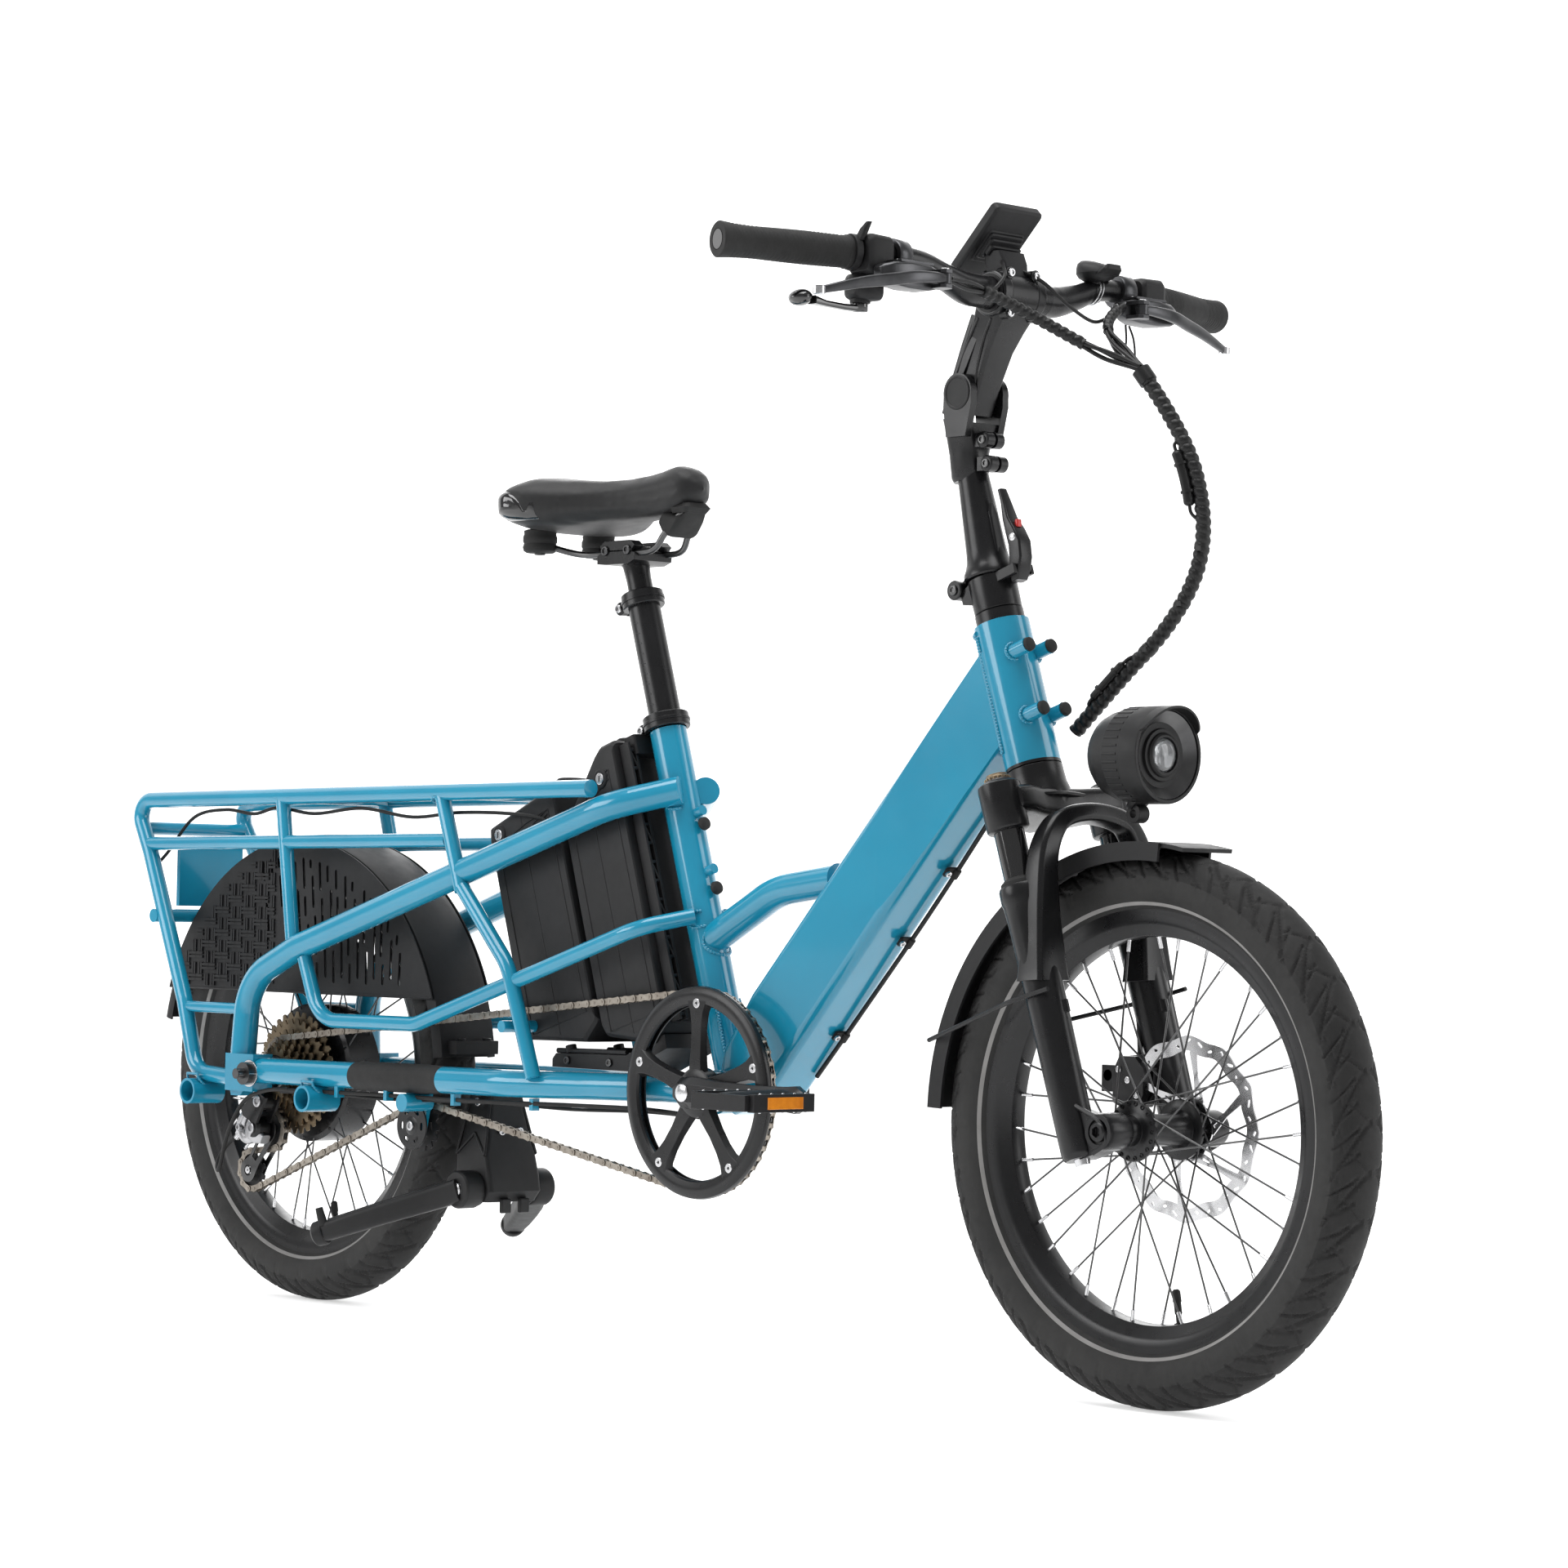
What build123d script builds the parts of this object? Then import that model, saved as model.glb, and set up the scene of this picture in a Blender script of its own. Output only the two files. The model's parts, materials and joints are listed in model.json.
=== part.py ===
from build123d import *
import math
import os

os.makedirs("parts", exist_ok=True)

# ---------------------------------------------------------------- driving dimensions (mm)
# While modelling, x is measured from the rear axle, y from the mid plane, z from the ground.
WHEEL_R = 265.0            # outside radius of the 20 x 2.5 in tyres
TYRE_D = 62.0              # tyre section
BEAD_R = 203.0             # 406 mm bead seat
RIM_DEPTH = 19.0
RIM_W = 38.0
WHEELBASE = 1317.0
LENGTH_MIN_X = -287.0      # rear of the rack
LENGTH_MAX_X = WHEELBASE + WHEEL_R
CENTRE_X = (LENGTH_MIN_X + LENGTH_MAX_X) / 2
GAP = 0.4                  # air between parts that move past each other
RUN = 0.05                 # radial clearance of a running fit

HEAD_TILT = 18.6           # steering axis, degrees back from vertical
HEAD_X, HEAD_Z = 1144.0, 613.0   # foot of the head tube on the steering axis
HEAD_LEN = 148.0
HEAD_D = 56.0
STEERER_D = 28.6
LEG_Y = 74.0               # fork leg centre from the mid plane
LEG_OFFSET = 17.0          # legs in front of the steering axis
STANCHION_D = 30.0
LOWER_D = 42.0
FORK_TRAVEL = 40.0
ARCH_OFFSET = 62.0

BB_X, BB_Z = 728.0, 275.0
BB_SHELL_D, BB_SHELL_W = 46.0, 73.0
BB_BORE = 36.0
SEAT_FOOT_X = 722.0
SEAT_TILT = 17.85
SEAT_TOP_Z = 656.0
SEAT_TUBE_D, SEAT_TUBE_BORE = 40.0, 34.9 + 2 * RUN
SEAT_LEN = (SEAT_TOP_Z - BB_Z) / math.cos(math.radians(SEAT_TILT))
LOWER_POST_D, UPPER_POST_D = 34.9, 27.2
LOWER_POST_TOP_Z = 802.0
UPPER_POST_TOP_Z = 842.0
POST_TRAVEL = 90.0

DROPOUT_Y = 92.0           # dropout plate centre
RACK_Y = 74.0              # rack rail centre
RACK_Z = 585.0
SPLAY = (DROPOUT_Y - RACK_Y) / (RACK_Z - WHEEL_R)
RAIL_D, STAY_D, POST_D, LOWER_RAIL_D = 19.0, 30.0, 17.0, 16.0

CHAIN_Y = -54.0
CHAIN_PITCH = 12.7
RING_TEETH, COG_TEETH, IDLER_TEETH, JOCKEY_TEETH = 52, 20, 13, 11
CRANK_LEN = 165.0
MAST_TILT = 13.4
PIVOT_X, PIVOT_Z = 1055.0, 985.0
BAR_X, BAR_Z = 1100.0, 1080.0
BAR_D, BAR_CLAMP_D = 22.2, 31.8
GRIP_IN_Y, GRIP_END_Y = 216.0, 346.0

REAR_AXLE = (0.0, 0.0, WHEEL_R)
FRONT_AXLE = (WHEELBASE, 0.0, WHEEL_R)


def pitch_radius(teeth):
    """Pitch radius of a chain wheel."""
    return CHAIN_PITCH / (2 * math.sin(math.pi / teeth))


# ---------------------------------------------------------------- helpers
parts = {}


def save(name, shape):
    """Keep a finished piece under its name."""
    parts[name] = shape


def side_y(z, side=-1):
    """Y of the splayed rear side frame at a height."""
    return side * (RACK_Y + (RACK_Z - z) * SPLAY)


def steer(s, f=0.0, y=0.0):
    """Point at s along the steering axis from the head tube's foot, f in front of it."""
    t = math.radians(HEAD_TILT)
    x = HEAD_X - s * math.sin(t) + f * math.cos(t)
    z = HEAD_Z + s * math.cos(t) + f * math.sin(t)
    return Vector(x, y, z)


def steer_plane(s, f=0.0, y=0.0):
    """Plane square to the steering axis, its x axis pointing forward."""
    t = math.radians(HEAD_TILT)
    forward, up = (math.cos(t), 0, math.sin(t)), (-math.sin(t), 0, math.cos(t))
    return Plane(origin=steer(s, f, y), x_dir=forward, z_dir=up)


def seat_point(z):
    """Point on the seat tube axis at a height."""
    return Vector(SEAT_FOOT_X - (z - BB_Z) * math.tan(math.radians(SEAT_TILT)), 0, z)


def seat_plane(z):
    """Plane square to the seat tube axis at a height, its x axis pointing forward."""
    t = math.radians(SEAT_TILT)
    forward, up = (math.cos(t), 0, math.sin(t)), (-math.sin(t), 0, math.cos(t))
    return Plane(origin=seat_point(z), x_dir=forward, z_dir=up)


def rod(a, b, d, d2=None):
    """Round bar or cone from one point to another."""
    a, b = Vector(*a), Vector(*b)
    plane = Plane(origin=a, z_dir=(b - a).normalized())
    if d2 is None or abs(d2 - d) < 1e-6:
        return extrude(plane * Circle(d / 2), amount=(b - a).length)
    top = Plane(origin=b, z_dir=(b - a).normalized(), x_dir=plane.x_dir)
    return loft([(plane * Circle(d / 2)).face(), (top * Circle(d2 / 2)).face()])


def radii_for(points, limit):
    """Bend radius at each corner, from the shorter run beside it."""
    radii = []
    for a, b, c in zip(points, points[1:], points[2:]):
        u, v = (Vector(*b) - Vector(*a)), (Vector(*c) - Vector(*b))
        half_turn = math.radians(u.get_angle(v)) / 2
        radii.append(min(limit, 0.45 * min(u.length, v.length) / math.tan(half_turn)))
    return radii


def bent(points, d, limit=60.0):
    """Round tube through corner points with tangent bends."""
    pts = [Vector(*p) for p in points]
    if len(pts) == 2:
        return rod(pts[0], pts[1], d)
    path = FilletPolyline(*pts, radius=radii_for(points, limit))
    start = Plane(origin=path @ 0, z_dir=path % 0)
    return sweep(start * Circle(d / 2), path=path)


def steer_disc(s, d, f=0.0, y=0.0):
    """Round section square to the steering axis."""
    return steer_plane(s, f, y) * Circle(d / 2)


def steer_bar(s0, s1, d, f=0.0, y=0.0):
    """Round bar along the steering axis."""
    return extrude(steer_disc(s0, d, f, y), amount=s1 - s0)


def seat_bar(z, length, d):
    """Round bar along the seat tube axis from a height on it."""
    return extrude(seat_plane(z) * Circle(d / 2), amount=length)


def oblong(a, b, width, thick):
    """Flat bar between two points of one side plane."""
    a, b = Vector(*a), Vector(*b)
    plane = Plane(origin=(a + b) / 2, x_dir=(b - a).normalized(), z_dir=(0, 1, 0))
    return plane * Box((b - a).length, width, thick)


def across(x, z, y0, y1, d):
    """Round bar along Y."""
    return rod((x, min(y0, y1), z), (x, max(y0, y1), z), d)


def tube_across(x, z, y0, y1, d, bore):
    """Round tube along Y."""
    return across(x, z, y0, y1, d) - across(x, z, min(y0, y1) - 1, max(y0, y1) + 1, bore)


def slab(points, y0, y1, r=0.0):
    """Side-view outline (x, z) given thickness along Y."""
    low, high = min(y0, y1), max(y0, y1)
    face = Plane(origin=(0, low, 0), x_dir=(1, 0, 0), z_dir=(0, -1, 0))
    outline = Polyline(*[(x, z) for x, z in points], close=True)
    sketch = face * make_face(outline)
    body = extrude(sketch, amount=-(high - low))
    if r:
        body = fillet(body.edges().filter_by(Axis.Y), r)
    return body


def box_between(low, high, r=0.0):
    """Axis-aligned block with rounded edges."""
    size = [h - l for l, h in zip(low, high)]
    body = Pos(*[(l + h) / 2 for l, h in zip(low, high)]) * Box(*size)
    if r:
        body = fillet(body.edges(), r)
    return body


def revolve_about(axle, outline):
    """Ring about an axle along Y from an (offset along Y, radius) outline."""
    pts = [(axle[0], axle[1] + y, axle[2] + r) for y, r in outline]
    face = make_face(Polyline(*pts, close=True))
    return revolve(face, axis=Axis(axle, (0, 1, 0)))


def largest(shape):
    """The biggest solid of a cut result."""
    return max(shape.solids(), key=lambda s: s.volume)


def mirrored(shape):
    """The same piece on the other side of the mid plane."""
    return mirror(shape, about=Plane.XZ)


def both(shape):
    """The piece and its mirror image as one compound."""
    return Compound(children=[*shape.solids(), *mirrored(shape).solids()])


def group(*shapes):
    """Several separate solids as one compound."""
    return Compound(children=[s for shape in shapes for s in shape.solids()])


def seg(angle, radius, centre=REAR_AXLE, y=0.0):
    """Point on a circle about an axle, angle in degrees up from forward."""
    a = math.radians(angle)
    return Vector(centre[0] + radius * math.cos(a), y, centre[2] + radius * math.sin(a))


def arc_band(centre, r0, r1, a0, a1, y0, y1):
    """Part of a cylinder wall about an axle."""
    mid = (a0 + a1) / 2
    pts = [seg(a, r, centre, y0) for a, r in ((a0, r1), (mid, r1), (a1, r1), (a1, r0), (mid, r0), (a0, r0))]
    edges = [
        ThreePointArc(pts[0], pts[1], pts[2]),
        Line(pts[2], pts[3]),
        ThreePointArc(pts[3], pts[4], pts[5]),
        Line(pts[5], pts[0]),
    ]
    face = make_face(Curve() + edges)
    direction = (0, 1, 0) if y1 > y0 else (0, -1, 0)
    return extrude(face, amount=abs(y1 - y0), dir=direction)


# ---------------------------------------------------------------- main frame
HEAD_BORE = 44.0
head_core = steer_bar(0, HEAD_LEN, HEAD_D)
head = head_core - steer_bar(-1, HEAD_LEN + 1, HEAD_BORE)
BOSS_S, BOSS_Y, BOSS_D = (45.0, 111.0), 15.5, 15.0
BOSS_ROOT, BOSS_REACH = 18.0, 42.0
BOSS_BORE, BOSS_DEPTH = 6.0, 14.0
bosses = []
for s in BOSS_S:
    for y in (-BOSS_Y, BOSS_Y):
        stub = largest(rod(steer(s, BOSS_ROOT, y), steer(s, BOSS_REACH, y), BOSS_D) - head_core)
        bore = rod(steer(s, BOSS_REACH - BOSS_DEPTH, y), steer(s, BOSS_REACH + 1, y), BOSS_BORE)
        bosses.append(stub - bore)
save("head_tube", group(head, *bosses))

CUP_LIP, CUP_INSERT, UPPER_CUP = 3.0, 14.0, 12.0
UPPER_CUP_D = 49.0
CUP_BORE = STEERER_D + 2 * RUN
lower_cup = steer_bar(-CUP_LIP, 0, HEAD_D) + steer_bar(-CUP_LIP, CUP_INSERT, HEAD_BORE)
lower_cup -= steer_bar(-CUP_LIP - 1, CUP_INSERT + 1, CUP_BORE)
upper_cup = steer_bar(HEAD_LEN, HEAD_LEN + UPPER_CUP, UPPER_CUP_D)
upper_cup += steer_bar(HEAD_LEN - CUP_INSERT, HEAD_LEN, HEAD_BORE)
upper_cup -= steer_bar(HEAD_LEN - CUP_INSERT - 1, HEAD_LEN + UPPER_CUP + 1, CUP_BORE)
save("headset", group(lower_cup, upper_cup))

bb_core = across(BB_X, BB_Z, -BB_SHELL_W / 2, BB_SHELL_W / 2, BB_SHELL_D)
bb_shell = tube_across(BB_X, BB_Z, -BB_SHELL_W / 2, BB_SHELL_W / 2, BB_SHELL_D, BB_BORE)

DT_W = 66.0
dt_outline = [(1112, 744), (772, 380), (731, 322), (722, 285), (745, 252), (790, 266), (1130, 640)]
down = slab(dt_outline, -DT_W / 2, DT_W / 2)
down = fillet(down.edges().filter_by(Axis.Y, reverse=True), 11)
channel = slab([(800, 248), (1140, 622), (1160, 602), (820, 228)], -14, 14)
HEAD_END_HALF = 25.5
plan_side = [(670, DT_W / 2), (960, DT_W / 2), (1135, HEAD_END_HALF)]
plan_outline = plan_side + [(x, -y) for x, y in reversed(plan_side)]
down = down & extrude(make_face(Polyline(*plan_outline, close=True)), amount=1000)
down = largest(down - head_core - bb_core - channel)
cross = bent([(672, 0, 430), (779, 0, 487), (870, 0, 499)], 34.0, 120)
seat_core = seat_bar(BB_Z, SEAT_LEN, SEAT_TUBE_D)
save("down_tube", down)
save("cross_tube", largest(cross - seat_core - down))

SEAT_BORE_Z = BB_Z + 120.0         # the tube is solid below this height
down_tube_foot = slab([(772, 380), (731, 322), (722, 285), (745, 252), (800, 380)], -40, 40)
seat = seat_core - seat_bar(SEAT_BORE_Z, SEAT_LEN, SEAT_TUBE_BORE)
seat = largest(seat - bb_core - down_tube_foot)
BOTTLE_Z, BOTTLE_BOSS_D, BOTTLE_BOSS_REACH = (562.0, 500.0), 11.0, 30.0
for z in BOTTLE_Z:
    forward = seat_plane(z).x_dir
    root = seat_point(z) + forward * (SEAT_TUBE_D / 2 - 1)
    seat += rod(root, seat_point(z) + forward * BOTTLE_BOSS_REACH, BOTTLE_BOSS_D)
save("seat_tube", seat)
save("bottom_bracket_shell", largest(bb_shell - down))

CLAMP_Z0, CLAMP_H, CLAMP_D = 657.0, 16.0, 50.0
collar = seat_bar(CLAMP_Z0, CLAMP_H, CLAMP_D) - seat_bar(CLAMP_Z0 - 1, CLAMP_H + 2, SEAT_TUBE_BORE)
ears = slab([(548, 655), (575, 655), (575, 671), (548, 671)], -9, 9)
collar += ears - seat_bar(CLAMP_Z0 - 30, 80, CLAMP_D - 1)
save("seat_clamp", largest(collar))

# rear side frames, right side built and mirrored to the left
R = -1
stay_pts = [(-34, 285), (-32, 372), (58, 412), (585, 575), (648, 592)]
stay3 = [(x, side_y(z, R), z) for x, z in stay_pts]
stay3[-1] = (642, -18, 592)
stay3[-2] = (578, -62, 574)
stay = bent(stay3, STAY_D, 90)
stay = largest(stay - seat_core)
stay = largest(stay - box_between((560, 0, 500), (760, 40, 700)))
save("main_stays", both(stay))

CHAINSTAY_D = 30.0
chainstay_path = [(0, -DROPOUT_Y, 268), (430, -78, 272), (540, -46, 273), (640, -30, 275), (715, -26, 275)]
cs = bent(chainstay_path, CHAINSTAY_D, 90)
BEARING_CUP_D = 42.0
bearing_space = across(BB_X, BB_Z, -60, 60, BEARING_CUP_D + 1)
AXLE_NUT_Y0, AXLE_NUT_Y1, AXLE_NUT_D = DROPOUT_Y + 14.2, DROPOUT_Y + 24.0, 26.0
nut_space = across(0, WHEEL_R, -AXLE_NUT_Y1, -AXLE_NUT_Y0 + 0.2, AXLE_NUT_D + 2)
DROP_BOX = ((-48, -DROPOUT_Y - 14, 244), (6, -DROPOUT_Y + 14, 287))
drop_block = box_between(*DROP_BOX)
REAR_AXLE_D = 12.0
axle_bore = across(0, WHEEL_R, -140, 0, REAR_AXLE_D + 2 * RUN)
cs = largest(cs - bb_core - bearing_space - down - seat_core - drop_block - nut_space - axle_bore)
save("chainstays", both(cs))

drop = drop_block - box_between((-40, -DROPOUT_Y - 6, 240), (-8, -DROPOUT_Y + 20, 281))
drop -= axle_bore
drop = largest(drop - stay)
PEG_D, PEG_BORE, PEG_LEN = 30.0, 24.0, 44.0
PEG_Y0 = -DROPOUT_Y - 22
PEGS = ((-112.0, 240.0), (112.0, 241.0))
pegs = []
for px, pz in PEGS:
    peg = tube_across(px, pz, PEG_Y0, PEG_Y0 + PEG_LEN, PEG_D, PEG_BORE)
    pegs.append(largest(peg - cs - drop))
save("peg_sockets", group(both(pegs[0]), both(pegs[1])))

rail_pts = [(560, 592), (-289, 582), (-250, 520), (-158, 344), (-125, 262), (-52, 258)]
rail3 = [(x, side_y(z, R), z) for x, z in rail_pts]
rail = bent(rail3, RAIL_D, 34)
rail = largest(rail - stay - drop_block - pegs[0])
save("right_rack_rail", rail)
save("left_rack_rail", mirrored(rail))

lower_rail = bent([(-262, side_y(530, R), 530), (322, side_y(536, R), 536)], LOWER_RAIL_D)
lower_rail = largest(lower_rail - rail)
brace = bent([(-160, side_y(338, R), 338), (-30, side_y(338, R), 338)], 13.0)
brace = largest(brace - rail - stay)
save("rack_side_rails", group(both(lower_rail), both(brace)))

post_a = bent([(8, side_y(590, R), 590), (50, side_y(405, R), 405)], POST_D)
post_a = [p for p in (post_a - rail - lower_rail - stay).solids() if p.volume > 2000]
post_b = bent([(302, side_y(594, R), 594), (352, side_y(480, R), 480)], POST_D)
post_b = [p for p in (post_b - rail - lower_rail - stay).solids() if p.volume > 2000]
save("rack_posts", both(group(*post_a, *post_b)))

guard3 = [(72, side_y(400, R), 400), (108, side_y(330, R), 330), (285, side_y(331, R), 331)]
guard3 += [(640, -72, 445), (672, -22, 458)]
guard_tube = bent(guard3, POST_D, 50)
guard_tube = largest(guard_tube - stay - seat_core - lower_rail - rail)
strut_path = [(352, side_y(484, R), 484), (440, side_y(400, R), 400), (482, -80, 280)]
strut = bent(strut_path, POST_D, 60)
strut = largest(strut - stay - cs - lower_rail - rail)
for post in post_b:
    strut = largest(strut - post)
guard_pieces = [p for p in (guard_tube - strut).solids() if p.volume > 2000]
save("lower_stays", both(group(*guard_pieces)))
save("rack_struts", both(strut))

cross_at = ((-268, 549, 16), (20, 586, 16), (300, 590, 16), (-221, 444, 16), (440, 334, 13))
cross_bars = []
for cx, cz, cd in cross_at:
    bar = across(cx, cz, -DROPOUT_Y, DROPOUT_Y, cd)
    for other in (rail, stay, strut, *post_a, *post_b):
        bar = largest(bar - other - mirrored(other))
    cross_bars.append(bar)
save("rack_cross_tubes", group(*cross_bars))
plate = box_between((-240, -46, 456), (-234, 46, 530))
save("tail_light_bracket", largest(plate - cross_bars[3]))

# ---------------------------------------------------------------- batteries and electrics
PACK_W = 92.0
PACK_CORNER = 6.0
FRONT_PACK = {"foot": (590.0, 322.0), "depth": 70.0, "length": 312.0, "chamfer": 52.0}
REAR_PACK = {"foot": (472.0, 318.0), "depth": 86.0, "length": 262.0, "chamfer": 44.0}
CRADLE_DEPTH, CRADLE_W = 17.0, 76.0
CRADLE_WINDOWS, CRADLE_WINDOW_H, CRADLE_BAR = 8, 22.0, 12.0


def lean_point(foot, u, f):
    """Side-view point u up the seat tube's slope and f square to it, from a foot point."""
    t = math.radians(SEAT_TILT)
    return (foot[0] - u * math.sin(t) + f * math.cos(t), foot[1] + u * math.cos(t) + f * math.sin(t))


def lean_block(foot, u0, u1, f0, f1, half_width):
    """Block leaning with the seat tube."""
    corners = [lean_point(foot, u, f) for u, f in ((u0, f0), (u0, f1), (u1, f1), (u1, f0))]
    return slab(corners, -half_width, half_width)


def battery(foot, depth, length, chamfer):
    """Battery pack leaning back along the seat tube, its top rear corner cut off."""
    outline = [(0, 18), (-14, depth - 26), (0, depth), (length, depth)]
    outline += [(length, depth - chamfer * 0.35), (length - chamfer, 0)]
    body = slab([lean_point(foot, u, f) for u, f in outline], -PACK_W / 2, PACK_W / 2)
    sides = body.edges().group_by(Axis.Y)
    return fillet(sides[0] + sides[-1], PACK_CORNER)


save("front_battery", battery(**FRONT_PACK))
save("rear_battery", battery(**REAR_PACK))
foot, depth, length = FRONT_PACK["foot"], FRONT_PACK["depth"], FRONT_PACK["length"]
cradle = lean_block(foot, 0, length, depth + 0.5, depth + CRADLE_DEPTH, CRADLE_W / 2)
for n in range(CRADLE_WINDOWS):
    u0 = 18 + n * (CRADLE_WINDOW_H + CRADLE_BAR)
    for side in (-1, 1):
        window = lean_block(foot, u0, u0 + CRADLE_WINDOW_H, depth, depth + CRADLE_DEPTH + 1, 9.5)
        cradle -= Pos(0, side * 21, 0) * window
cradle -= seat_bar(BB_Z, 500, SEAT_TUBE_D + 3)
tray = slab([(462, 290), (590, 290), (655, 318), (650, 334), (585, 306), (470, 306)], -40, 40)
controller = slab([(408, 318), (432, 318), (384, 488), (360, 486)], -30, 30)
for cutter in ("front_battery", "rear_battery", "main_stays", "lower_stays", "seat_tube"):
    cradle = largest(cradle - parts[cutter])
    tray = largest(tray - parts[cutter])
    controller = largest(controller - parts[cutter])
save("battery_cradle", group(cradle, largest(tray - cradle)))
save("motor_controller", controller)

# ---------------------------------------------------------------- wheels
def wheel_sketch_plane(axle):
    """Plane through an axle holding (y, radius) sketches."""
    return Plane(origin=axle, x_dir=(0, 1, 0), z_dir=(1, 0, 0))


def rim_and_tyre(axle):
    """Double-wall rim and hollow tyre."""
    h, top, wall = RIM_W / 2, BEAD_R + 9, 3.0
    low = BEAD_R - RIM_DEPTH
    right = [(h, top), (h, BEAD_R - 3), (8, low)]
    left = [(-y, r) for y, r in reversed(right)]
    well = [(-h + wall, top), (-h + wall, BEAD_R), (-10, BEAD_R), (-8, BEAD_R - 6)]
    outline = right + left + well + [(-y, r) for y, r in reversed(well)]
    rim = revolve_about(axle, outline)
    ring_r = WHEEL_R - TYRE_D / 2
    sk = Pos(0, ring_r) * Circle(TYRE_D / 2) - Pos(0, ring_r) * Circle(TYRE_D / 2 - 4.5)
    sk -= Pos(0, BEAD_R) * Rectangle(26, 34)
    tyre = revolve(wheel_sketch_plane(axle) * sk, axis=Axis(axle, (0, 1, 0)))
    return rim, largest(tyre - rim)


def spokes(axle, count, flange_r, flange_y, lean, d=2.2):
    """Two sides of leaning spokes with their nipples."""
    out = []
    rim_r = BEAD_R - RIM_DEPTH - 0.2
    for n in range(count):
        side = 1 if n % 2 else -1
        cross_dir = 1 if (n // 2) % 2 else -1
        rim_angle = 360 * n / count
        hub_angle = rim_angle + cross_dir * lean
        y = side * (flange_y + 1.4 * cross_dir)
        a = seg(hub_angle, flange_r, axle, y)
        b = seg(rim_angle, rim_r, axle, side * 3)
        out.append(rod(a, b, d))
    return group(*out)


FRONT_AXLE_D = 15.0
front_rim, front_tyre = rim_and_tyre(FRONT_AXLE)
rear_rim, rear_tyre = rim_and_tyre(REAR_AXLE)
save("front_rim", front_rim)
save("front_tyre", front_tyre)
save("rear_rim", rear_rim)
save("rear_tyre", rear_tyre)
hub_r = FRONT_AXLE_D / 2 + RUN
hub_outline = [(-50, hub_r), (-50, 14), (-36, 17), (-36, 29), (-31, 29), (-29, 21), (27, 21), (29, 29)]
hub_outline += [(34, 29), (34, 22), (46, 22), (46, 14), (50, 14), (50, hub_r)]
save("front_hub", revolve_about(FRONT_AXLE, hub_outline))
save("front_spokes", spokes(FRONT_AXLE, 36, 29.6, 32, 42))
ROTOR_R, ROTOR_Y = 90.0, 41.0
ROTOR_BAND, ROTOR_HUB_R, ROTOR_HUB_BORE, ROTOR_T, ROTOR_ARMS = 16.0, 31.0, 22.05, 2.0, 6
rotor = None
for inner, outer in ((ROTOR_R - ROTOR_BAND, ROTOR_R), (ROTOR_HUB_BORE, ROTOR_HUB_R)):
    y0, y1 = ROTOR_Y, ROTOR_Y + ROTOR_T
    band = revolve_about(FRONT_AXLE, [(y0, inner), (y0, outer), (y1, outer), (y1, inner)])
    rotor = band if rotor is None else rotor + band
for n in range(ROTOR_ARMS):
    angle = 360 / ROTOR_ARMS * n
    a = seg(angle, ROTOR_HUB_R - 2, FRONT_AXLE, ROTOR_Y + ROTOR_T / 2)
    b = seg(angle + 24, ROTOR_R - ROTOR_BAND + 2, FRONT_AXLE, ROTOR_Y + ROTOR_T / 2)
    rotor += oblong(a, b, 8, ROTOR_T)
save("front_brake_rotor", largest(rotor))
save("front_axle", across(WHEELBASE, WHEEL_R, -90, 90, FRONT_AXLE_D))

MOTOR_R = 80.0
motor_r = REAR_AXLE_D / 2 + RUN
motor_outline = [(-33, motor_r), (-33, 34), (-26, 40), (-22, 74), (-20, MOTOR_R), (22, MOTOR_R), (24, 74)]
motor_outline += [(34, 40), (52, 30), (52, motor_r)]
save("rear_hub_motor", revolve_about(REAR_AXLE, motor_outline))
save("rear_spokes", spokes(REAR_AXLE, 36, MOTOR_R + 0.3, 17, 14))
axle = across(0, WHEEL_R, -AXLE_NUT_Y1 - 10, AXLE_NUT_Y1 + 10, REAR_AXLE_D)
for side in (-1, 1):
    axle += across(0, WHEEL_R, side * AXLE_NUT_Y0, side * AXLE_NUT_Y1, AXLE_NUT_D)
save("rear_axle", axle)

COGS = (34, 30, 24, 20, 18, 16, 14)
COG_STEP = 5.0
cog_end_y = CHAIN_Y - 3 * COG_STEP - 2.5
carrier = [(cog_end_y, motor_r), (cog_end_y, 24), (-34.5, 26), (-34.5, motor_r)]
cassette = revolve_about(REAR_AXLE, carrier)
for n, teeth in enumerate(COGS):
    y = CHAIN_Y + (3 - n) * COG_STEP
    cassette += across(0, WHEEL_R, y - 0.9, y + 0.9, 2 * pitch_radius(teeth) + 5)
cassette = largest(cassette - across(0, WHEEL_R, -120, 0, 2 * motor_r))
save("cassette", cassette)

# ---------------------------------------------------------------- chain and pulleys
RING_C, COG_C = (BB_X, BB_Z), (0.0, WHEEL_R)
GUIDE_C, TENSION_C, IDLER_C = (-22.0, 198.0), (-60.0, 149.0), (260.0, 217.0)
WHEELS = [
    (RING_C, RING_TEETH, -1),
    (IDLER_C, IDLER_TEETH, 1),
    (TENSION_C, JOCKEY_TEETH, -1),
    (GUIDE_C, JOCKEY_TEETH, 1),
    (COG_C, COG_TEETH, -1),
]


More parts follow.
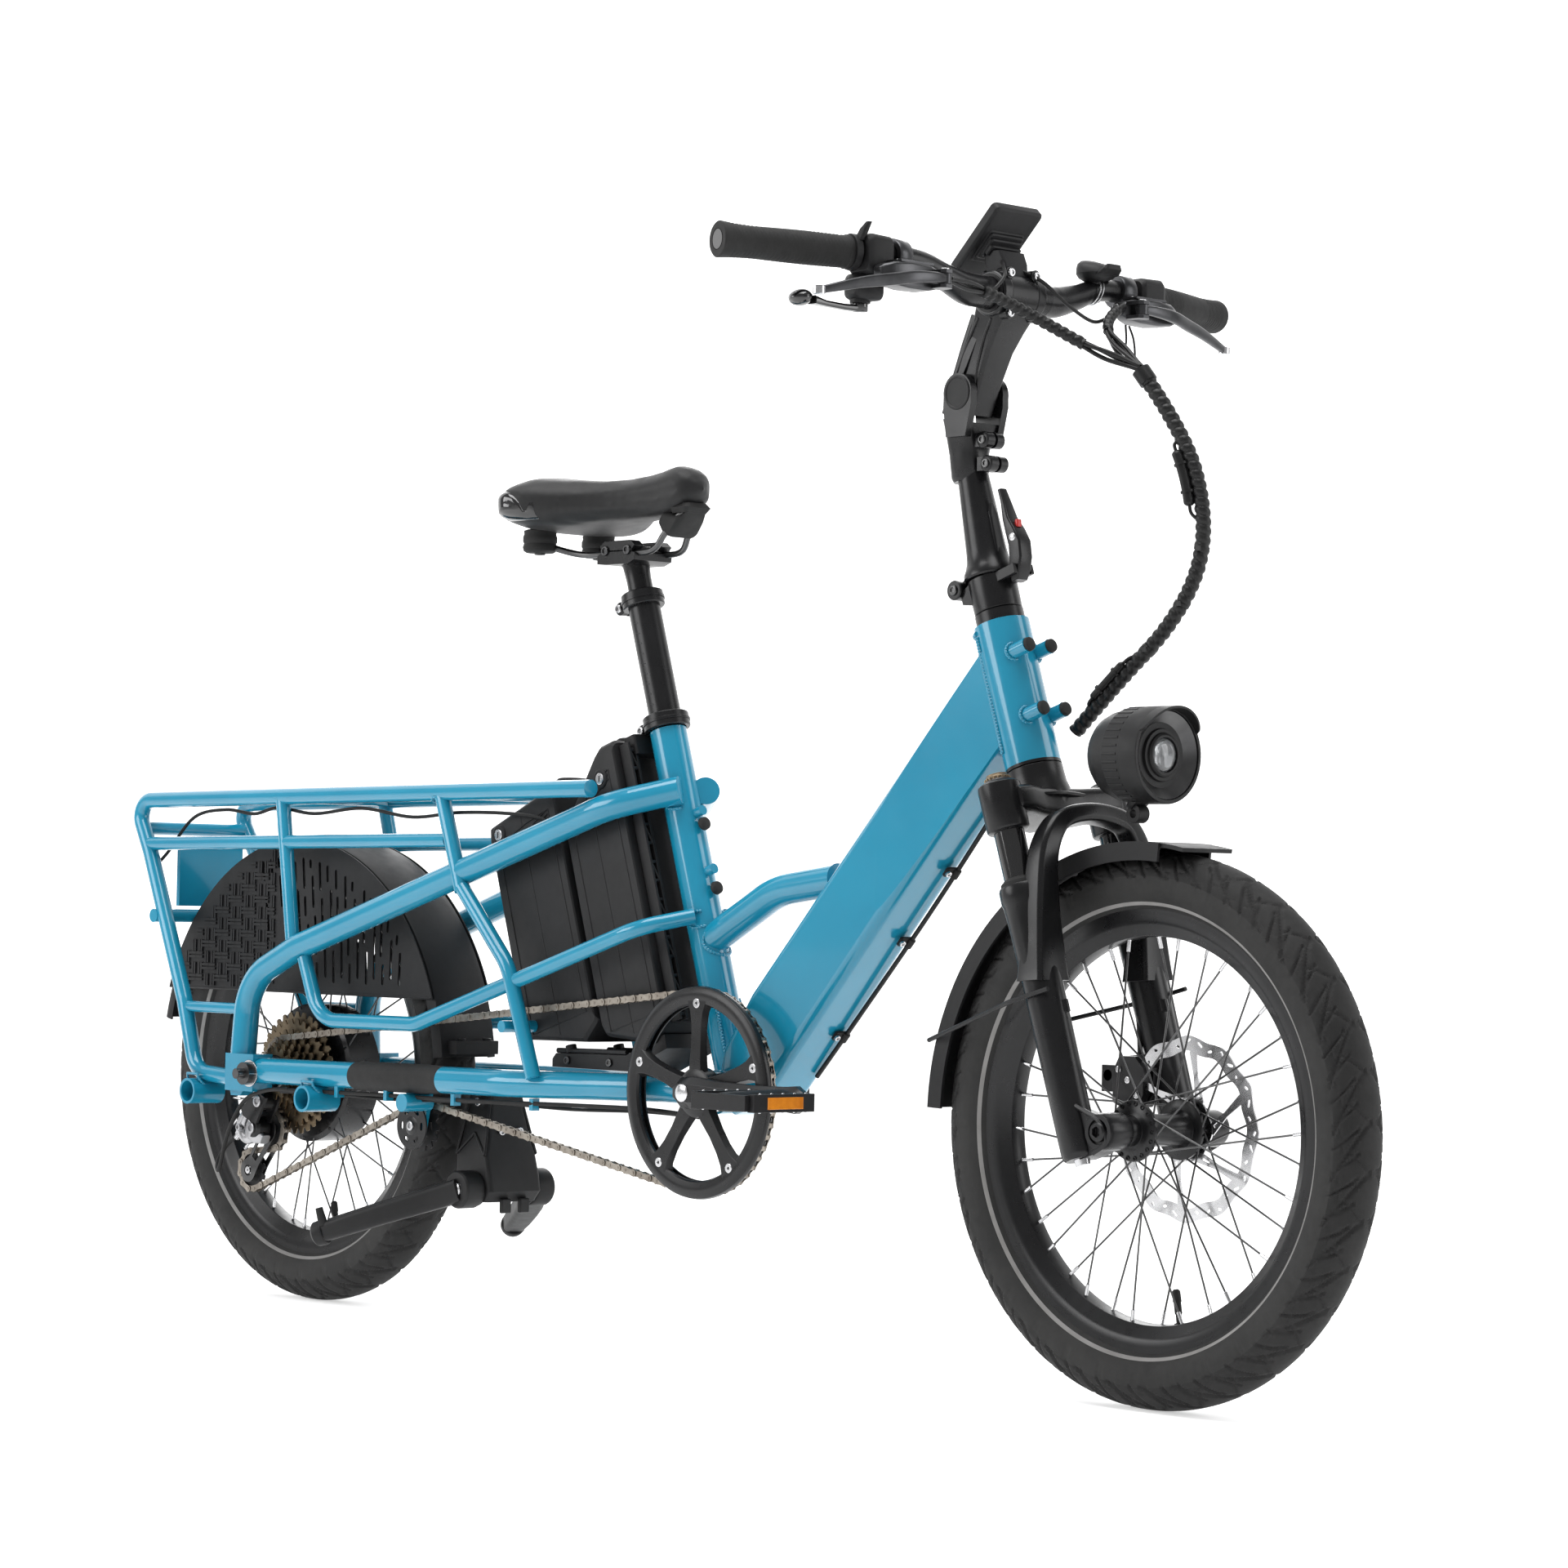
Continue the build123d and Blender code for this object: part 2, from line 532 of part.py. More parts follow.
def chain_loop(offset):
    """Closed outline of the chain's centre line, moved outwards by an offset."""
    rounds = [(Vector(*c), turn * pitch_radius(teeth) - offset) for c, teeth, turn in WHEELS]
    contacts = []
    for (c1, s1), (c2, s2) in zip(rounds, rounds[1:] + rounds[:1]):
        d = c2 - c1
        phi = math.atan2(d.Y, d.X) + math.asin((s1 - s2) / d.length)
        right = Vector(math.sin(phi), -math.cos(phi))
        contacts.append((c1 + right * s1, c2 + right * s2))
    edges = []
    for n, (c, s) in enumerate(rounds):
        arrive, leave = contacts[n - 1][1], contacts[n][0]
        edges.append(Line(contacts[n - 1][0], arrive))
        a0 = math.atan2((arrive - c).Y, (arrive - c).X)
        a1 = math.atan2((leave - c).Y, (leave - c).X)
        sweep_angle = (a1 - a0) % (2 * math.pi) if s > 0 else -((a0 - a1) % (2 * math.pi))
        mid = a0 + sweep_angle / 2
        edges.append(ThreePointArc(arrive, c + Vector(math.cos(mid), math.sin(mid)) * abs(s), leave))
    return make_face(Curve() + edges)


LINK_H, LINK_IN, LINK_T = 4.0, 2.2, 1.1
band = chain_loop(LINK_H) - chain_loop(-LINK_H)
chain_bands = []
for y in (CHAIN_Y - LINK_IN - LINK_T, CHAIN_Y + LINK_IN):
    side_plane = Plane(origin=(0, y + LINK_T, 0), x_dir=(1, 0, 0), z_dir=(0, -1, 0))
    chain_bands.append(extrude(side_plane * band, amount=LINK_T))
save("chain", group(*chain_bands))


def pulley(centre, teeth, boss_r, boss_w, bore):
    """Toothed pulley with a boss."""
    x, z = centre
    body = across(x, z, CHAIN_Y - 0.9, CHAIN_Y + 0.9, 2 * pitch_radius(teeth) + 4)
    body += across(x, z, CHAIN_Y - boss_w / 2, CHAIN_Y + boss_w / 2, 2 * boss_r)
    return body - across(x, z, CHAIN_Y - 20, CHAIN_Y + 20, bore + 2 * RUN)


PIN_D = 5.0
save("idler_pulley", pulley(IDLER_C, IDLER_TEETH, 9, 10, 8))
save("guide_pulley", pulley(GUIDE_C, JOCKEY_TEETH, 5, 9, PIN_D))
save("tension_pulley", pulley(TENSION_C, JOCKEY_TEETH, 5, 9, PIN_D))
ix, iz = IDLER_C
bracket_outline = [(ix - 20, 262), (ix + 26, 262), (ix + 12, iz - 12), (ix - 12, iz - 12)]
idler_bracket = slab(bracket_outline, CHAIN_Y - 11, CHAIN_Y - 6)
idler_bracket += across(ix, iz, CHAIN_Y - 14, CHAIN_Y + 7, 8)
idler_bracket += across(ix + 18, 244, -100, CHAIN_Y - 8, 20)
save("idler_bracket", largest(idler_bracket - cs))

CAGE_Y, CAGE_T = 6.0, 1.8
gx, gz = GUIDE_C
tx, tz = TENSION_C
cage = []
for y0 in (CHAIN_Y - CAGE_Y - CAGE_T, CHAIN_Y + CAGE_Y):
    y1 = y0 + CAGE_T
    plate = across(gx, gz, y0, y1, 34) + across(tx, tz, y0, y1, 34)
    n = Vector(-(tz - gz), tx - gx).normalized() * 11
    web = [(gx + n.X, gz + n.Y), (tx + n.X, tz + n.Y), (tx - n.X, tz - n.Y), (gx - n.X, gz - n.Y)]
    cage.append(plate + slab(web, y0, y1))
cage_body = cage[0] + cage[1] + across(gx, gz, CHAIN_Y - CAGE_Y - 1, CHAIN_Y + CAGE_Y + 1, PIN_D)
cage_body += across(tx, tz, CHAIN_Y - CAGE_Y - 1, CHAIN_Y + CAGE_Y + 1, PIN_D)
save("derailleur_cage", cage_body)
DERAILLEUR_Y = CHAIN_Y - CAGE_Y - CAGE_T - GAP
mech_outline = [(-50, 236), (-28, 240), (0, 206), (-14, 180), (-46, 186), (-62, 214)]
mech = slab(mech_outline, DERAILLEUR_Y - 22, DERAILLEUR_Y)
mech = fillet(mech.edges().filter_by(Axis.Y), 7)
save("rear_derailleur", mech)
hanger = slab([(-48, 250), (-14, 250), (-26, 238), (-44, 238)], -DROPOUT_Y - 8, -DROPOUT_Y + 8)
save("dropouts", group(largest(drop + (hanger - mech)), mirrored(drop)))

# ---------------------------------------------------------------- crankset
SPINDLE_D = 24.0
cup = tube_across(BB_X, BB_Z, -46, -20, BB_BORE, SPINDLE_D + 2 * RUN)
cup += tube_across(BB_X, BB_Z, -46, -BB_SHELL_W / 2, BEARING_CUP_D, SPINDLE_D + 2 * RUN)
save("bottom_bracket_bearings", both(cup))
BB_AXLE = (BB_X, 0.0, BB_Z)
RING_T, RING_BORE_R = 1.8, 90.0
ring_y0, ring_y1 = CHAIN_Y - RING_T / 2, CHAIN_Y + RING_T / 2
ring_r = pitch_radius(RING_TEETH) + 2
ring_outline = [(ring_y0, RING_BORE_R), (ring_y0, ring_r), (ring_y1, ring_r), (ring_y1, RING_BORE_R)]
save("chainring", revolve_about(BB_AXLE, ring_outline))
GUARD_Y0, GUARD_Y1, GUARD_R = -66.0, CHAIN_Y - 4.0, 110.5
SPIDER_ARMS, SPIDER_Y, SPIDER_W = 5, -62.0, 19.0
guard_outline = [(GUARD_Y0, 97), (GUARD_Y0 + 2, GUARD_R), (GUARD_Y1, GUARD_R), (GUARD_Y1, 91)]
guard = revolve_about(BB_AXLE, guard_outline)
guard += tube_across(BB_X, BB_Z, GUARD_Y0 - 2, GUARD_Y1 + 8, 52, SPINDLE_D)
for n in range(SPIDER_ARMS):
    angle = 360 / SPIDER_ARMS * n + 18
    guard += oblong(seg(angle, 24, BB_AXLE, SPIDER_Y), seg(angle, 96, BB_AXLE, SPIDER_Y), SPIDER_W, 8)
    ring_bolt_y = CHAIN_Y - RING_T / 2 - 0.05
    guard += rod(seg(angle, 94, BB_AXLE, SPIDER_Y), seg(angle, 94, BB_AXLE, ring_bolt_y), 10)
save("chainring_guard", largest(guard))
ARM_Y0, ARM_Y1 = 70.0, 84.0


def crank_arm(side, direction):
    """Tapered crank arm with its boss and pedal eye."""
    y0, y1 = side * ARM_Y0, side * ARM_Y1
    end = BB_X + direction * CRANK_LEN
    arm = slab([(BB_X, BB_Z + 17), (end, BB_Z + 13), (end, BB_Z - 13), (BB_X, BB_Z - 17)], y0, y1)
    arm += across(BB_X, BB_Z, y0, y1, 40) + across(end, BB_Z, y0, y1, 28)
    return arm - across(end, BB_Z, y0 - side, y1 + side, 14)


right_crank = crank_arm(-1, 1) + across(BB_X, BB_Z, -ARM_Y1, 47, SPINDLE_D)
right_crank = right_crank + across(BB_X, BB_Z, -47, 68, SPINDLE_D)
save("right_crank", largest(right_crank - parts["chainring_guard"]))
left_crank = crank_arm(1, -1) + across(BB_X, BB_Z, 68.1, ARM_Y1, 30)
save("left_crank", left_crank)
PEDAL_W, PEDAL_L, PEDAL_T = 92.0, 96.0, 20.0


def pedal(side, x):
    """Flat platform pedal with its spindle bore and open windows."""
    y0, y1 = side * (ARM_Y1 + 6), side * (ARM_Y1 + 6 + PEDAL_W)
    low = (x - PEDAL_L / 2, min(y0, y1), BB_Z - PEDAL_T / 2)
    high = (x + PEDAL_L / 2, max(y0, y1), BB_Z + PEDAL_T / 2)
    body = box_between(low, high, 3)
    for s in (-1, 1):
        xa, xb = sorted((x + s * 13, x + s * (PEDAL_L / 2 - 9)))
        body -= box_between((xa, low[1] + 11, 200), (xb, high[1] - 11, 350))
    body -= across(x, BB_Z, y0 - side, y1 - side * 6, 9 + 2 * RUN)
    return body


def pedal_spindle(side, x):
    """Pedal spindle screwed into the crank eye."""
    thread = across(x, BB_Z, side * ARM_Y0, side * ARM_Y1, 14)
    return thread + across(x, BB_Z, side * ARM_Y0, side * (ARM_Y1 + PEDAL_W - 2), 9)


save("right_pedal", pedal(-1, BB_X + CRANK_LEN))
save("left_pedal", pedal(1, BB_X - CRANK_LEN))
save("pedal_spindles", group(pedal_spindle(-1, BB_X + CRANK_LEN), pedal_spindle(1, BB_X - CRANK_LEN)))

# ---------------------------------------------------------------- kickstand
STAND_X, STAND_Z = 332.0, 150.0
STAND_HALF = 44.0
stand_outline = [(338, 262), (404, 262), (412, 180), (398, 136), (352, 132), (322, 140), (318, 164)]
stand_body = slab(stand_outline, -STAND_HALF, STAND_HALF)
stand_body = fillet(stand_body.edges().filter_by(Axis.Y), 8)
stand_body -= across(STAND_X, STAND_Z, -60, 60, 18 + 2 * RUN)
stand_cross = across(372, 268, -76, 76, 24)
stand_body = largest(stand_body + stand_cross - parts["chainstays"])
save("kickstand_bracket", stand_body)
LEG_TIP = (184.0, 140.0, 94.0)
LEG_HEEL_Y = STAND_HALF + 10
leg = rod((STAND_X, LEG_HEEL_Y, STAND_Z), LEG_TIP, 34, 26)
leg += across(STAND_X, STAND_Z, STAND_HALF + GAP, STAND_HALF + 20, 42)
foot_top, foot_end = Vector(*LEG_TIP) + Vector(8, -2, 24), Vector(*LEG_TIP) + Vector(-12, 2, -18)
leg = largest(leg + rod(foot_top, foot_end, 18) - box_between((0, 0, 0), (600, STAND_HALF + GAP, 400)))
stand_legs = leg + across(STAND_X, STAND_Z, -STAND_HALF - 18, STAND_HALF + 18, 18) + mirrored(leg)
save("kickstand_legs", stand_legs)

# ---------------------------------------------------------------- rear fender
FEND_R0, FEND_R1, FEND_HALF, FEND_LIP = 271.0, 274.0, 38.0, 258.0
rear_fender = arc_band(REAR_AXLE, FEND_R0, FEND_R1, 6, 168, -FEND_HALF, FEND_HALF)
for side in (-1, 1):
    lip = arc_band(REAR_AXLE, FEND_LIP, FEND_R1, 6, 168, side * FEND_HALF, side * (FEND_HALF + 2.5))
    rear_fender += lip
rear_fender += slab([(268, 298), (292, 298), (292, 312), (268, 312)], -30, 30)
save("rear_fender", largest(rear_fender))
SKIRT_Y, SKIRT_T, SKIRT_Z = FEND_HALF + 2.7, 2.0, 358.0
skirt = across(0, WHEEL_R, -SKIRT_Y - SKIRT_T, -SKIRT_Y, 2 * FEND_R1)
skirt -= box_between((-400, -100, -50), (400, 100, SKIRT_Z))
save("wheel_skirts", both(skirt))

# ---------------------------------------------------------------- seat post and saddle
LOWER_WALL_D = UPPER_POST_D + 2 * RUN
lower_foot_z = 500.0
cosine = math.cos(math.radians(SEAT_TILT))
lower_post = seat_bar(lower_foot_z, (LOWER_POST_TOP_Z - lower_foot_z) / cosine, LOWER_POST_D)
lower_post -= seat_bar(lower_foot_z - 5, 400, LOWER_WALL_D)
save("lower_seatpost", lower_post)
mid_clamp = seat_bar(790, 16, 46) - seat_bar(780, 40, LOWER_POST_D)
mid_clamp += box_between((576, -9, 788), (604, 9, 802)) - seat_bar(760, 80, 45)
save("seatpost_clamp", largest(mid_clamp))
upper_foot_z = 640.0
upper_post = seat_bar(upper_foot_z, (UPPER_POST_TOP_Z - upper_foot_z) / cosine, UPPER_POST_D)
save("upper_seatpost", upper_post)
sx, sz = seat_point(UPPER_POST_TOP_Z).X, UPPER_POST_TOP_Z
head_block = slab([(sx - 32, sz - 6), (sx + 28, sz - 6), (sx + 30, sz + 20), (sx - 26, sz + 20)], -27, 27)
head_block = fillet(head_block.edges().filter_by(Axis.Y), 6)
RAIL_Y, RAIL_ROD = 20.0, 7.0
rail_path = [(428, -40, 862), (476, -RAIL_Y, sz + 7), (590, -RAIL_Y, sz + 7), (622, -14, 886)]
saddle_rail = bent(rail_path, RAIL_ROD, 30)
bumper = extrude(Pos(428, -42, 852) * Circle(19), amount=24)
bumper = fillet(bumper.edges(), 6)
head_block = largest(head_block - upper_post - saddle_rail - mirrored(saddle_rail))
save("saddle_clamp", head_block)
save("saddle_rails", both(largest(saddle_rail - bumper)))
save("saddle_bumpers", both(bumper))
plan_half = [(652, 0), (650, 16), (628, 27), (570, 38), (510, 66)]
plan_half += [(455, 100), (420, 104), (402, 78), (398, 0)]
plan_pts = plan_half + [(x, -y) for x, y in reversed(plan_half[1:-1])]
plan_face = make_face(Spline(*[(x, y, 800) for x, y in plan_pts], periodic=True))
saddle_side = [(398, 880), (402, 922), (425, 931), (500, 925), (560, 926), (620, 938), (645, 930), (654, 912)]
saddle_side += [(640, 897), (600, 884), (540, 880), (470, 876), (430, 877)]
saddle = extrude(plan_face, amount=200) & slab(saddle_side, -130, 130)
saddle = largest(saddle - saddle_rail - mirrored(saddle_rail) - bumper - mirrored(bumper))
save("saddle", saddle)

# ---------------------------------------------------------------- fork
CROWN_S0, CROWN_S1 = -62.0, -30.0
CROWN_NECK_R, CROWN_LEG_R = 33.0, 22.0
crown_discs = [Circle(CROWN_NECK_R)]
for side in (-1, 1):
    crown_discs.append(Pos(LEG_OFFSET, side * LEG_Y) * Circle(CROWN_LEG_R))
crown_edges = [edge for disc in crown_discs for edge in disc.edges()]
crown = extrude(steer_plane(CROWN_S0) * make_hull(crown_edges), amount=CROWN_S1 - CROWN_S0)
neck_foot, neck_top = steer_disc(CROWN_S1, 2 * CROWN_NECK_R), steer_disc(-CUP_LIP - 0.5, HEAD_D)
crown += loft([neck_foot.face(), neck_top.face()])
LEG_BOSS_S0, LEG_BOSS_D = -76.0, 42.0
for side in (-1, 1):
    crown += steer_bar(LEG_BOSS_S0, CROWN_S1 + 3, LEG_BOSS_D, LEG_OFFSET, side * LEG_Y)
COLUMN_TOP_S = 192.0
steerer = steer_bar(CROWN_S0 + 5, COLUMN_TOP_S, STEERER_D)
STANCHION_TOP_S, STANCHION_END_S = CROWN_S1 - 4, -300.0
stanchions = []
for side in (-1, 1):
    stanchion = steer_bar(STANCHION_END_S, STANCHION_TOP_S, STANCHION_D, LEG_OFFSET, side * LEG_Y)
    stanchions.append(stanchion)
crown = largest(crown - steerer - stanchions[0] - stanchions[1])
save("fork_crown", crown)
save("steerer_tube", steerer)
save("fork_stanchions", group(*stanchions))

LOWER_TOP_S, LOWER_END_S = -130.0, -402.0
AXLE_BOSS_Y0, AXLE_BOSS_Y1, AXLE_BOSS_D = 52.0, 84.0, 36.0
lowers = None
for side in (-1, 1):
    y = side * LEG_Y
    top = steer_disc(LOWER_TOP_S, LOWER_D, LEG_OFFSET, y).face()
    end = steer_disc(LOWER_END_S, LOWER_D - 4, LEG_OFFSET, y).face()
    tube = loft([end, top])
    gusset = [steer(-352, LEG_OFFSET), steer(-368, 58), steer(-398, 58), steer(LOWER_END_S, LEG_OFFSET)]
    tube += slab([(v.X, v.Z) for v in gusset], side * (AXLE_BOSS_Y0 + 3), side * (AXLE_BOSS_Y1 - 2))
    tube += across(WHEELBASE, WHEEL_R, side * AXLE_BOSS_Y0, side * AXLE_BOSS_Y1, AXLE_BOSS_D)
    bore_foot = STANCHION_END_S - FORK_TRAVEL - 8
    tube -= steer_bar(bore_foot, LOWER_TOP_S + 40, STANCHION_D + 2 * RUN, LEG_OFFSET, y)
    tube -= across(WHEELBASE, WHEEL_R, -100, 100, FRONT_AXLE_D)
    lowers = tube if lowers is None else lowers + tube
arch_pts = [(-190, LEG_OFFSET + 10, -LEG_Y), (-118, ARCH_OFFSET - 12, -68), (-68, ARCH_OFFSET, -44)]
arch_pts += [(s, f, -y) for s, f, y in reversed(arch_pts)]
arch = bent([steer(s, f, y) for s, f, y in arch_pts], 20, 60)
for side in (-1, 1):
    arch -= steer_bar(-420, -20, STANCHION_D + 6, LEG_OFFSET, side * LEG_Y)
lowers = largest(lowers + largest(arch))
save("fork_lowers", lowers)

FF0, FF1 = 270.0, 274.0
front_fender = arc_band(FRONT_AXLE, FF0, FF1, 78, 178, -35, 35)
for side in (-1, 1):
    front_fender += arc_band(FRONT_AXLE, 256, FF1, 84, 178, side * 35, side * 38)
save("front_fender", largest(front_fender - lowers))
stay_wire = bent([(1046, -40, 341), (1210, -95, 384), (1262, -97, 398)], 4.5, 20)
stay_cross = both(largest(stay_wire - front_fender - lowers))
save("front_fender_stays", stay_cross)
caliper = box_between((1222, 36.5, 284), (1264, 60, 330))
caliper = fillet(caliper.edges().filter_by(Axis.Y), 6)
caliper -= across(WHEELBASE, WHEEL_R, ROTOR_Y - 1, ROTOR_Y + 3, 2 * ROTOR_R + 4)
save("front_brake_caliper", largest(caliper - lowers))

# ---------------------------------------------------------------- steering column and mast
COLLAR_S0, COLLAR_S1 = HEAD_LEN + UPPER_CUP + 0.5, 197.0
HINGE_F = -31.0
COLLAR_D = 48.0
PIN_S = COLLAR_S1 - 2.0
hinge_at = steer(PIN_S, HINGE_F)
collar_ring = steer_bar(COLLAR_S0, COLLAR_S1, COLLAR_D)
collar_ring += steer_plane(COLLAR_S1 - 11, HINGE_F + 8) * Box(28, 40, 22)
collar_ring += across(hinge_at.X, hinge_at.Z, -24, 24, 20)
collar_ring -= across(hinge_at.X, hinge_at.Z, -13.4, 13.4, 25)
LATCH_F, LATCH_S, LATCH_HALF = 39.0, COLLAR_S1 - 4, 9.0
LATCH_PIN_D, LATCH_EAR_Y = 5.0, 14.0
ear_outline = [steer(LATCH_S - 7, 18), steer(LATCH_S - 7, LATCH_F + 6), steer(LATCH_S + 3.5, LATCH_F + 6)]
ear_outline.append(steer(LATCH_S + 3.5, 18))
latch_axis = steer(LATCH_S, LATCH_F)
for side in (-1, 1):
    ear_points = [(v.X, v.Z) for v in ear_outline]
    collar_ring += slab(ear_points, side * (LATCH_HALF + GAP), side * LATCH_EAR_Y)
collar_ring += across(latch_axis.X, latch_axis.Z, -LATCH_EAR_Y, LATCH_EAR_Y, LATCH_PIN_D)
collar_ring -= steer_bar(COLLAR_S0 - 1, COLLAR_S0 + 59, STEERER_D)
collar_ring -= steer_plane(COLLAR_S1 + 6.0) * Pos(12, 0) * Box(60, 60, 12)
save("steering_collar", largest(collar_ring))

MAST_FOOT = steer(COLLAR_S1 + 0.6)
mt = math.radians(MAST_TILT)
MAST_TOP_Z = 952.0


def mast_point(z):
    """Point on the mast axis at a height."""
    return Vector(MAST_FOOT.X - (z - MAST_FOOT.Z) * math.tan(mt), 0, z)


mast = loft([steer_disc(COLLAR_S1 + 0.6, COLLAR_D).face(), steer_disc(COLLAR_S1 + 18, 44).face()])
m0, m1, m2 = steer(COLLAR_S1 + 17), mast_point(906), mast_point(MAST_TOP_Z)
mast += rod(m0, m1, 43, 28.6)
mast += rod(m1, m2, 28.6)
mast += steer_plane(COLLAR_S1 + 12.5, HINGE_F + 14) * Box(36, 24, 24)
mast += across(hinge_at.X, hinge_at.Z, -13, 13, 20)
mast -= across(hinge_at.X, hinge_at.Z, -30, 30, 8 + 2 * RUN)
mast += steer_plane(COLLAR_S1 + 12, 27) * Box(12, 16, 22)
save("folding_mast", largest(mast))
save("fold_hinge_pin", across(hinge_at.X, hinge_at.Z, -24.5, 24.5, 8))

LATCH_LINE = [(-12, -2, 5, 7), (26, 6, 5, 8), (52, 3, 4, 5), (84, 2, 3, 4)]
latch_points = [(steer(LATCH_S + s, LATCH_F + f), rear, front) for s, f, rear, front in LATCH_LINE]
latch_outline = [(v.X + front, v.Z) for v, rear, front in latch_points]
latch_outline += [(v.X - rear, v.Z) for v, rear, front in reversed(latch_points)]
latch = slab(latch_outline, -LATCH_HALF, LATCH_HALF)
latch += across(latch_axis.X, latch_axis.Z, -LATCH_HALF, LATCH_HALF, 12)
latch -= across(latch_axis.X, latch_axis.Z, -LATCH_HALF - 1, LATCH_HALF + 1, LATCH_PIN_D + 2 * RUN)
save("fold_latch_lever", largest(latch))

base_bottom = mast_point(904)
stem_base = rod(base_bottom, mast_point(948), 42, 40)
YOKE_HALF, STEM_HALF, PIVOT_BOLT_D = 27.0, 18.0, 12.0
yoke = [(PIVOT_X - 24, 930), (PIVOT_X + 14, 930), (PIVOT_X + 18, PIVOT_Z), (PIVOT_X - 18, PIVOT_Z)]
stem_base += slab(yoke, -YOKE_HALF, YOKE_HALF)
stem_base += across(PIVOT_X, PIVOT_Z, -YOKE_HALF, YOKE_HALF, 37)
stem_base -= rod(mast_point(880), mast_point(MAST_TOP_Z), 28.6)
yoke_gap = STEM_HALF + GAP
stem_base -= box_between((PIVOT_X - 60, -yoke_gap, 956), (PIVOT_X + 60, yoke_gap, 1040))
for z in (914, 936):
    c = mast_point(z)
    lug = box_between((c.X + 16, -11, z - 8), (c.X + 34, 11, z + 8))
    stem_base += lug - rod(mast_point(880), mast_point(960), 39)
pivot_bolt = across(PIVOT_X, PIVOT_Z, -YOKE_HALF, YOKE_HALF, PIVOT_BOLT_D)
save("stem_base", largest(stem_base - pivot_bolt))
save("stem_pivot_bolt", pivot_bolt)
stem_outline = [(PIVOT_X - 16, PIVOT_Z - 15), (PIVOT_X + 14, PIVOT_Z - 15)]
stem_outline += [(BAR_X + 17, BAR_Z - 8), (BAR_X - 17, BAR_Z + 8)]
stem = slab(stem_outline, -STEM_HALF, STEM_HALF)
stem += across(BAR_X, BAR_Z, -30, 30, 46)
stem -= across(PIVOT_X, PIVOT_Z, -40, 40, PIVOT_BOLT_D + 2 * RUN)
half_bar = [(BAR_X - 42, GRIP_END_Y, 1100), (BAR_X - 5, 200, 1100)]
half_bar += [(BAR_X + 2, 120, 1102), (BAR_X, 46, BAR_Z)]
bar_path = half_bar + [(x, -y, z) for x, y, z in reversed(half_bar)]
bar = bent(bar_path, BAR_D, 80)
bar += across(BAR_X, BAR_Z, -36, 36, BAR_CLAMP_D)
save("handlebar", bar)
save("stem", largest(stem - across(BAR_X, BAR_Z, -40, 40, BAR_CLAMP_D)))
grip_in = Vector(*half_bar[1]) + (Vector(*half_bar[0]) - Vector(*half_bar[1])) * 0.1
grip_out = Vector(*half_bar[0]) + (Vector(*half_bar[0]) - Vector(*half_bar[1])).normalized() * 5
grip = rod(grip_in, grip_out, 32, 36) - bar
save("grips", both(largest(grip)))

# ---------------------------------------------------------------- headlight and display
LIGHT_X, LIGHT_Z, LIGHT_R = 1290.0, 622.0, 47.0
TILT_X, TILT_Z = 1284.0, 566.0
can_outline = [(-46, 0), (-44, 20), (-34, 36), (-16, 45), (26, LIGHT_R)]
can_outline += [(32, LIGHT_R), (32, 42), (26, 40), (24, 0)]
can_pts = [(LIGHT_X + x, 0, LIGHT_Z + r) for x, r in can_outline]
light_axis = Axis((LIGHT_X, 0, LIGHT_Z), (1, 0, 0))
light = revolve(make_face(Polyline(*can_pts, close=True)), axis=light_axis)
visor_outline = [(30, LIGHT_R), (46, LIGHT_R), (46, LIGHT_R - 3), (30, LIGHT_R - 3)]
visor_pts = [(LIGHT_X + x, 0, LIGHT_Z + r) for x, r in visor_outline]
visor = revolve(make_face(Polyline(*visor_pts, close=True)), axis=light_axis)
visor -= slab([(1300, 560), (1350, 560), (1350, 645), (1318, 560)], -60, 60)
visor -= box_between((1250, -80, 500), (1400, 80, LIGHT_Z))
light += visor
tongue = [(TILT_X - 8, 590), (TILT_X + 8, 590), (TILT_X + 7, TILT_Z - 6), (TILT_X - 7, TILT_Z - 6)]
light += slab(tongue, -7, 7)
light -= across(TILT_X, TILT_Z, -20, 20, 5 + 2 * RUN)
save("headlight", largest(light))
light_arms = None
for side in (-1, 1):
    arm = slab([(1226, 560), (TILT_X + 8, 558), (TILT_X + 8, 574), (1226, 576)], side * (7 + GAP), side * 13)
    light_arms = arm if light_arms is None else light_arms + arm
light_arms += across(TILT_X, TILT_Z, -13, 13, 5)
light_arms += box_between((1226, -13, 560), (1252, 13, 576))
save("headlight_bracket", largest(light_arms - lowers))

DISPLAY_HALF = 33.0
display = slab([(1054, 1103), (1115, 1163), (1106, 1172), (1045, 1112)], -DISPLAY_HALF, DISPLAY_HALF)
display = fillet(display.edges(), 3)
display += slab([(1086, 1098), (1114, 1096), (1112, 1140), (1098, 1150), (1076, 1126)], -17, 17)
for cutter in (parts["stem"], bar, across(BAR_X, BAR_Z, -40, 40, 46)):
    display = largest(display - cutter)
save("display", display)

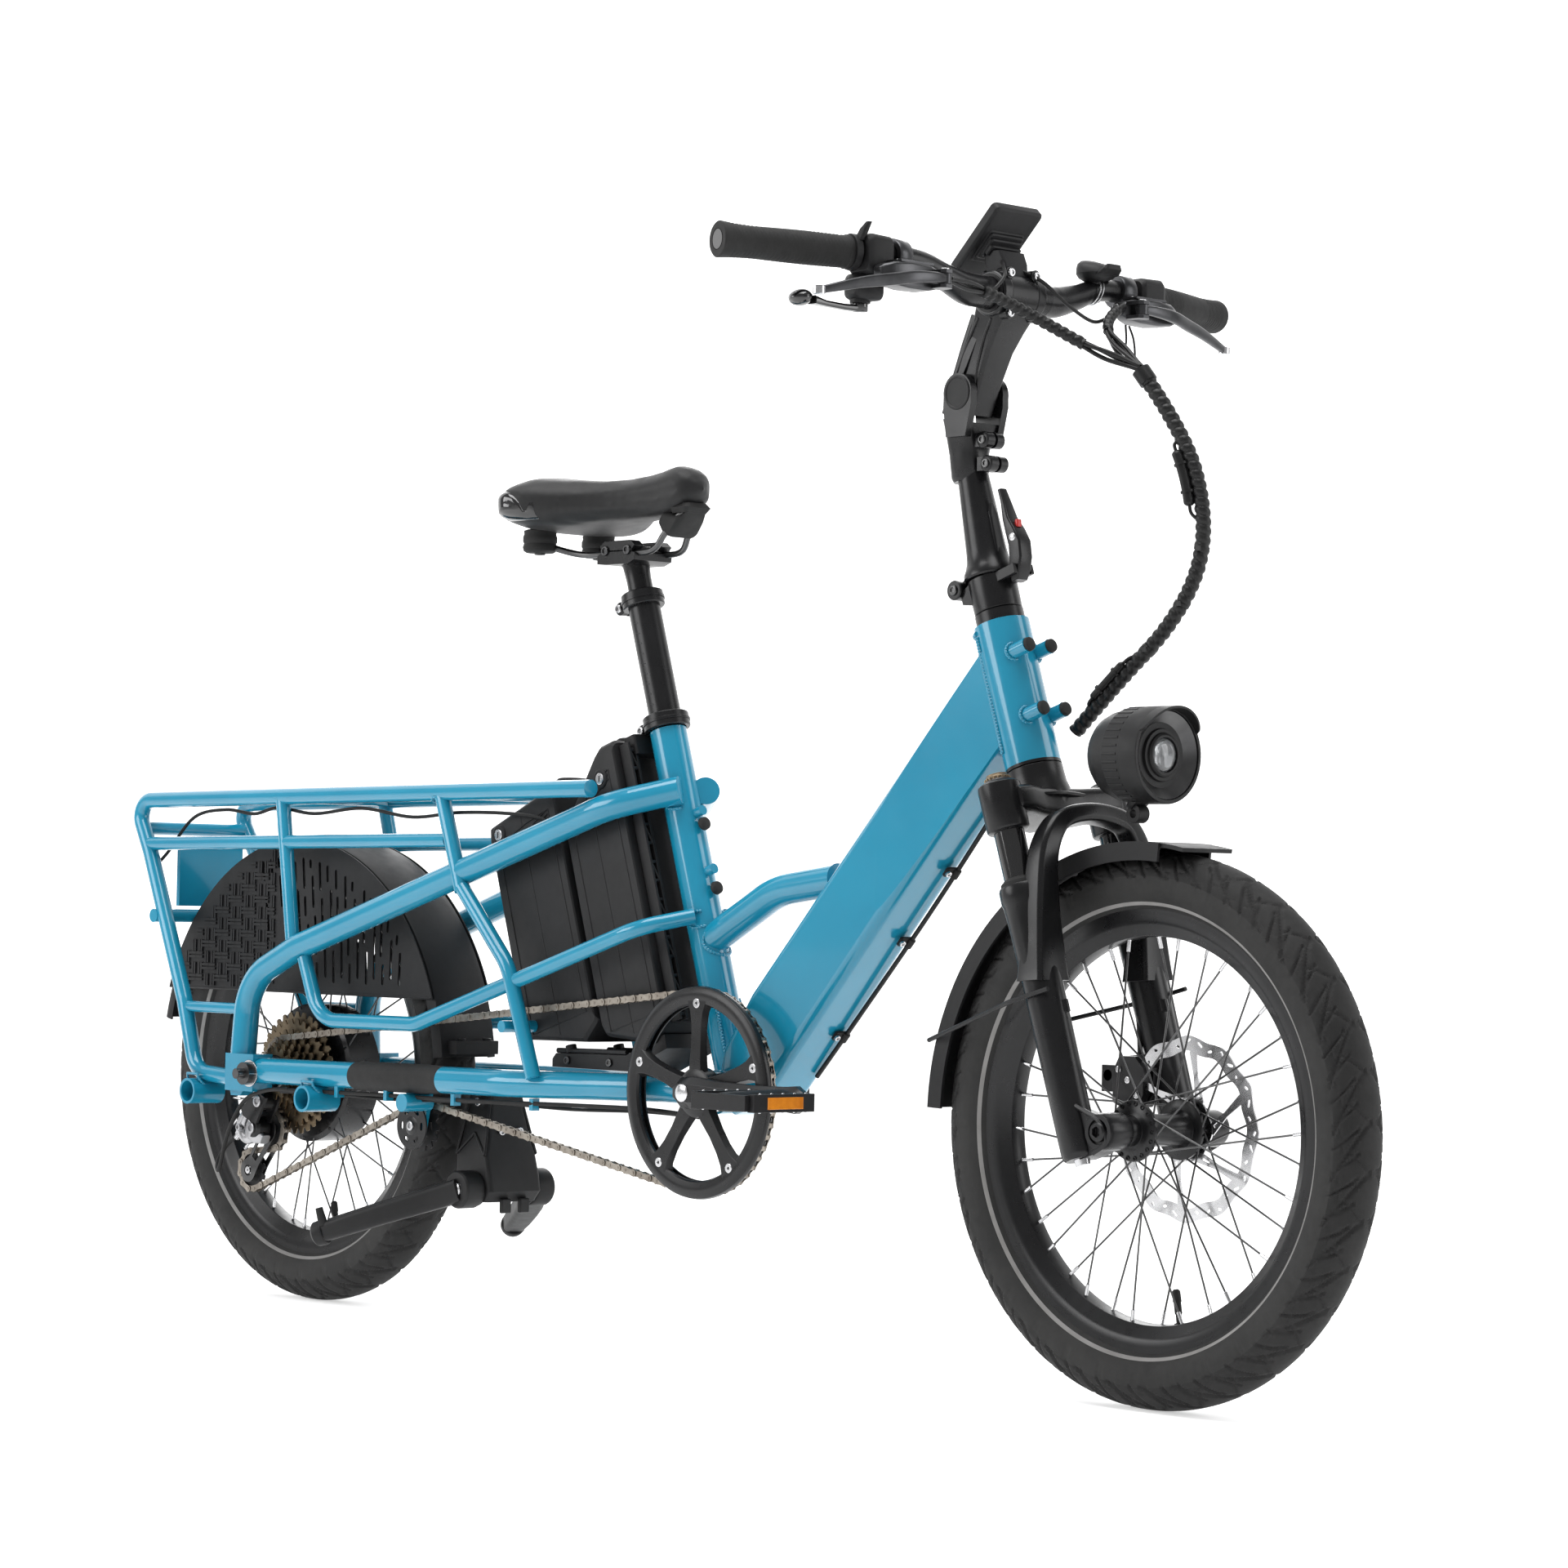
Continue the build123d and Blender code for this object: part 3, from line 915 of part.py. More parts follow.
# ---------------------------------------------------------------- controls on the bar
LEVER_PIVOT = (1149.0, -140.0)
LEVER_Z = 1077.0
PIVOT_PIN_D = 5.0
control_box = box_between((1113, -208, 1064), (1141, -128, 1092), 5)
ring_a, ring_b = (1099.5, -170, 1101), (1100.5, -150, 1101)
control = control_box + rod(ring_a, ring_b, 34) - bar
lug = box_between((1136, -148, LEVER_Z - 9), (1155, -132, LEVER_Z + 9), 2)
lug -= box_between((1140.5, -164, LEVER_Z - 5.4), (1162, -124, LEVER_Z + 5.4))
control += lug - control_box
px, py = LEVER_PIVOT
control += rod((px, py, LEVER_Z - 8), (px, py, LEVER_Z + 8), PIVOT_PIN_D)
control = largest(control)
POD_Z0 = 1054.0
SHIFT_PIVOT = (1092.0, -198.0)
shift_x, shift_y = SHIFT_PIVOT
pod = box_between((1074, -212, POD_Z0), (1111, -178, 1082), 8)
pod += rod((1097, -209, 1100), (1098, -195, 1100), 34)
pod += box_between((1090, -207, 1076), (1104, -195, 1092))
pod = largest(pod - bar - control)
PADDLE_Z0, PADDLE_Z1 = 1042.0, 1053.6
pod += rod((shift_x, shift_y, PADDLE_Z0 - 2), (shift_x, shift_y, POD_Z0 + 2), PIVOT_PIN_D + 1)
BELL_X, BELL_Y = 1108.0, 116.0
bell_outline = [(0, 1112), (20, 1112), (15, 1124), (0, 1129)]
bell_face = make_face(Polyline(*[(BELL_X + r, BELL_Y, z) for r, z in bell_outline], close=True))
bell = revolve(bell_face, axis=Axis((BELL_X, BELL_Y, 0), (0, 0, 1)))
bell += rod((BELL_X, BELL_Y, 1102), (BELL_X, BELL_Y, 1116), 8)
bell += rod((1101, BELL_Y - 6, 1097), (1101.5, BELL_Y + 6, 1099), 32)
bell = largest(bell - bar)
save("handlebar_controls", group(control, mirrored(control), pod, bell))


def lever_blade():
    """Brake blade with its pivot eye and ball end, right side."""
    pts = [(px, py - 4, LEVER_Z), (px + 3, -184, LEVER_Z - 3)]
    pts += [(px - 8, -240, LEVER_Z - 13), (px - 20, -288, LEVER_Z - 25)]
    blade = bent(pts, 9, 60) + rod((px, py, LEVER_Z - 5), (px, py, LEVER_Z + 5), 11)
    blade += Pos(*pts[-1]) * Sphere(6.5)
    blade -= rod((px, py, LEVER_Z - 20), (px, py, LEVER_Z + 20), PIVOT_PIN_D + 2 * RUN)
    return largest(blade)


save("right_brake_lever", lever_blade())
save("left_brake_lever", mirrored(lever_blade()))
ARM_END = -252.0
shift = rod((shift_x, shift_y, PADDLE_Z0 + 2), (shift_x, shift_y, PADDLE_Z1 - 2), 16)
shift += box_between((shift_x - 10, ARM_END, PADDLE_Z0 + 2), (shift_x + 2, shift_y, PADDLE_Z1 - 5))
paddle = box_between((shift_x - 24, ARM_END - 26, PADDLE_Z0), (shift_x, ARM_END, PADDLE_Z1 + 6))
shift += fillet(paddle.edges(), 5)
shift -= rod((shift_x, shift_y, PADDLE_Z0 - 9), (shift_x, shift_y, POD_Z0 + 6), PIVOT_PIN_D + 1 + 2 * RUN)
save("shifter_lever", largest(shift))

# ---------------------------------------------------------------- cables
LOOM_D, BRANCH_D, CABLE_D = 13.0, 9.0, 5.0
NO_LIMIT = 1e6
loom_main = [(1222, 60, 1003), (1267, 75, 940), (1287, 85, 868), (1283, 85, 806)]
loom_main += [(1255, 70, 748), (1210, 52, 700), (1160, 42, 648)]
loom_right = [(1139, -124, 1080), (1128, -62, 1076), (1148, 0, 1050), (1184, 36, 1022), (1224, 58, 1004)]
loom_left = [(1139, 124, 1080), (1144, 92, 1066), (1168, 74, 1036), (1222, 62, 1004)]
for label, route in (("main", loom_main), ("right", loom_right), ("left", loom_left)):
    print("loom", label, "radii", [round(r) for r in radii_for(route, NO_LIMIT)])
loom = bent(loom_main, LOOM_D, NO_LIMIT)
loom += bent(loom_right, BRANCH_D, NO_LIMIT)
loom += bent(loom_left, BRANCH_D, NO_LIMIT)
save("control_loom", largest(loom))
UNDER = [(0.95, 3.4), (0.7, 8.0), (0.4, 8.4), (0.08, 4.0)]
under_cable = [(790 + 340 * t + 0.74 * d, 20, 266 + 374 * t - 0.673 * d) for t, d in UNDER]
print("frame cable radii", [round(r) for r in radii_for(under_cable, NO_LIMIT)])
save("frame_cable", bent(under_cable, CABLE_D, NO_LIMIT))

# ---------------------------------------------------------------- welded and bolted groups share a node
MERGED = {
    "down_tube": ("down_tube", "cross_tube"),
    "seat_tube": ("seat_tube", "bottom_bracket_shell"),
    "chainstays": ("chainstays", "idler_bracket"),
    "dropouts": ("dropouts", "peg_sockets"),
    "rack_side_frames": ("right_rack_rail", "left_rack_rail", "rack_side_rails", "rack_posts"),
    "lower_stays": ("lower_stays", "rack_struts"),
    "rack_cross_tubes": ("rack_cross_tubes", "tail_light_bracket"),
    "battery_cradle": ("battery_cradle", "motor_controller"),
    "right_crank": ("right_crank", "chainring_guard"),
    "rear_fender": ("rear_fender", "wheel_skirts"),
    "lower_seatpost": ("lower_seatpost", "seatpost_clamp"),
    "upper_seatpost": ("upper_seatpost", "saddle_clamp"),
    "saddle_rails": ("saddle_rails", "saddle_bumpers"),
    "fork_crown": ("fork_crown", "steerer_tube", "fork_stanchions", "steering_collar", "fold_hinge_pin"),
    "fork_lowers": ("fork_lowers", "front_axle", "headlight_bracket", "front_brake_caliper"),
    "front_fender": ("front_fender", "front_fender_stays"),
    "folding_mast": ("folding_mast", "stem_base", "stem_pivot_bolt"),
}
spindle_solids = parts.pop("pedal_spindles").solids()
spindle_solids = sorted(spindle_solids, key=lambda s: s.center().Y)
parts["right_crank"] = group(parts["right_crank"], spindle_solids[0])
parts["left_crank"] = group(parts["left_crank"], spindle_solids[-1])
for target, members in MERGED.items():
    parts[target] = group(*[parts.pop(m) for m in members])

for name, shape in parts.items():
    export_step(Pos(-CENTRE_X, 0, 0) * shape, f"parts/{name}.step")
    b = shape.bounding_box()
    print(name, len(shape.solids()), round(shape.volume), [round(v) for v in (*b.min, *b.max)])
print(len(parts), "nodes")
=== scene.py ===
import json
import math

import bmesh
import bpy
import numpy as np
from mathutils import Matrix, Vector
from mathutils.bvhtree import BVHTree
from mathutils.geometry import delaunay_2d_cdt


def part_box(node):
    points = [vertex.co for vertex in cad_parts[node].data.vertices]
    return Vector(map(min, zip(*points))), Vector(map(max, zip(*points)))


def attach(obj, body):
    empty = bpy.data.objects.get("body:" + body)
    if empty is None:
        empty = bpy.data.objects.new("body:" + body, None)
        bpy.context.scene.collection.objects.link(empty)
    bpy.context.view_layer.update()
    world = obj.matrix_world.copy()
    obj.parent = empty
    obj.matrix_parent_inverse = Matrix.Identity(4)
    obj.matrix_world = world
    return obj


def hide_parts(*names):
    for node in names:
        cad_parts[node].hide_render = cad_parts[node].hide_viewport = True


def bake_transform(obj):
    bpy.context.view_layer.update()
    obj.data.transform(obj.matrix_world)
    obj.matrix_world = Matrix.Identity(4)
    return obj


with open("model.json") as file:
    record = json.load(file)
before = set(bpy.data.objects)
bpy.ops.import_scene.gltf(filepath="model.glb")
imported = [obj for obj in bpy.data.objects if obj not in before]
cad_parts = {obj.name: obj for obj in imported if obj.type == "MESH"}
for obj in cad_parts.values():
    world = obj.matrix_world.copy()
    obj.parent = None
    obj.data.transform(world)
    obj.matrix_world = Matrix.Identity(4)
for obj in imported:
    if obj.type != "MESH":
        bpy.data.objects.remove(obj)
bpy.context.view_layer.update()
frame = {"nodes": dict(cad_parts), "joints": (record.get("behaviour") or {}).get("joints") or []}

# ------------------------------------------------------------------ anchors from the frame
# Points are written in millimetres from the rear axle's foot on the ground (x forward, y left, z up).
_lo, _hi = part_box("rear_tyre")
ORIGIN_X = (_lo.x + _hi.x) / 2
JOINTS = {j["name"]: j for j in frame["joints"]}


def V(x, y, z):
    """Row-frame point in metres from millimetres measured at the rear wheel's contact."""
    return Vector((ORIGIN_X + x / 1000, y / 1000, z / 1000))


def joint_at(name):
    """A joint's position in millimetres from the rear wheel's contact."""
    p = JOINTS[name]["pos_m"]
    return Vector(((p[0] - ORIGIN_X) * 1000, p[1] * 1000, p[2] * 1000))


# ------------------------------------------------------------------ camera and lights
CAM_AZ, CAM_EL, CAM_ROLL = math.radians(47.21), math.radians(-1.55), math.radians(1.14)
CAM_AT = (3.49122, -3.10543, 0.47406)
CAM_LENS, CAM_SENSOR = 100.77, 36.0
STUDIO_FILL = 0.40
back = Vector((math.sin(CAM_AZ) * math.cos(CAM_EL), -math.cos(CAM_AZ) * math.cos(CAM_EL), math.sin(CAM_EL)))
right = Vector((math.cos(CAM_AZ), math.sin(CAM_AZ), 0))
up = back.cross(right)
cam_right = math.cos(CAM_ROLL) * right + math.sin(CAM_ROLL) * up
cam_up = -math.sin(CAM_ROLL) * right + math.cos(CAM_ROLL) * up
cam_data = bpy.data.cameras.new("camera")
cam_data.lens = CAM_LENS
cam_data.sensor_width = CAM_SENSOR
cam_data.clip_end = 100
camera = bpy.data.objects.new("camera", cam_data)
bpy.context.scene.collection.objects.link(camera)
camera.matrix_world = Matrix((
    (cam_right.x, cam_up.x, back.x, CAM_AT[0]),
    (cam_right.y, cam_up.y, back.y, CAM_AT[1]),
    (cam_right.z, cam_up.z, back.z, CAM_AT[2]),
    (0, 0, 0, 1),
))
bpy.context.scene.camera = camera

world = bpy.data.worlds.new("studio")
bpy.context.scene.world = world
world.use_nodes = True
world.node_tree.nodes["Background"].inputs[0].default_value = (1.0, 1.0, 1.0, 1)
world.node_tree.nodes["Background"].inputs[1].default_value = STUDIO_FILL


def area_light(name, at, aim, size, size_y, power):
    """Soft rectangular light aimed at a point."""
    data = bpy.data.lights.new(name, "AREA")
    data.shape = "RECTANGLE"
    data.size, data.size_y, data.energy = size, size_y, power
    o = bpy.data.objects.new(name, data)
    bpy.context.scene.collection.objects.link(o)
    o.location = at
    o.rotation_euler = (Vector(aim) - Vector(at)).to_track_quat("-Z", "Y").to_euler()
    return o


area_light("key_top", (0.3, -0.6, 3.6), (0, 0, 0.4), 3.2, 2.0, 118)
area_light("side_right", (-1.8, -3.2, 1.8), (0, 0, 0.5), 2.4, 1.6, 62)
area_light("front_left", (3.2, 1.8, 1.6), (0.4, 0, 0.5), 1.6, 2.2, 38)
area_light("back_rim", (-2.6, 2.6, 2.4), (0, 0, 0.6), 2.4, 1.6, 42)
bpy.context.scene.view_settings.view_transform = "Standard"

# ------------------------------------------------------------------ materials
MATS = {}


def new_material(name):
    """Empty node material with a Principled shader; returns (material, nodes, links, shader)."""
    m = bpy.data.materials.new(name)
    m.use_nodes = True
    nt = m.node_tree
    return m, nt.nodes, nt.links, nt.nodes["Principled BSDF"]


def coords(nodes, links, scale=(1, 1, 1)):
    """Object coordinates through a mapping node."""
    tc = nodes.new("ShaderNodeTexCoord")
    mp = nodes.new("ShaderNodeMapping")
    mp.inputs["Scale"].default_value = scale
    links.new(tc.outputs["Object"], mp.inputs["Vector"])
    return mp.outputs["Vector"]


def noise(nodes, links, vector, scale, detail=3.0, rough=0.55):
    """Noise texture read at a vector; returns its factor."""
    n = nodes.new("ShaderNodeTexNoise")
    n.inputs["Scale"].default_value = scale
    n.inputs["Detail"].default_value = detail
    n.inputs["Roughness"].default_value = rough
    links.new(vector, n.inputs["Vector"])
    return n.outputs["Fac"]


def ramp(nodes, links, fac, stops):
    """Colour ramp of (position, colour) stops."""
    r = nodes.new("ShaderNodeValToRGB")
    while len(r.color_ramp.elements) < len(stops):
        r.color_ramp.elements.new(0.5)
    for e, (pos, col) in zip(r.color_ramp.elements, stops):
        e.position = pos
        e.color = (*col, 1) if len(col) == 3 else col
    links.new(fac, r.inputs["Fac"])
    return r.outputs["Color"]


def map_range(nodes, links, fac, lo, hi):
    """Spreads a 0 to 1 factor between two values."""
    r = nodes.new("ShaderNodeMapRange")
    r.inputs["To Min"].default_value = lo
    r.inputs["To Max"].default_value = hi
    links.new(fac, r.inputs["Value"])
    return r.outputs["Result"]


def bump(nodes, links, shader, height, distance):
    """Bump from a height field, in metres."""
    b = nodes.new("ShaderNodeBump")
    b.inputs["Distance"].default_value = distance
    links.new(height, b.inputs["Height"])
    links.new(b.outputs["Normal"], shader.inputs["Normal"])


def surface(name, dark, light, rough=(0.3, 0.5), metallic=0.0, vary=9.0, grain=900.0, grain_depth=0.00004,
            coat=0.0, coat_rough=0.05, stretch=(1, 1, 1), specular=0.5, sheen=0.0, detail=4.0):
    """Material whose colour and gloss drift slowly over the surface, with fine grain in its bump."""
    m, nodes, links, sh = new_material(name)
    v = coords(nodes, links, stretch)
    slow = noise(nodes, links, v, vary, detail)
    links.new(ramp(nodes, links, slow, [(0.3, dark), (0.7, light)]), sh.inputs["Base Color"])
    mid = noise(nodes, links, v, vary * 7, 5.0)
    links.new(map_range(nodes, links, mid, rough[0], rough[1]), sh.inputs["Roughness"])
    sh.inputs["Metallic"].default_value = metallic
    sh.inputs["Specular IOR Level"].default_value = specular
    sh.inputs["Coat Weight"].default_value = coat
    sh.inputs["Coat Roughness"].default_value = coat_rough
    sh.inputs["Sheen Weight"].default_value = sheen
    fine = noise(nodes, links, v, grain, 2.0)
    bump(nodes, links, sh, fine, grain_depth)
    MATS[name] = m
    return m


surface("blue_enamel", (0.006, 0.185, 0.300), (0.009, 0.220, 0.345), rough=(0.14, 0.24), vary=5, grain=420,
        grain_depth=0.000012, coat=0.55, coat_rough=0.03, specular=0.35)
surface("black_satin", (0.0045, 0.0045, 0.005), (0.009, 0.009, 0.010), rough=(0.22, 0.36), metallic=0.2,
        vary=12, grain=1600, grain_depth=0.00001, specular=0.38)
surface("black_powder", (0.005, 0.005, 0.0055), (0.010, 0.010, 0.0105), rough=(0.42, 0.6), vary=14,
        grain=1300, grain_depth=0.00003, specular=0.28)
surface("black_plastic", (0.005, 0.005, 0.0055), (0.010, 0.010, 0.011), rough=(0.45, 0.62), vary=11,
        grain=1500, grain_depth=0.00005, specular=0.28)
surface("gloss_black", (0.003, 0.003, 0.0035), (0.006, 0.006, 0.0065), rough=(0.06, 0.14), vary=6,
        grain=300, grain_depth=0.000004, coat=0.6)
surface("rubber", (0.006, 0.006, 0.006), (0.012, 0.012, 0.012), rough=(0.62, 0.82), vary=16, grain=900,
        grain_depth=0.00005, specular=0.35)
surface("tyre_side", (0.010, 0.010, 0.010), (0.020, 0.0195, 0.019), rough=(0.6, 0.8), vary=14, grain=700,
        grain_depth=0.00006, specular=0.35)
surface("tyre_tread", (0.008, 0.008, 0.008), (0.015, 0.0145, 0.0145), rough=(0.6, 0.78), vary=20, grain=800,
        grain_depth=0.00005, specular=0.3)
surface("reflex_grey", (0.16, 0.155, 0.15), (0.23, 0.225, 0.22), rough=(0.35, 0.5), vary=30, grain=2200,
        grain_depth=0.00002)
surface("steel_bright", (0.45, 0.45, 0.46), (0.62, 0.62, 0.63), rough=(0.16, 0.32), metallic=1.0, vary=20,
        grain=1500, grain_depth=0.000008)
surface("steel_dark", (0.06, 0.06, 0.062), (0.11, 0.11, 0.11), rough=(0.25, 0.4), metallic=1.0, vary=20,
        grain=1500, grain_depth=0.000008)
surface("alloy_satin", (0.32, 0.32, 0.33), (0.46, 0.46, 0.47), rough=(0.28, 0.42), metallic=1.0, vary=16,
        grain=1200, grain_depth=0.00001)
surface("cog_bronze", (0.13, 0.10, 0.065), (0.26, 0.20, 0.13), rough=(0.28, 0.45), metallic=1.0, vary=40,
        grain=1500, grain_depth=0.00001)
surface("lever_grey", (0.035, 0.036, 0.038), (0.07, 0.07, 0.074), rough=(0.24, 0.38), metallic=0.85,
        vary=30, grain=1400, grain_depth=0.000008)
surface("chain_brown", (0.19, 0.165, 0.14), (0.34, 0.31, 0.27), rough=(0.3, 0.5), metallic=1.0, vary=60,
        grain=1500, grain_depth=0.00001)
surface("vinyl", (0.006, 0.006, 0.0065), (0.011, 0.011, 0.0115), rough=(0.42, 0.58), vary=10, grain=1400,
        grain_depth=0.00012, sheen=0.05, specular=0.28)
surface("jacket", (0.005, 0.005, 0.0055), (0.010, 0.010, 0.010), rough=(0.32, 0.5), vary=30, grain=1200,
        grain_depth=0.00002, specular=0.28)
surface("amber", (0.55, 0.16, 0.012), (0.75, 0.26, 0.02), rough=(0.12, 0.22), vary=60, grain=500,
        grain_depth=0.00003, coat=0.6)
surface("red_catch", (0.35, 0.012, 0.012), (0.45, 0.02, 0.015), rough=(0.3, 0.4), vary=60, grain=900,
        grain_depth=0.00001)
surface("chrome", (0.72, 0.72, 0.73), (0.82, 0.82, 0.83), rough=(0.05, 0.12), metallic=1.0, vary=8,
        grain=300, grain_depth=0.000004)
surface("lens_glass", (0.80, 0.83, 0.85), (0.88, 0.90, 0.92), rough=(0.01, 0.04), vary=6, grain=200,
        grain_depth=0.000003)
MATS["lens_glass"].node_tree.nodes["Principled BSDF"].inputs["Transmission Weight"].default_value = 0.93
surface("floor_pale", (0.78, 0.78, 0.78), (0.82, 0.82, 0.82), rough=(0.8, 0.9), vary=0.5, grain=30,
        grain_depth=0.0001,
        specular=0.1)
surface("backdrop_pale", (0.78, 0.78, 0.78), (0.80, 0.80, 0.80), rough=(0.8, 0.9), vary=0.3, grain=30,
        specular=0.1)
for pale, glow in (("floor_pale", 0.50), ("backdrop_pale", 0.95)):
    pale_shader = MATS[pale].node_tree.nodes["Principled BSDF"]
    pale_shader.inputs["Emission Color"].default_value = (1, 1, 1, 1)
    pale_shader.inputs["Emission Strength"].default_value = glow


def paint_node(node, material):
    """Gives a CAD node its Blender material."""
    o = frame["nodes"][node]
    o.data.materials.clear()
    o.data.materials.append(MATS[material])
    o.data.shade_smooth()
    o.data.set_sharp_from_angle(angle=math.radians(28))


NODE_LOOKS = {
    "blue_enamel": "head_tube down_tube seat_tube chainstays main_stays rack_side_frames "
                   "lower_stays rack_cross_tubes dropouts",
    "black_satin": "headset seat_clamp front_rim rear_rim front_hub rear_hub_motor "
                   "left_crank right_crank fork_crown folding_mast stem handlebar upper_seatpost "
                   "lower_seatpost fold_latch_lever right_brake_lever left_brake_lever",
    "black_powder": "kickstand_bracket kickstand_legs saddle_rails fork_lowers",
    "black_plastic": "front_battery rear_battery battery_cradle rear_fender front_fender "
                     "idler_pulley guide_pulley tension_pulley "
                     "right_pedal left_pedal handlebar_controls shifter_lever display headlight",
    "tyre_tread": "front_tyre rear_tyre",
    "rubber": "grips",
    "steel_bright": "bottom_bracket_bearings",
    "steel_dark": "front_spokes rear_spokes rear_axle",
    "chain_brown": "chain",
    "cog_bronze": "cassette",
    "alloy_satin": "rear_derailleur derailleur_cage chainring front_brake_rotor",
    "vinyl": "saddle",
    "jacket": "control_loom frame_cable",
}
for look, names in NODE_LOOKS.items():
    for n in names.split():
        paint_node(n, look)

# ------------------------------------------------------------------ mesh tools
X, Y, Z = Vector((1, 0, 0)), Vector((0, 1, 0)), Vector((0, 0, 1))


def frame_of(direction):
    """Two unit vectors square to a direction."""
    d = Vector(direction).normalized()
    side = d.cross(Z if abs(d.z) < 0.9 else X).normalized()
    return side, side.cross(d).normalized()


class Shape:
    """Faces gathered in millimetres, each with a material number."""

    def __init__(self):
        self.v, self.f, self.m = [], [], []

    def add(self, verts, faces, mat=0):
        k = len(self.v)
        self.v += [tuple(p) for p in verts]
        self.f += [tuple(i + k for i in f) for f in faces]
        self.m += [mat] * len(faces)
        return self

    def rings(self, rings, mat=0, close=True, loop=False, caps=True):
        """Joins rings of points; loop joins the last to the first."""
        n = len(rings[0])
        verts = [p for r in rings for p in r]
        faces, count = [], len(rings)
        for i in range(count if loop else count - 1):
            a, b = i * n, ((i + 1) % count) * n
            for j in range(n if close else n - 1):
                k = (j + 1) % n
                faces.append((a + j, a + k, b + k, b + j))
        if caps and not loop and close:
            faces.append(tuple(range(n))[::-1])
            faces.append(tuple((count - 1) * n + j for j in range(n)))
        return self.add(verts, faces, mat)

    def tube(self, points, r, sides=12, mat=0, closed=False, caps=True, squash=None):
        """Round bar along points; r is one radius or one for each point."""
        pts = [Vector(p) for p in points]
        count = len(pts)
        radii = [r] * count if not hasattr(r, "__len__") else list(r)
        tangents = []
        for i in range(count):
            if closed:
                t = pts[(i + 1) % count] - pts[i - 1]
            else:
                t = pts[min(i + 1, count - 1)] - pts[max(i - 1, 0)]
            tangents.append(t.normalized())
        u, w = frame_of(tangents[0])
        rings = []
        for i in range(count):
            if i:
                q = tangents[i - 1].rotation_difference(tangents[i])
                u, w = q @ u, q @ w
            k = squash or (1, 1)
            rings.append([pts[i] + (u * k[0] * math.cos(a) + w * k[1] * math.sin(a)) * radii[i]
                          for a in (2 * math.pi * j / sides for j in range(sides))])
        return self.rings(rings, mat, loop=closed, caps=caps)

    def rod(self, a, b, r, r2=None, sides=20, mat=0):
        return self.tube([a, b], [r, r if r2 is None else r2], sides, mat)

    def lathe(self, at, axis, profile, steps=48, mat=0, closed=True, mats=None):
        """Turns (along, radius) pairs about an axis through at."""
        at, d = Vector(at), Vector(axis).normalized()
        u, w = frame_of(d)
        n = len(profile)
        verts = []
        for i in range(steps):
            a = 2 * math.pi * i / steps
            c = u * math.cos(a) + w * math.sin(a)
            verts += [at + d * p[0] + c * p[1] for p in profile]
        faces, ms = [], []
        for i in range(steps):
            a, b = i * n, ((i + 1) % steps) * n
            for j in range(n if closed else n - 1):
                k = (j + 1) % n
                faces.append((a + j, a + k, b + k, b + j))
                ms.append(mats[j] if mats else mat)
        self.add(verts, faces, mat)
        self.m[-len(faces):] = ms
        return self

    def box(self, low, high, mat=0, turn=None, about=None):
        """Block between corners, turned by a matrix about a point."""
        lo, hi = Vector(low), Vector(high)
        vs = [Vector((x, y, z)) for x in (lo.x, hi.x) for y in (lo.y, hi.y) for z in (lo.z, hi.z)]
        if turn is not None:
            c = Vector(about) if about is not None else (lo + hi) / 2
            vs = [turn @ (p - c) + c for p in vs]
        fs = [(0, 1, 3, 2), (4, 6, 7, 5), (0, 4, 5, 1), (2, 3, 7, 6), (0, 2, 6, 4), (1, 5, 7, 3)]
        return self.add(vs, fs, mat)

    def prism(self, outline, origin, u, w, depth, mat=0):
        """Outline in a plane's (u, w) axes, given depth along u x w from the origin's plane."""
        o, u, w = Vector(origin), Vector(u), Vector(w)
        n = u.cross(w).normalized() * depth
        bottom = [o + u * a + w * b for a, b in outline]
        return self.rings([bottom, [p + n for p in bottom]], mat)

    def plate(self, outer, holes, origin, u, w, depth, mat=0):
        """Flat plate with holes, outlines in the plane's (u, w) axes."""
        loops = [outer, *holes]
        flat, edges = [], []
        for loop in loops:
            k = len(flat)
            flat += [Vector(p) for p in loop]
            edges += [(k + i, k + (i + 1) % len(loop)) for i in range(len(loop))]
        vs, _, tris, _, _, _ = delaunay_2d_cdt(flat, edges, [], 1, 1e-5)
        keep = [t for t in tris if not any(inside(sum((vs[i] for i in t), Vector((0, 0))) / 3, h)
                                           for h in holes)]
        o, u, w = Vector(origin), Vector(u), Vector(w)
        n = u.cross(w).normalized() * depth
        k = len(vs)
        pts = [o + u * p.x + w * p.y for p in vs]
        faces = [tuple(t) for t in keep] + [tuple(i + k for i in reversed(t)) for t in keep]
        seen = {}
        for t in keep:
            for a, b in ((t[0], t[1]), (t[1], t[2]), (t[2], t[0])):
                key = (min(a, b), max(a, b))
                seen[key] = None if key in seen else (a, b)
        faces += [(e[1], e[0], e[0] + k, e[1] + k) for e in seen.values() if e]
        return self.add(pts + [p + n for p in pts], faces, mat)

    def bolt(self, at, direction, r=4.0, h=3.5, mat=0, socket=True):
        """Cap screw head with a hexagon socket, its foot at the point."""
        at, d = Vector(at), Vector(direction).normalized()
        u, w = frame_of(d)
        sides = 24

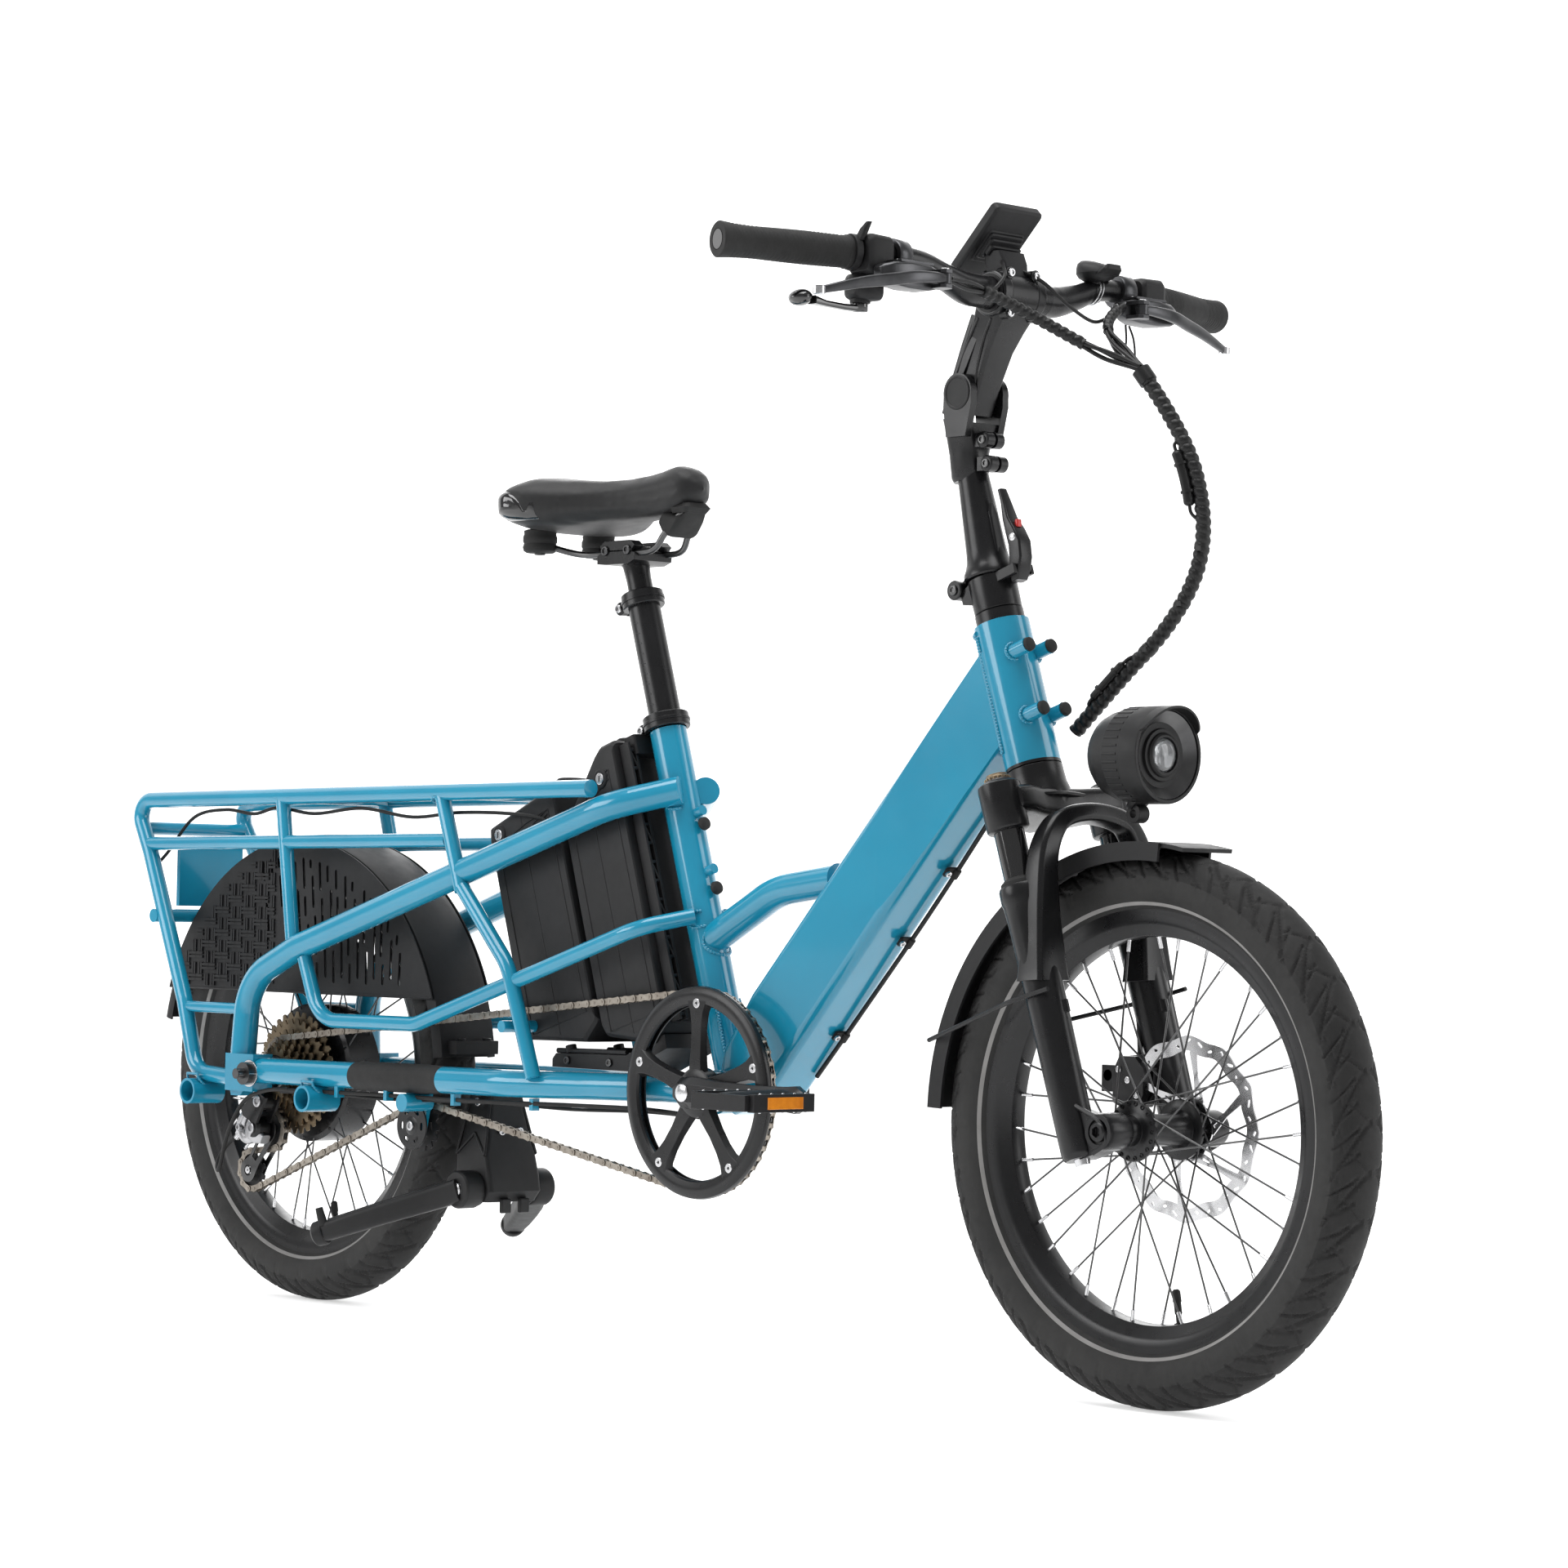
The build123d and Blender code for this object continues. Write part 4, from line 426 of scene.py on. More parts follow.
        def ring(z, rad, n=sides):
            return [at + d * z + (u * math.cos(2 * math.pi * (int(j * n / sides)) / n)
                                  + w * math.sin(2 * math.pi * (int(j * n / sides)) / n)) * rad
                                  for j in range(sides)]
        prof = [ring(-0.5, r), ring(h * 0.8, r), ring(h, r * 0.85)]
        if socket:
            hexa = []
            for a in (2 * math.pi * j / sides for j in range(sides)):
                flat = math.cos((a + math.pi / 6) % (math.pi / 3) - math.pi / 6)
                hexa.append(at + d * h + (u * math.cos(a) + w * math.sin(a)) * r * 0.5 / flat)
            prof += [hexa, [p - d * h * 0.55 for p in hexa]]
        return self.rings(prof, mat)


def inside(p, poly):
    """Whether a flat point lies in a polygon."""
    hit, n = False, len(poly)
    for i in range(n):
        (x1, y1), (x2, y2) = poly[i][:2], poly[(i + 1) % n][:2]
        if (y1 > p[1]) != (y2 > p[1]) and p[0] < (x2 - x1) * (p[1] - y1) / (y2 - y1) + x1:
            hit = not hit
    return hit


def circle(cx, cy, r, n=20):
    """Flat points round a centre."""
    return [(cx + r * math.cos(a), cy + r * math.sin(a)) for a in (2 * math.pi * i / n for i in range(n))]


def slot_outline(cx, cy, length, width, angle, n=6):
    """Rounded slot centred on a point."""
    h, r = (length - width) / 2, width / 2
    pts = []
    for k in range(2 * n):
        side = 1 if k < n else -1
        a = -math.pi / 2 + math.pi * (k % n) / (n - 1) + (0 if side > 0 else math.pi)
        pts.append((side * h + r * math.cos(a), r * math.sin(a)))
    c, s = math.cos(angle), math.sin(angle)
    return [(cx + x * c - y * s, cy + x * s + y * c) for x, y in pts]


def polar(points):
    """(radius, degrees) pairs as flat points."""
    return [(r * math.cos(math.radians(a)), r * math.sin(math.radians(a))) for r, a in points]


def piece(shape, name, body, looks, bevel=0.0, segments=2, subsurf=0, replaces=(), angle=35,
          recalc=True):
    """Makes the gathered faces one object that rides on a body, if one is named."""
    mesh = bpy.data.meshes.new(name)
    mesh.from_pydata([V(*p) for p in shape.v], [], shape.f)
    mesh.polygons.foreach_set("material_index", shape.m)
    for look in looks.split():
        mesh.materials.append(MATS[look])
    if recalc:
        bm = bmesh.new()
        bm.from_mesh(mesh)
        bmesh.ops.remove_doubles(bm, verts=bm.verts, dist=1e-6)
        bmesh.ops.recalc_face_normals(bm, faces=bm.faces)
        bm.to_mesh(mesh)
        bm.free()
    mesh.shade_smooth()
    mesh.set_sharp_from_angle(angle=math.radians(angle))
    o = bpy.data.objects.new(name, mesh)
    bpy.context.scene.collection.objects.link(o)
    if bevel:
        b = o.modifiers.new("bevel", "BEVEL")
        b.width, b.segments, b.limit_method = bevel / 1000, segments, "ANGLE"
        b.angle_limit = math.radians(angle)
        b.harden_normals = True
    if subsurf:
        s = o.modifiers.new("smooth", "SUBSURF")
        s.levels = s.render_levels = subsurf
    if body:
        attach(o, body)
    if replaces:
        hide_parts(*replaces)
    return o


def smooth_line(points, per=8, closed=False):
    """Points along a Catmull-Rom line through the given ones."""
    pts = [Vector(p) for p in points]
    n, out = len(pts), []
    for i in range(n if closed else n - 1):
        if closed:
            p0, p1, p2, p3 = pts[i - 1], pts[i], pts[(i + 1) % n], pts[(i + 2) % n]
        else:
            p0, p1, p2, p3 = pts[max(i - 1, 0)], pts[i], pts[i + 1], pts[min(i + 2, n - 1)]
        for k in range(per):
            t = k / per
            square, cubic = 2 * p0 - 5 * p1 + 4 * p2 - p3, 3 * p1 - p0 - 3 * p2 + p3
            out.append(0.5 * (2 * p1 + (p2 - p0) * t + square * t * t + cubic * t ** 3))
    if not closed:
        out.append(pts[-1])
    return out


def rounded(hu, hw, r, per=5):
    """Rounded rectangle as flat points."""
    r = min(r, hu, hw)
    pts = []
    for sx, sy, a0 in ((1, 1, 0), (-1, 1, 90), (-1, -1, 180), (1, -1, 270)):
        for k in range(per + 1):
            a = math.radians(a0 + 90 * k / per)
            pts.append((sx * (hu - r) + r * math.cos(a), sy * (hw - r) + r * math.sin(a)))
    return pts


def loft(shape, sections, mat=0):
    """Skin over (centre, u, w, outline) sections."""
    rows = []
    for c, u, w, outline in sections:
        c, u, w = Vector(c), Vector(u), Vector(w)
        rows.append([c + u * a + w * b for a, b in outline])
    return shape.rings(rows, mat)


def side_loft(shape, line, mat=0):
    """Rounded bar along a side-view line of (x, z, half width in y, half depth, corner)."""
    pts = [Vector((x, 0, z)) for x, z, *_ in line]
    sections = []
    for i, (x, z, hy, hd, r) in enumerate(line):
        d = (pts[min(i + 1, len(pts) - 1)] - pts[max(i - 1, 0)]).normalized()
        sections.append((pts[i], Y, d.cross(Y), rounded(hy, hd, r)))
    return loft(shape, sections, mat)


def carried(pts):
    """Each point of a line with two side vectors carried along without twist."""
    out, q = [], None
    n = len(pts)
    tangents = [(pts[min(i + 1, n - 1)] - pts[max(i - 1, 0)]).normalized() for i in range(n)]
    u, w = frame_of(tangents[0])
    for i in range(n):
        if i:
            q = tangents[i - 1].rotation_difference(tangents[i])
            u, w = q @ u, q @ w
        out.append((pts[i], u, w))
    return out


def even(pts, step):
    """Points a step apart along a line."""
    out, run = [pts[0]], 0.0
    for a, b in zip(pts, pts[1:]):
        length = (b - a).length
        while run + length >= step * len(out):
            out.append(a.lerp(b, (step * len(out) - run) / length))
        run += length
    return out


def part_of(pts, start, end):
    """Stretch of a line between two fractions of its length."""
    fine = even(pts, 1.0)
    n = len(fine) - 1
    return fine[round(start * n):round(end * n) + 1]


def bead(shape, pts, r=2.2, pitch=3.4, mat=0):
    """Weld bead: overlapping ripples along a line."""
    line = even([Vector(p) for p in pts], pitch / 6)
    radii = [r * (0.72 + 0.28 * abs(math.sin(math.pi * i / 6))) for i in range(len(line))]
    return shape.tube(line, radii, 10, mat)


def weld_ring(shape, at, d, big_at, big_axis, small_r, big_r, r=2.0, mat=0, start=0, sweep=360):
    """Bead where a bar along d meets a round tube about big_axis."""
    d, axis, at, big_at = Vector(d).normalized(), Vector(big_axis).normalized(), Vector(at), Vector(big_at)
    u, w = frame_of(d)
    pts = []
    for k in range(73):
        a = math.radians(start + sweep * k / 72)
        o = at + (u * math.cos(a) + w * math.sin(a)) * small_r - big_at
        p = o - axis * o.dot(axis)
        e = d - axis * d.dot(axis)
        qa, qb, qc = e.dot(e), 2 * p.dot(e), p.dot(p) - big_r * big_r
        root = qb * qb - 4 * qa * qc
        if root < 0 or qa < 1e-6:
            continue
        t = (-qb - math.sqrt(root)) / (2 * qa)
        pts.append(big_at + o + d * t)
    if len(pts) > 3:
        bead(shape, pts, r, mat=mat)
    return shape
# ------------------------------------------------------------------ wheels
WHEEL_R, TYRE_R = 265.0, 31.0
RING_R = WHEEL_R - TYRE_R
REAR_AXLE = Vector((0, 0, WHEEL_R))
FRONT_AXLE = joint_at("front_wheel_spin")
FRONT_AXLE.y = 0
STRIPE = (213.8, 217.4)


def groove(x, centre, half):
    """1 inside a groove, falling to 0 at its edges."""
    return max(0.0, 1 - (abs(x - centre) / half) ** 4) if abs(x - centre) < half else 0.0


def tread_depth(turn, across):
    """Depth of the tread pattern in mm; turn is in pattern pitches, across is -1 to 1 over the tread."""
    side = abs(across)
    if side > 1.0:
        return 0.0
    lean = 1.25 * side ** 1.5
    main = (turn * 0.5 + lean) % 1.0
    fine = (turn + 2.2 * side - 0.5 * side * side) % 1.0
    depth = 0.0
    if 0.10 < side:
        depth = max(depth, 1.9 * groove(main, 0.5, 0.07 + 0.03 * side))
    if 0.42 < side:
        depth = max(depth, 1.7 * groove(fine, 0.5, 0.10))
    if 0.06 < side < 0.62:
        leaf = (turn * 0.5 - 0.9 * side + 0.2) % 1.0
        depth = max(depth, 1.3 * groove(leaf, 0.5, 0.05))
    depth = max(depth, 0.9 * groove(side, 0.80 + 0.03 * math.sin(turn * math.pi), 0.02))
    return depth


def build_tyre(axle, name, body, node):
    """Rubber ring with grooved tread, reflecting stripe and bead."""
    turns, pitch_count = 960, 72
    tread_half = math.radians(76)
    angles = [math.radians(a) for a in np.linspace(-148, 148, 75)]
    s = Shape()
    verts, faces, mats = [], [], []
    n = len(angles)
    for i in range(turns):
        a = 2 * math.pi * i / turns
        c, sn = math.cos(a), math.sin(a)
        for t in angles:
            r = TYRE_R
            if abs(t) < tread_half * 1.02:
                r -= tread_depth(i * pitch_count / turns, t / tread_half)
            elif abs(t) < math.radians(80):
                r -= 0.6
            else:
                r -= 0.6 + (0.35 if int(i / 5) % 6 == 0 and abs(t) < math.radians(104) else 0.0)
            rad = RING_R + r * math.cos(t)
            verts.append((axle.x + rad * c, axle.y + r * math.sin(t), axle.z + rad * sn))
    for i in range(turns):
        p, q = i * n, ((i + 1) % turns) * n
        for j in range(n - 1):
            mid = (angles[j] + angles[j + 1]) / 2
            rad = RING_R + (TYRE_R - 0.6) * math.cos(mid)
            faces.append((p + j, p + j + 1, q + j + 1, q + j))
            mats.append(2 if STRIPE[0] < rad < STRIPE[1] and abs(mid) > 1.5
                        else (1 if abs(mid) > tread_half else 0))
    s.v, s.f, s.m = verts, faces, mats
    half = [(16.4, 207.5), (15.0, 203.4), (12.0, 203.4), (12.0, 212)]
    inner = half + [(-y, r) for y, r in reversed(half)]
    s.lathe(axle, Y, inner, 240, mat=1, closed=False)
    return piece(s, name, body, "tyre_tread tyre_side reflex_grey", replaces=[node], angle=30,
                 recalc=False)


build_tyre(FRONT_AXLE, "front_tyre_tread", "front_wheel", "front_tyre")
build_tyre(REAR_AXLE, "rear_tyre_tread", "rear_wheel", "rear_tyre")


def build_rim(axle, name, body, node):
    """Black double-wall rim with its hooked edges and a valve stem."""
    s = Shape()
    h = 19.0
    half = [(h, 211.6), (h, 209.5), (h - 0.8, 206), (h - 0.4, 199.5), (h - 3.0, 195.5), (h - 7, 189.5),
            (9.0, 184.8), (4, 183.8)]
    outer = half + [(-y, r) for y, r in reversed(half)]
    well = [(8, 197), (10, 202.6), (h - 2.8, 204), (h - 3.4, 208.5), (h - 2.6, 211.6)]
    well = [(-y, r) for y, r in reversed(well)] + well
    s.lathe(axle, Y, outer + well, 180)
    valve_at = math.radians(-80)
    d = Vector((math.cos(valve_at), 0, math.sin(valve_at)))
    base = axle + d * 184
    s.tube([base + d * 2, base - d * 1, base - d * 1.2, base - d * 9, base - d * 10, base - d * 20,
            base - d * 21.5, base - d * 31, base - d * 33],
           [5.2, 5.2, 3.1, 2.9, 3.6, 3.6, 4.2, 4.0, 2.2], 16, mat=1)
    return piece(s, name, body, "black_satin rubber", replaces=[node], angle=40,
                 bevel=0.4)


build_rim(FRONT_AXLE, "front_rim_profile", "front_wheel", "front_rim")
build_rim(REAR_AXLE, "rear_rim_profile", "rear_wheel", "rear_rim")


def build_spokes(axle, name, body, node, flange_r, flange_y, lean):
    """36 crossed spokes with elbows at the flange and bright nipples at the rim."""
    s = Shape()
    count = 36
    for n in range(count):
        side = 1 if n % 2 else -1
        turn = 1 if (n // 2) % 2 else -1
        rim_a = math.radians(360 * n / count + 2)
        hub_a = rim_a + math.radians(turn * lean)
        y_out = side * (flange_y + 1.6 * turn)
        hub = axle + Vector((math.cos(hub_a) * flange_r, y_out, math.sin(hub_a) * flange_r))
        rim = axle + Vector((math.cos(rim_a) * 185.0, side * 3.2, math.sin(rim_a) * 185.0))
        d = (rim - hub).normalized()
        s.tube([hub - Y * side * turn * 3.4, hub - Y * side * turn * 0.6, hub + d * 1.6, rim - d * 11], 1.0,
               8, mat=0)
        s.tube([hub - Y * side * turn * 3.2, hub - Y * side * turn * 4.4], [2.1, 1.6], 10, mat=0)
        s.tube([rim - d * 12.5, rim - d * 12, rim - d * 2.0, rim + d * 0.2], [1.6, 1.9, 1.9, 2.7], 8, mat=1)
    return piece(s, name, body, "steel_dark steel_bright", replaces=[node], angle=50)


build_spokes(FRONT_AXLE, "front_spoke_set", "front_wheel", "front_spokes", 26.5, 33.4, 50)
build_spokes(REAR_AXLE, "rear_spoke_set", "rear_wheel", "rear_spokes", 76.0, 19.5, 18)


def build_front_hub():
    """Waisted hub shell with drilled flanges and the rotor's six-bolt seat."""
    s = Shape()
    a = FRONT_AXLE
    prof = [(-49.5, 8), (-49.5, 13.5), (-46, 14.5), (-38.5, 14.8), (-37.5, 18.5), (-36.5, 28.4),
            (-35.8, 29.2), (-32.6, 29.2), (-31.8, 28.4), (-30.4, 19),
            (-26, 16.2), (-10, 15.4), (10, 15.4), (24, 16.2), (29, 19), (29.6, 28.4), (30.3, 29.2),
            (33.4, 29.2), (34.2, 28.4), (35, 22.5), (40.4, 22.2), (40.6, 15), (49.5, 13.5), (49.5, 8)]
    s.lathe(a, Y, prof, 96)
    for n in range(18):
        for y, off in ((-37.2, 0), (35.0, 10)):
            ang = math.radians(20 * n + off)
            c = a + Vector((26.2 * math.cos(ang), 0, 26.2 * math.sin(ang)))
            s.lathe(c + Y * y, Y, [(-0.4, 1.2), (-0.4, 2.4), (0.8, 2.4), (0.8, 1.2)], 10)
    return piece(s, "front_hub_shell", "front_wheel", "black_satin", replaces=["front_hub"],
                 angle=40, bevel=0.3)


build_front_hub()


def build_rotor():
    """Wave-edged disc with slanted slots on a six-arm carrier."""
    s = Shape()
    a = FRONT_AXLE
    lobes = 12
    edge = [(88.2 + 1.7 * math.cos(math.radians(lobes * t)), t) for t in np.arange(0, 360, 2.0)]
    hollow = [(74.0 - 1.8 * math.cos(math.radians(lobes * t + 150)), t) for t in np.arange(0, 360, 3.0)]
    holes = [polar(hollow)]
    for n in range(36):
        t = math.radians(10 * n)
        r = 85.2 if n % 3 == 0 else (79.8 if n % 3 == 1 else 82.5)
        holes.append(slot_outline(r * math.cos(t), r * math.sin(t), 8.0 if n % 3 == 2 else 5.6, 2.6,
                                  t + math.pi / 2 + 0.5 * (1 if n % 2 else -1)))
    s.plate(polar(edge), holes, a + Y * 42.9, X, Z, 1.8)
    core = circle(0, 0, 22.4, 48)
    ring = [(31.0 + 1.2 * math.cos(math.radians(6 * t)), t) for t in np.arange(0, 360, 4.0)]
    bolts = [circle(26 * math.cos(math.radians(60 * n)), 26 * math.sin(math.radians(60 * n)), 2.4, 10)
             for n in range(6)]
    s.plate(polar(ring), [core, *bolts], a + Y * 42.9, X, Z, 1.8)
    for n in range(6):
        t0, t1 = math.radians(60 * n), math.radians(60 * n + 26)
        p, q = Vector((29.5 * math.cos(t0), 29.5 * math.sin(t0))), Vector((75.5 * math.cos(t1),
                                                                           75.5 * math.sin(t1)))
        d = (q - p).normalized()
        side = Vector((-d.y, d.x))
        outline = [p - side * 5.5, p + (q - p) * 0.5 - side * 2.6, q - side * 5.0, q + side * 4.0,
                   p + (q - p) * 0.5 + side * 2.6, p + side * 5.5]
        hole = [p + (q - p) * 0.12 - side * 1.6, p + (q - p) * 0.3 - side * 0.9,
                p + (q - p) * 0.3 + side * 0.9, p + (q - p) * 0.12 + side * 1.6]
        s.plate([tuple(v) for v in outline], [[tuple(v) for v in hole]], a + Y * 42.8, X, Z, 1.6)
        c = a + Vector((26 * math.cos(t0), 42.9, 26 * math.sin(t0)))
        s.bolt(c, Y, 3.6, 2.2, mat=1)
    return piece(s, "front_rotor_disc", "front_wheel", "steel_bright steel_dark",
                 replaces=["front_brake_rotor"], angle=30)


build_rotor()

# ------------------------------------------------------------------ drivetrain
PITCH = 12.7
CHAIN_Y = -54.0
RING_T, COG_T, IDLER_T, JOCKEY_T = 52, 20, 13, 11


def pitch_r(teeth):
    """Pitch radius of a sprocket."""
    return PITCH / (2 * math.sin(math.pi / teeth))


def flat(p):
    """X and Z of a point, as flat coordinates."""
    return Vector((p.x, p.z))


RING_C = flat(joint_at("crank_spin"))
COG_C = flat(REAR_AXLE)
IDLER_C = flat(joint_at("idler_spin"))
GUIDE_C = flat(joint_at("upper_jockey_spin"))
TENSION_C = flat(joint_at("lower_jockey_spin"))
WHEELS = [(RING_C, RING_T, -1), (IDLER_C, IDLER_T, 1), (TENSION_C, JOCKEY_T, -1), (GUIDE_C, JOCKEY_T, 1),
          (COG_C, COG_T, -1)]


def chain_path():
    """Points a chain pitch apart round the wheels."""
    rounds = [(c, turn * pitch_r(t)) for c, t, turn in WHEELS]
    contacts = []
    for (c1, s1), (c2, s2) in zip(rounds, rounds[1:] + rounds[:1]):
        d = c2 - c1
        phi = math.atan2(d.y, d.x) + math.asin((s1 - s2) / d.length)
        r = Vector((math.sin(phi), -math.cos(phi)))
        contacts.append((c1 + r * s1, c2 + r * s2))
    dense = []
    for n, (c, s) in enumerate(rounds):
        start, arrive, leave = contacts[n - 1][0], contacts[n - 1][1], contacts[n][0]
        steps = max(2, int((arrive - start).length / 1.5))
        dense += [start.lerp(arrive, k / steps) for k in range(steps)]
        a0 = math.atan2(arrive.y - c.y, arrive.x - c.x)
        a1 = math.atan2(leave.y - c.y, leave.x - c.x)
        swing = (a1 - a0) % (2 * math.pi) if s > 0 else -((a0 - a1) % (2 * math.pi))
        steps = max(2, int(abs(swing * s) / 1.5))
        dense += [c + Vector((math.cos(a0 + swing * k / steps), math.sin(a0 + swing * k / steps))) * abs(s)
                  for k in range(steps)]
    total = sum((dense[i] - dense[i - 1]).length for i in range(len(dense)))
    count = 2 * round(total / PITCH / 2)
    step, out, run, k = total / count, [], 0.0, 0
    for i in range(len(dense)):
        a, b = dense[i], dense[(i + 1) % len(dense)]
        length = (b - a).length
        while k * step <= run + length and k < count:
            out.append(a.lerp(b, (k * step - run) / length if length else 0))
            k += 1
        run += length
    return out


PINS = chain_path()


def build_chain():
    """Roller chain: inner and outer side plates in turn, with rollers and riveted pins."""
    s = Shape()
    n = len(PINS)
    for i in range(n):
        p, q = PINS[i], PINS[(i + 1) % n]
        d = (q - p).normalized()
        side = Vector((-d.y, d.x))
        outline = []
        for k in range(9):
            a = math.radians(110 + 140 * k / 8)
            outline.append(p + (d * math.cos(a) + side * math.sin(a)) * 4.2)
        outline.append((p + q) / 2 - side * 3.0)
        for k in range(9):
            a = math.radians(-70 + 140 * k / 8)
            outline.append(q + (d * math.cos(a) + side * math.sin(a)) * 4.2)
        outline.append((p + q) / 2 + side * 3.0)
        gap = (1.7, 2.7) if i % 2 else (2.75, 3.75)
        for sg in (-1, 1):
            y0, y1 = CHAIN_Y + sg * gap[0], CHAIN_Y + sg * gap[1]
            s.rings([[(v.x, y0, v.y) for v in outline], [(v.x, y1, v.y) for v in outline]], mat=i % 2)
        s.lathe((p.x, CHAIN_Y, p.y), Y, [(-1.65, 0.5), (-1.65, 3.9), (1.65, 3.9), (1.65, 0.5)], 10, mat=1)
        s.lathe((p.x, CHAIN_Y, p.y), Y, [(-4.2, 0.2), (-4.2, 1.6), (4.2, 1.6), (4.2, 0.2)], 8, mat=1)
    return piece(s, "chain_links", "frame", "chain_brown chain_brown", replaces=["chain"],
                 angle=40, recalc=False)


build_chain()


def nearest_phase(centre, teeth):
    """Angle of a chain pin lying on a wheel, so its teeth stand between the rollers."""
    r = pitch_r(teeth)
    best = min(PINS, key=lambda p: abs((p - centre).length - r))
    return math.atan2(best.y - centre.y, best.x - centre.x)


def tooth_outline(teeth, phase, tip=2.9, root=3.7, per=10):
    """Sprocket outline with seats at the rollers."""
    pts, r0 = [], pitch_r(teeth)
    for t in range(teeth):
        for k in range(per):
            u = k / per
            seat = abs(u - 0.5) * 2
            rise = min(1.0, max(0.0, (0.80 - (1 - seat)) / 0.5))
            rise = rise * rise * (3 - 2 * rise)
            r = r0 - root + (root + tip) * rise
            a = phase + 2 * math.pi * (t + u - 0.5) / teeth
            pts.append((r * math.cos(a), r * math.sin(a)))
    return pts


def at_chain(centre, y):
    """A sprocket's flat centre at a depth."""
    return (centre.x, y, centre.y)


def build_chainring():
    """Toothed steel ring inside the guard."""
    s = Shape()
    phase = nearest_phase(RING_C, RING_T)
    hole = circle(0, 0, 91.5, 96)
    s.plate(tooth_outline(RING_T, phase), [hole], at_chain(RING_C, CHAIN_Y + 0.9), X, Z, 1.8)
    return piece(s, "chainring_toothed", "crankset", "steel_dark", replaces=["chainring"],
                 angle=30, bevel=0.25, segments=1)


build_chainring()


def build_cassette():
    """Seven bronze cogs with drilled webs on a spider and lockring."""
    s = Shape()
    cogs = (34, 30, 24, 20, 18, 16, 14)
    for n, teeth in enumerate(cogs):
        y = CHAIN_Y + (3 - n) * 5.0
        phase = nearest_phase(COG_C, COG_T) if teeth == COG_T else 0.3 * n
        holes = [circle(0, 0, 21.0, 36)]
        if teeth > COG_T:
            r_mid = (pitch_r(teeth) - 6 + 30) / 2
            for k in range(8):
                a = 2 * math.pi * k / 8 + 0.2 * n
                holes.append(slot_outline(r_mid * math.cos(a), r_mid * math.sin(a), 15,
                                          7 if teeth > 26 else 5, a + math.pi / 2))
        s.plate(tooth_outline(teeth, phase, tip=2.4), holes, at_chain(COG_C, y + 0.8), X, Z, 1.6)
    s.lathe(at_chain(COG_C, 0), Y, [(CHAIN_Y - 17.3, 8.5), (CHAIN_Y - 17.3, 17), (CHAIN_Y - 16.0, 19),
                                    (CHAIN_Y - 14.4, 19), (CHAIN_Y - 14.4, 23.5), (-34.8, 23.5),
                                    (-34.8, 8.5)], 48, mat=1)
    return piece(s, "cassette_cogs", "freewheel", "cog_bronze steel_dark", replaces=["cassette"],
                 angle=30)


build_cassette()


def build_jockey(centre, name, body, node, teeth, hub_r, web):
    """Small toothed pulley on its bush, with slots in its web if it has one."""
    s = Shape()
    phase = nearest_phase(centre, teeth)
    holes = [circle(0, 0, hub_r, 20)]
    if web:
        for k in range(5):
            a = 2 * math.pi * k / 5
            rm = (pitch_r(teeth) - 5 + hub_r) / 2
            holes.append(slot_outline(rm * math.cos(a), rm * math.sin(a), 9, 4.5, a + math.pi / 2))
    s.plate(tooth_outline(teeth, phase, tip=2.2), holes, at_chain(centre, CHAIN_Y + 1.0), X, Z, 2.0)
    s.lathe(at_chain(centre, CHAIN_Y), Y, [(-4.4, 2.7), (-4.4, hub_r - 0.6), (-1.2, hub_r + 0.6),
                                           (1.2, hub_r + 0.6), (4.4, hub_r - 0.6), (4.4, 2.7)], 28, mat=1)
    return piece(s, name, body, "black_plastic steel_bright", replaces=[node],
                 angle=35, bevel=0.2, segments=1)


build_jockey(GUIDE_C, "guide_pulley_toothed", "upper_jockey", "guide_pulley", JOCKEY_T, 5.2, False)
build_jockey(TENSION_C, "tension_pulley_toothed", "lower_jockey", "tension_pulley", JOCKEY_T, 5.2, False)
build_jockey(IDLER_C, "idler_pulley_toothed", "chain_idler", "idler_pulley", IDLER_T, 8.0, True)


def build_cage():
    """Jockey cage: two pierced plates joined by the pulley pins."""
    s = Shape()
    g, t = GUIDE_C, TENSION_C
    d = (t - g).normalized()
    side = Vector((-d.y, d.x))
    length = (t - g).length
    outline = []
    for k in range(13):
        a = math.radians(90 + 180 * k / 12)
        outline.append(g + (d * math.cos(a) + side * math.sin(a)) * 14)
    outline += [g + d * 16 - side * 10, g + d * (length - 16) - side * 8]
    for k in range(13):
        a = math.radians(-90 + 180 * k / 12)
        outline.append(t + (d * math.cos(a) + side * math.sin(a)) * 14)
    outline += [g + d * (length - 16) + side * 12, g + d * 18 + side * 13]
    holes = [[tuple(v) for v in (g + d * 17 - side * 5, g + d * (length - 18) - side * 4,
                                 g + d * (length - 18) + side * 5, g + d * 17 + side * 7)],
             circle(t.x, t.y, 6.5, 18)]
    for y in (CHAIN_Y - 7.8, CHAIN_Y + 6.0):
        s.plate([tuple(v) for v in outline], holes, (0, y + 1.6, 0), X, Z, 1.6, mat=0)
    for c in (g, t):
        s.lathe((c.x, CHAIN_Y, c.y), Y, [(-8.4, 1.2), (-8.4, 4.2), (-6.8, 4.2), (-6.8, 2.4), (6.8, 2.4),
                                         (6.8, 4.0), (7.8, 4.0), (7.8, 1.2)], 18, mat=1)
    return piece(s, "jockey_cage_plates", "jockey_cage", "steel_dark steel_bright",
                 replaces=["derailleur_cage"], angle=35, bevel=0.3)


build_cage()


CRANK_LEN = 165.0


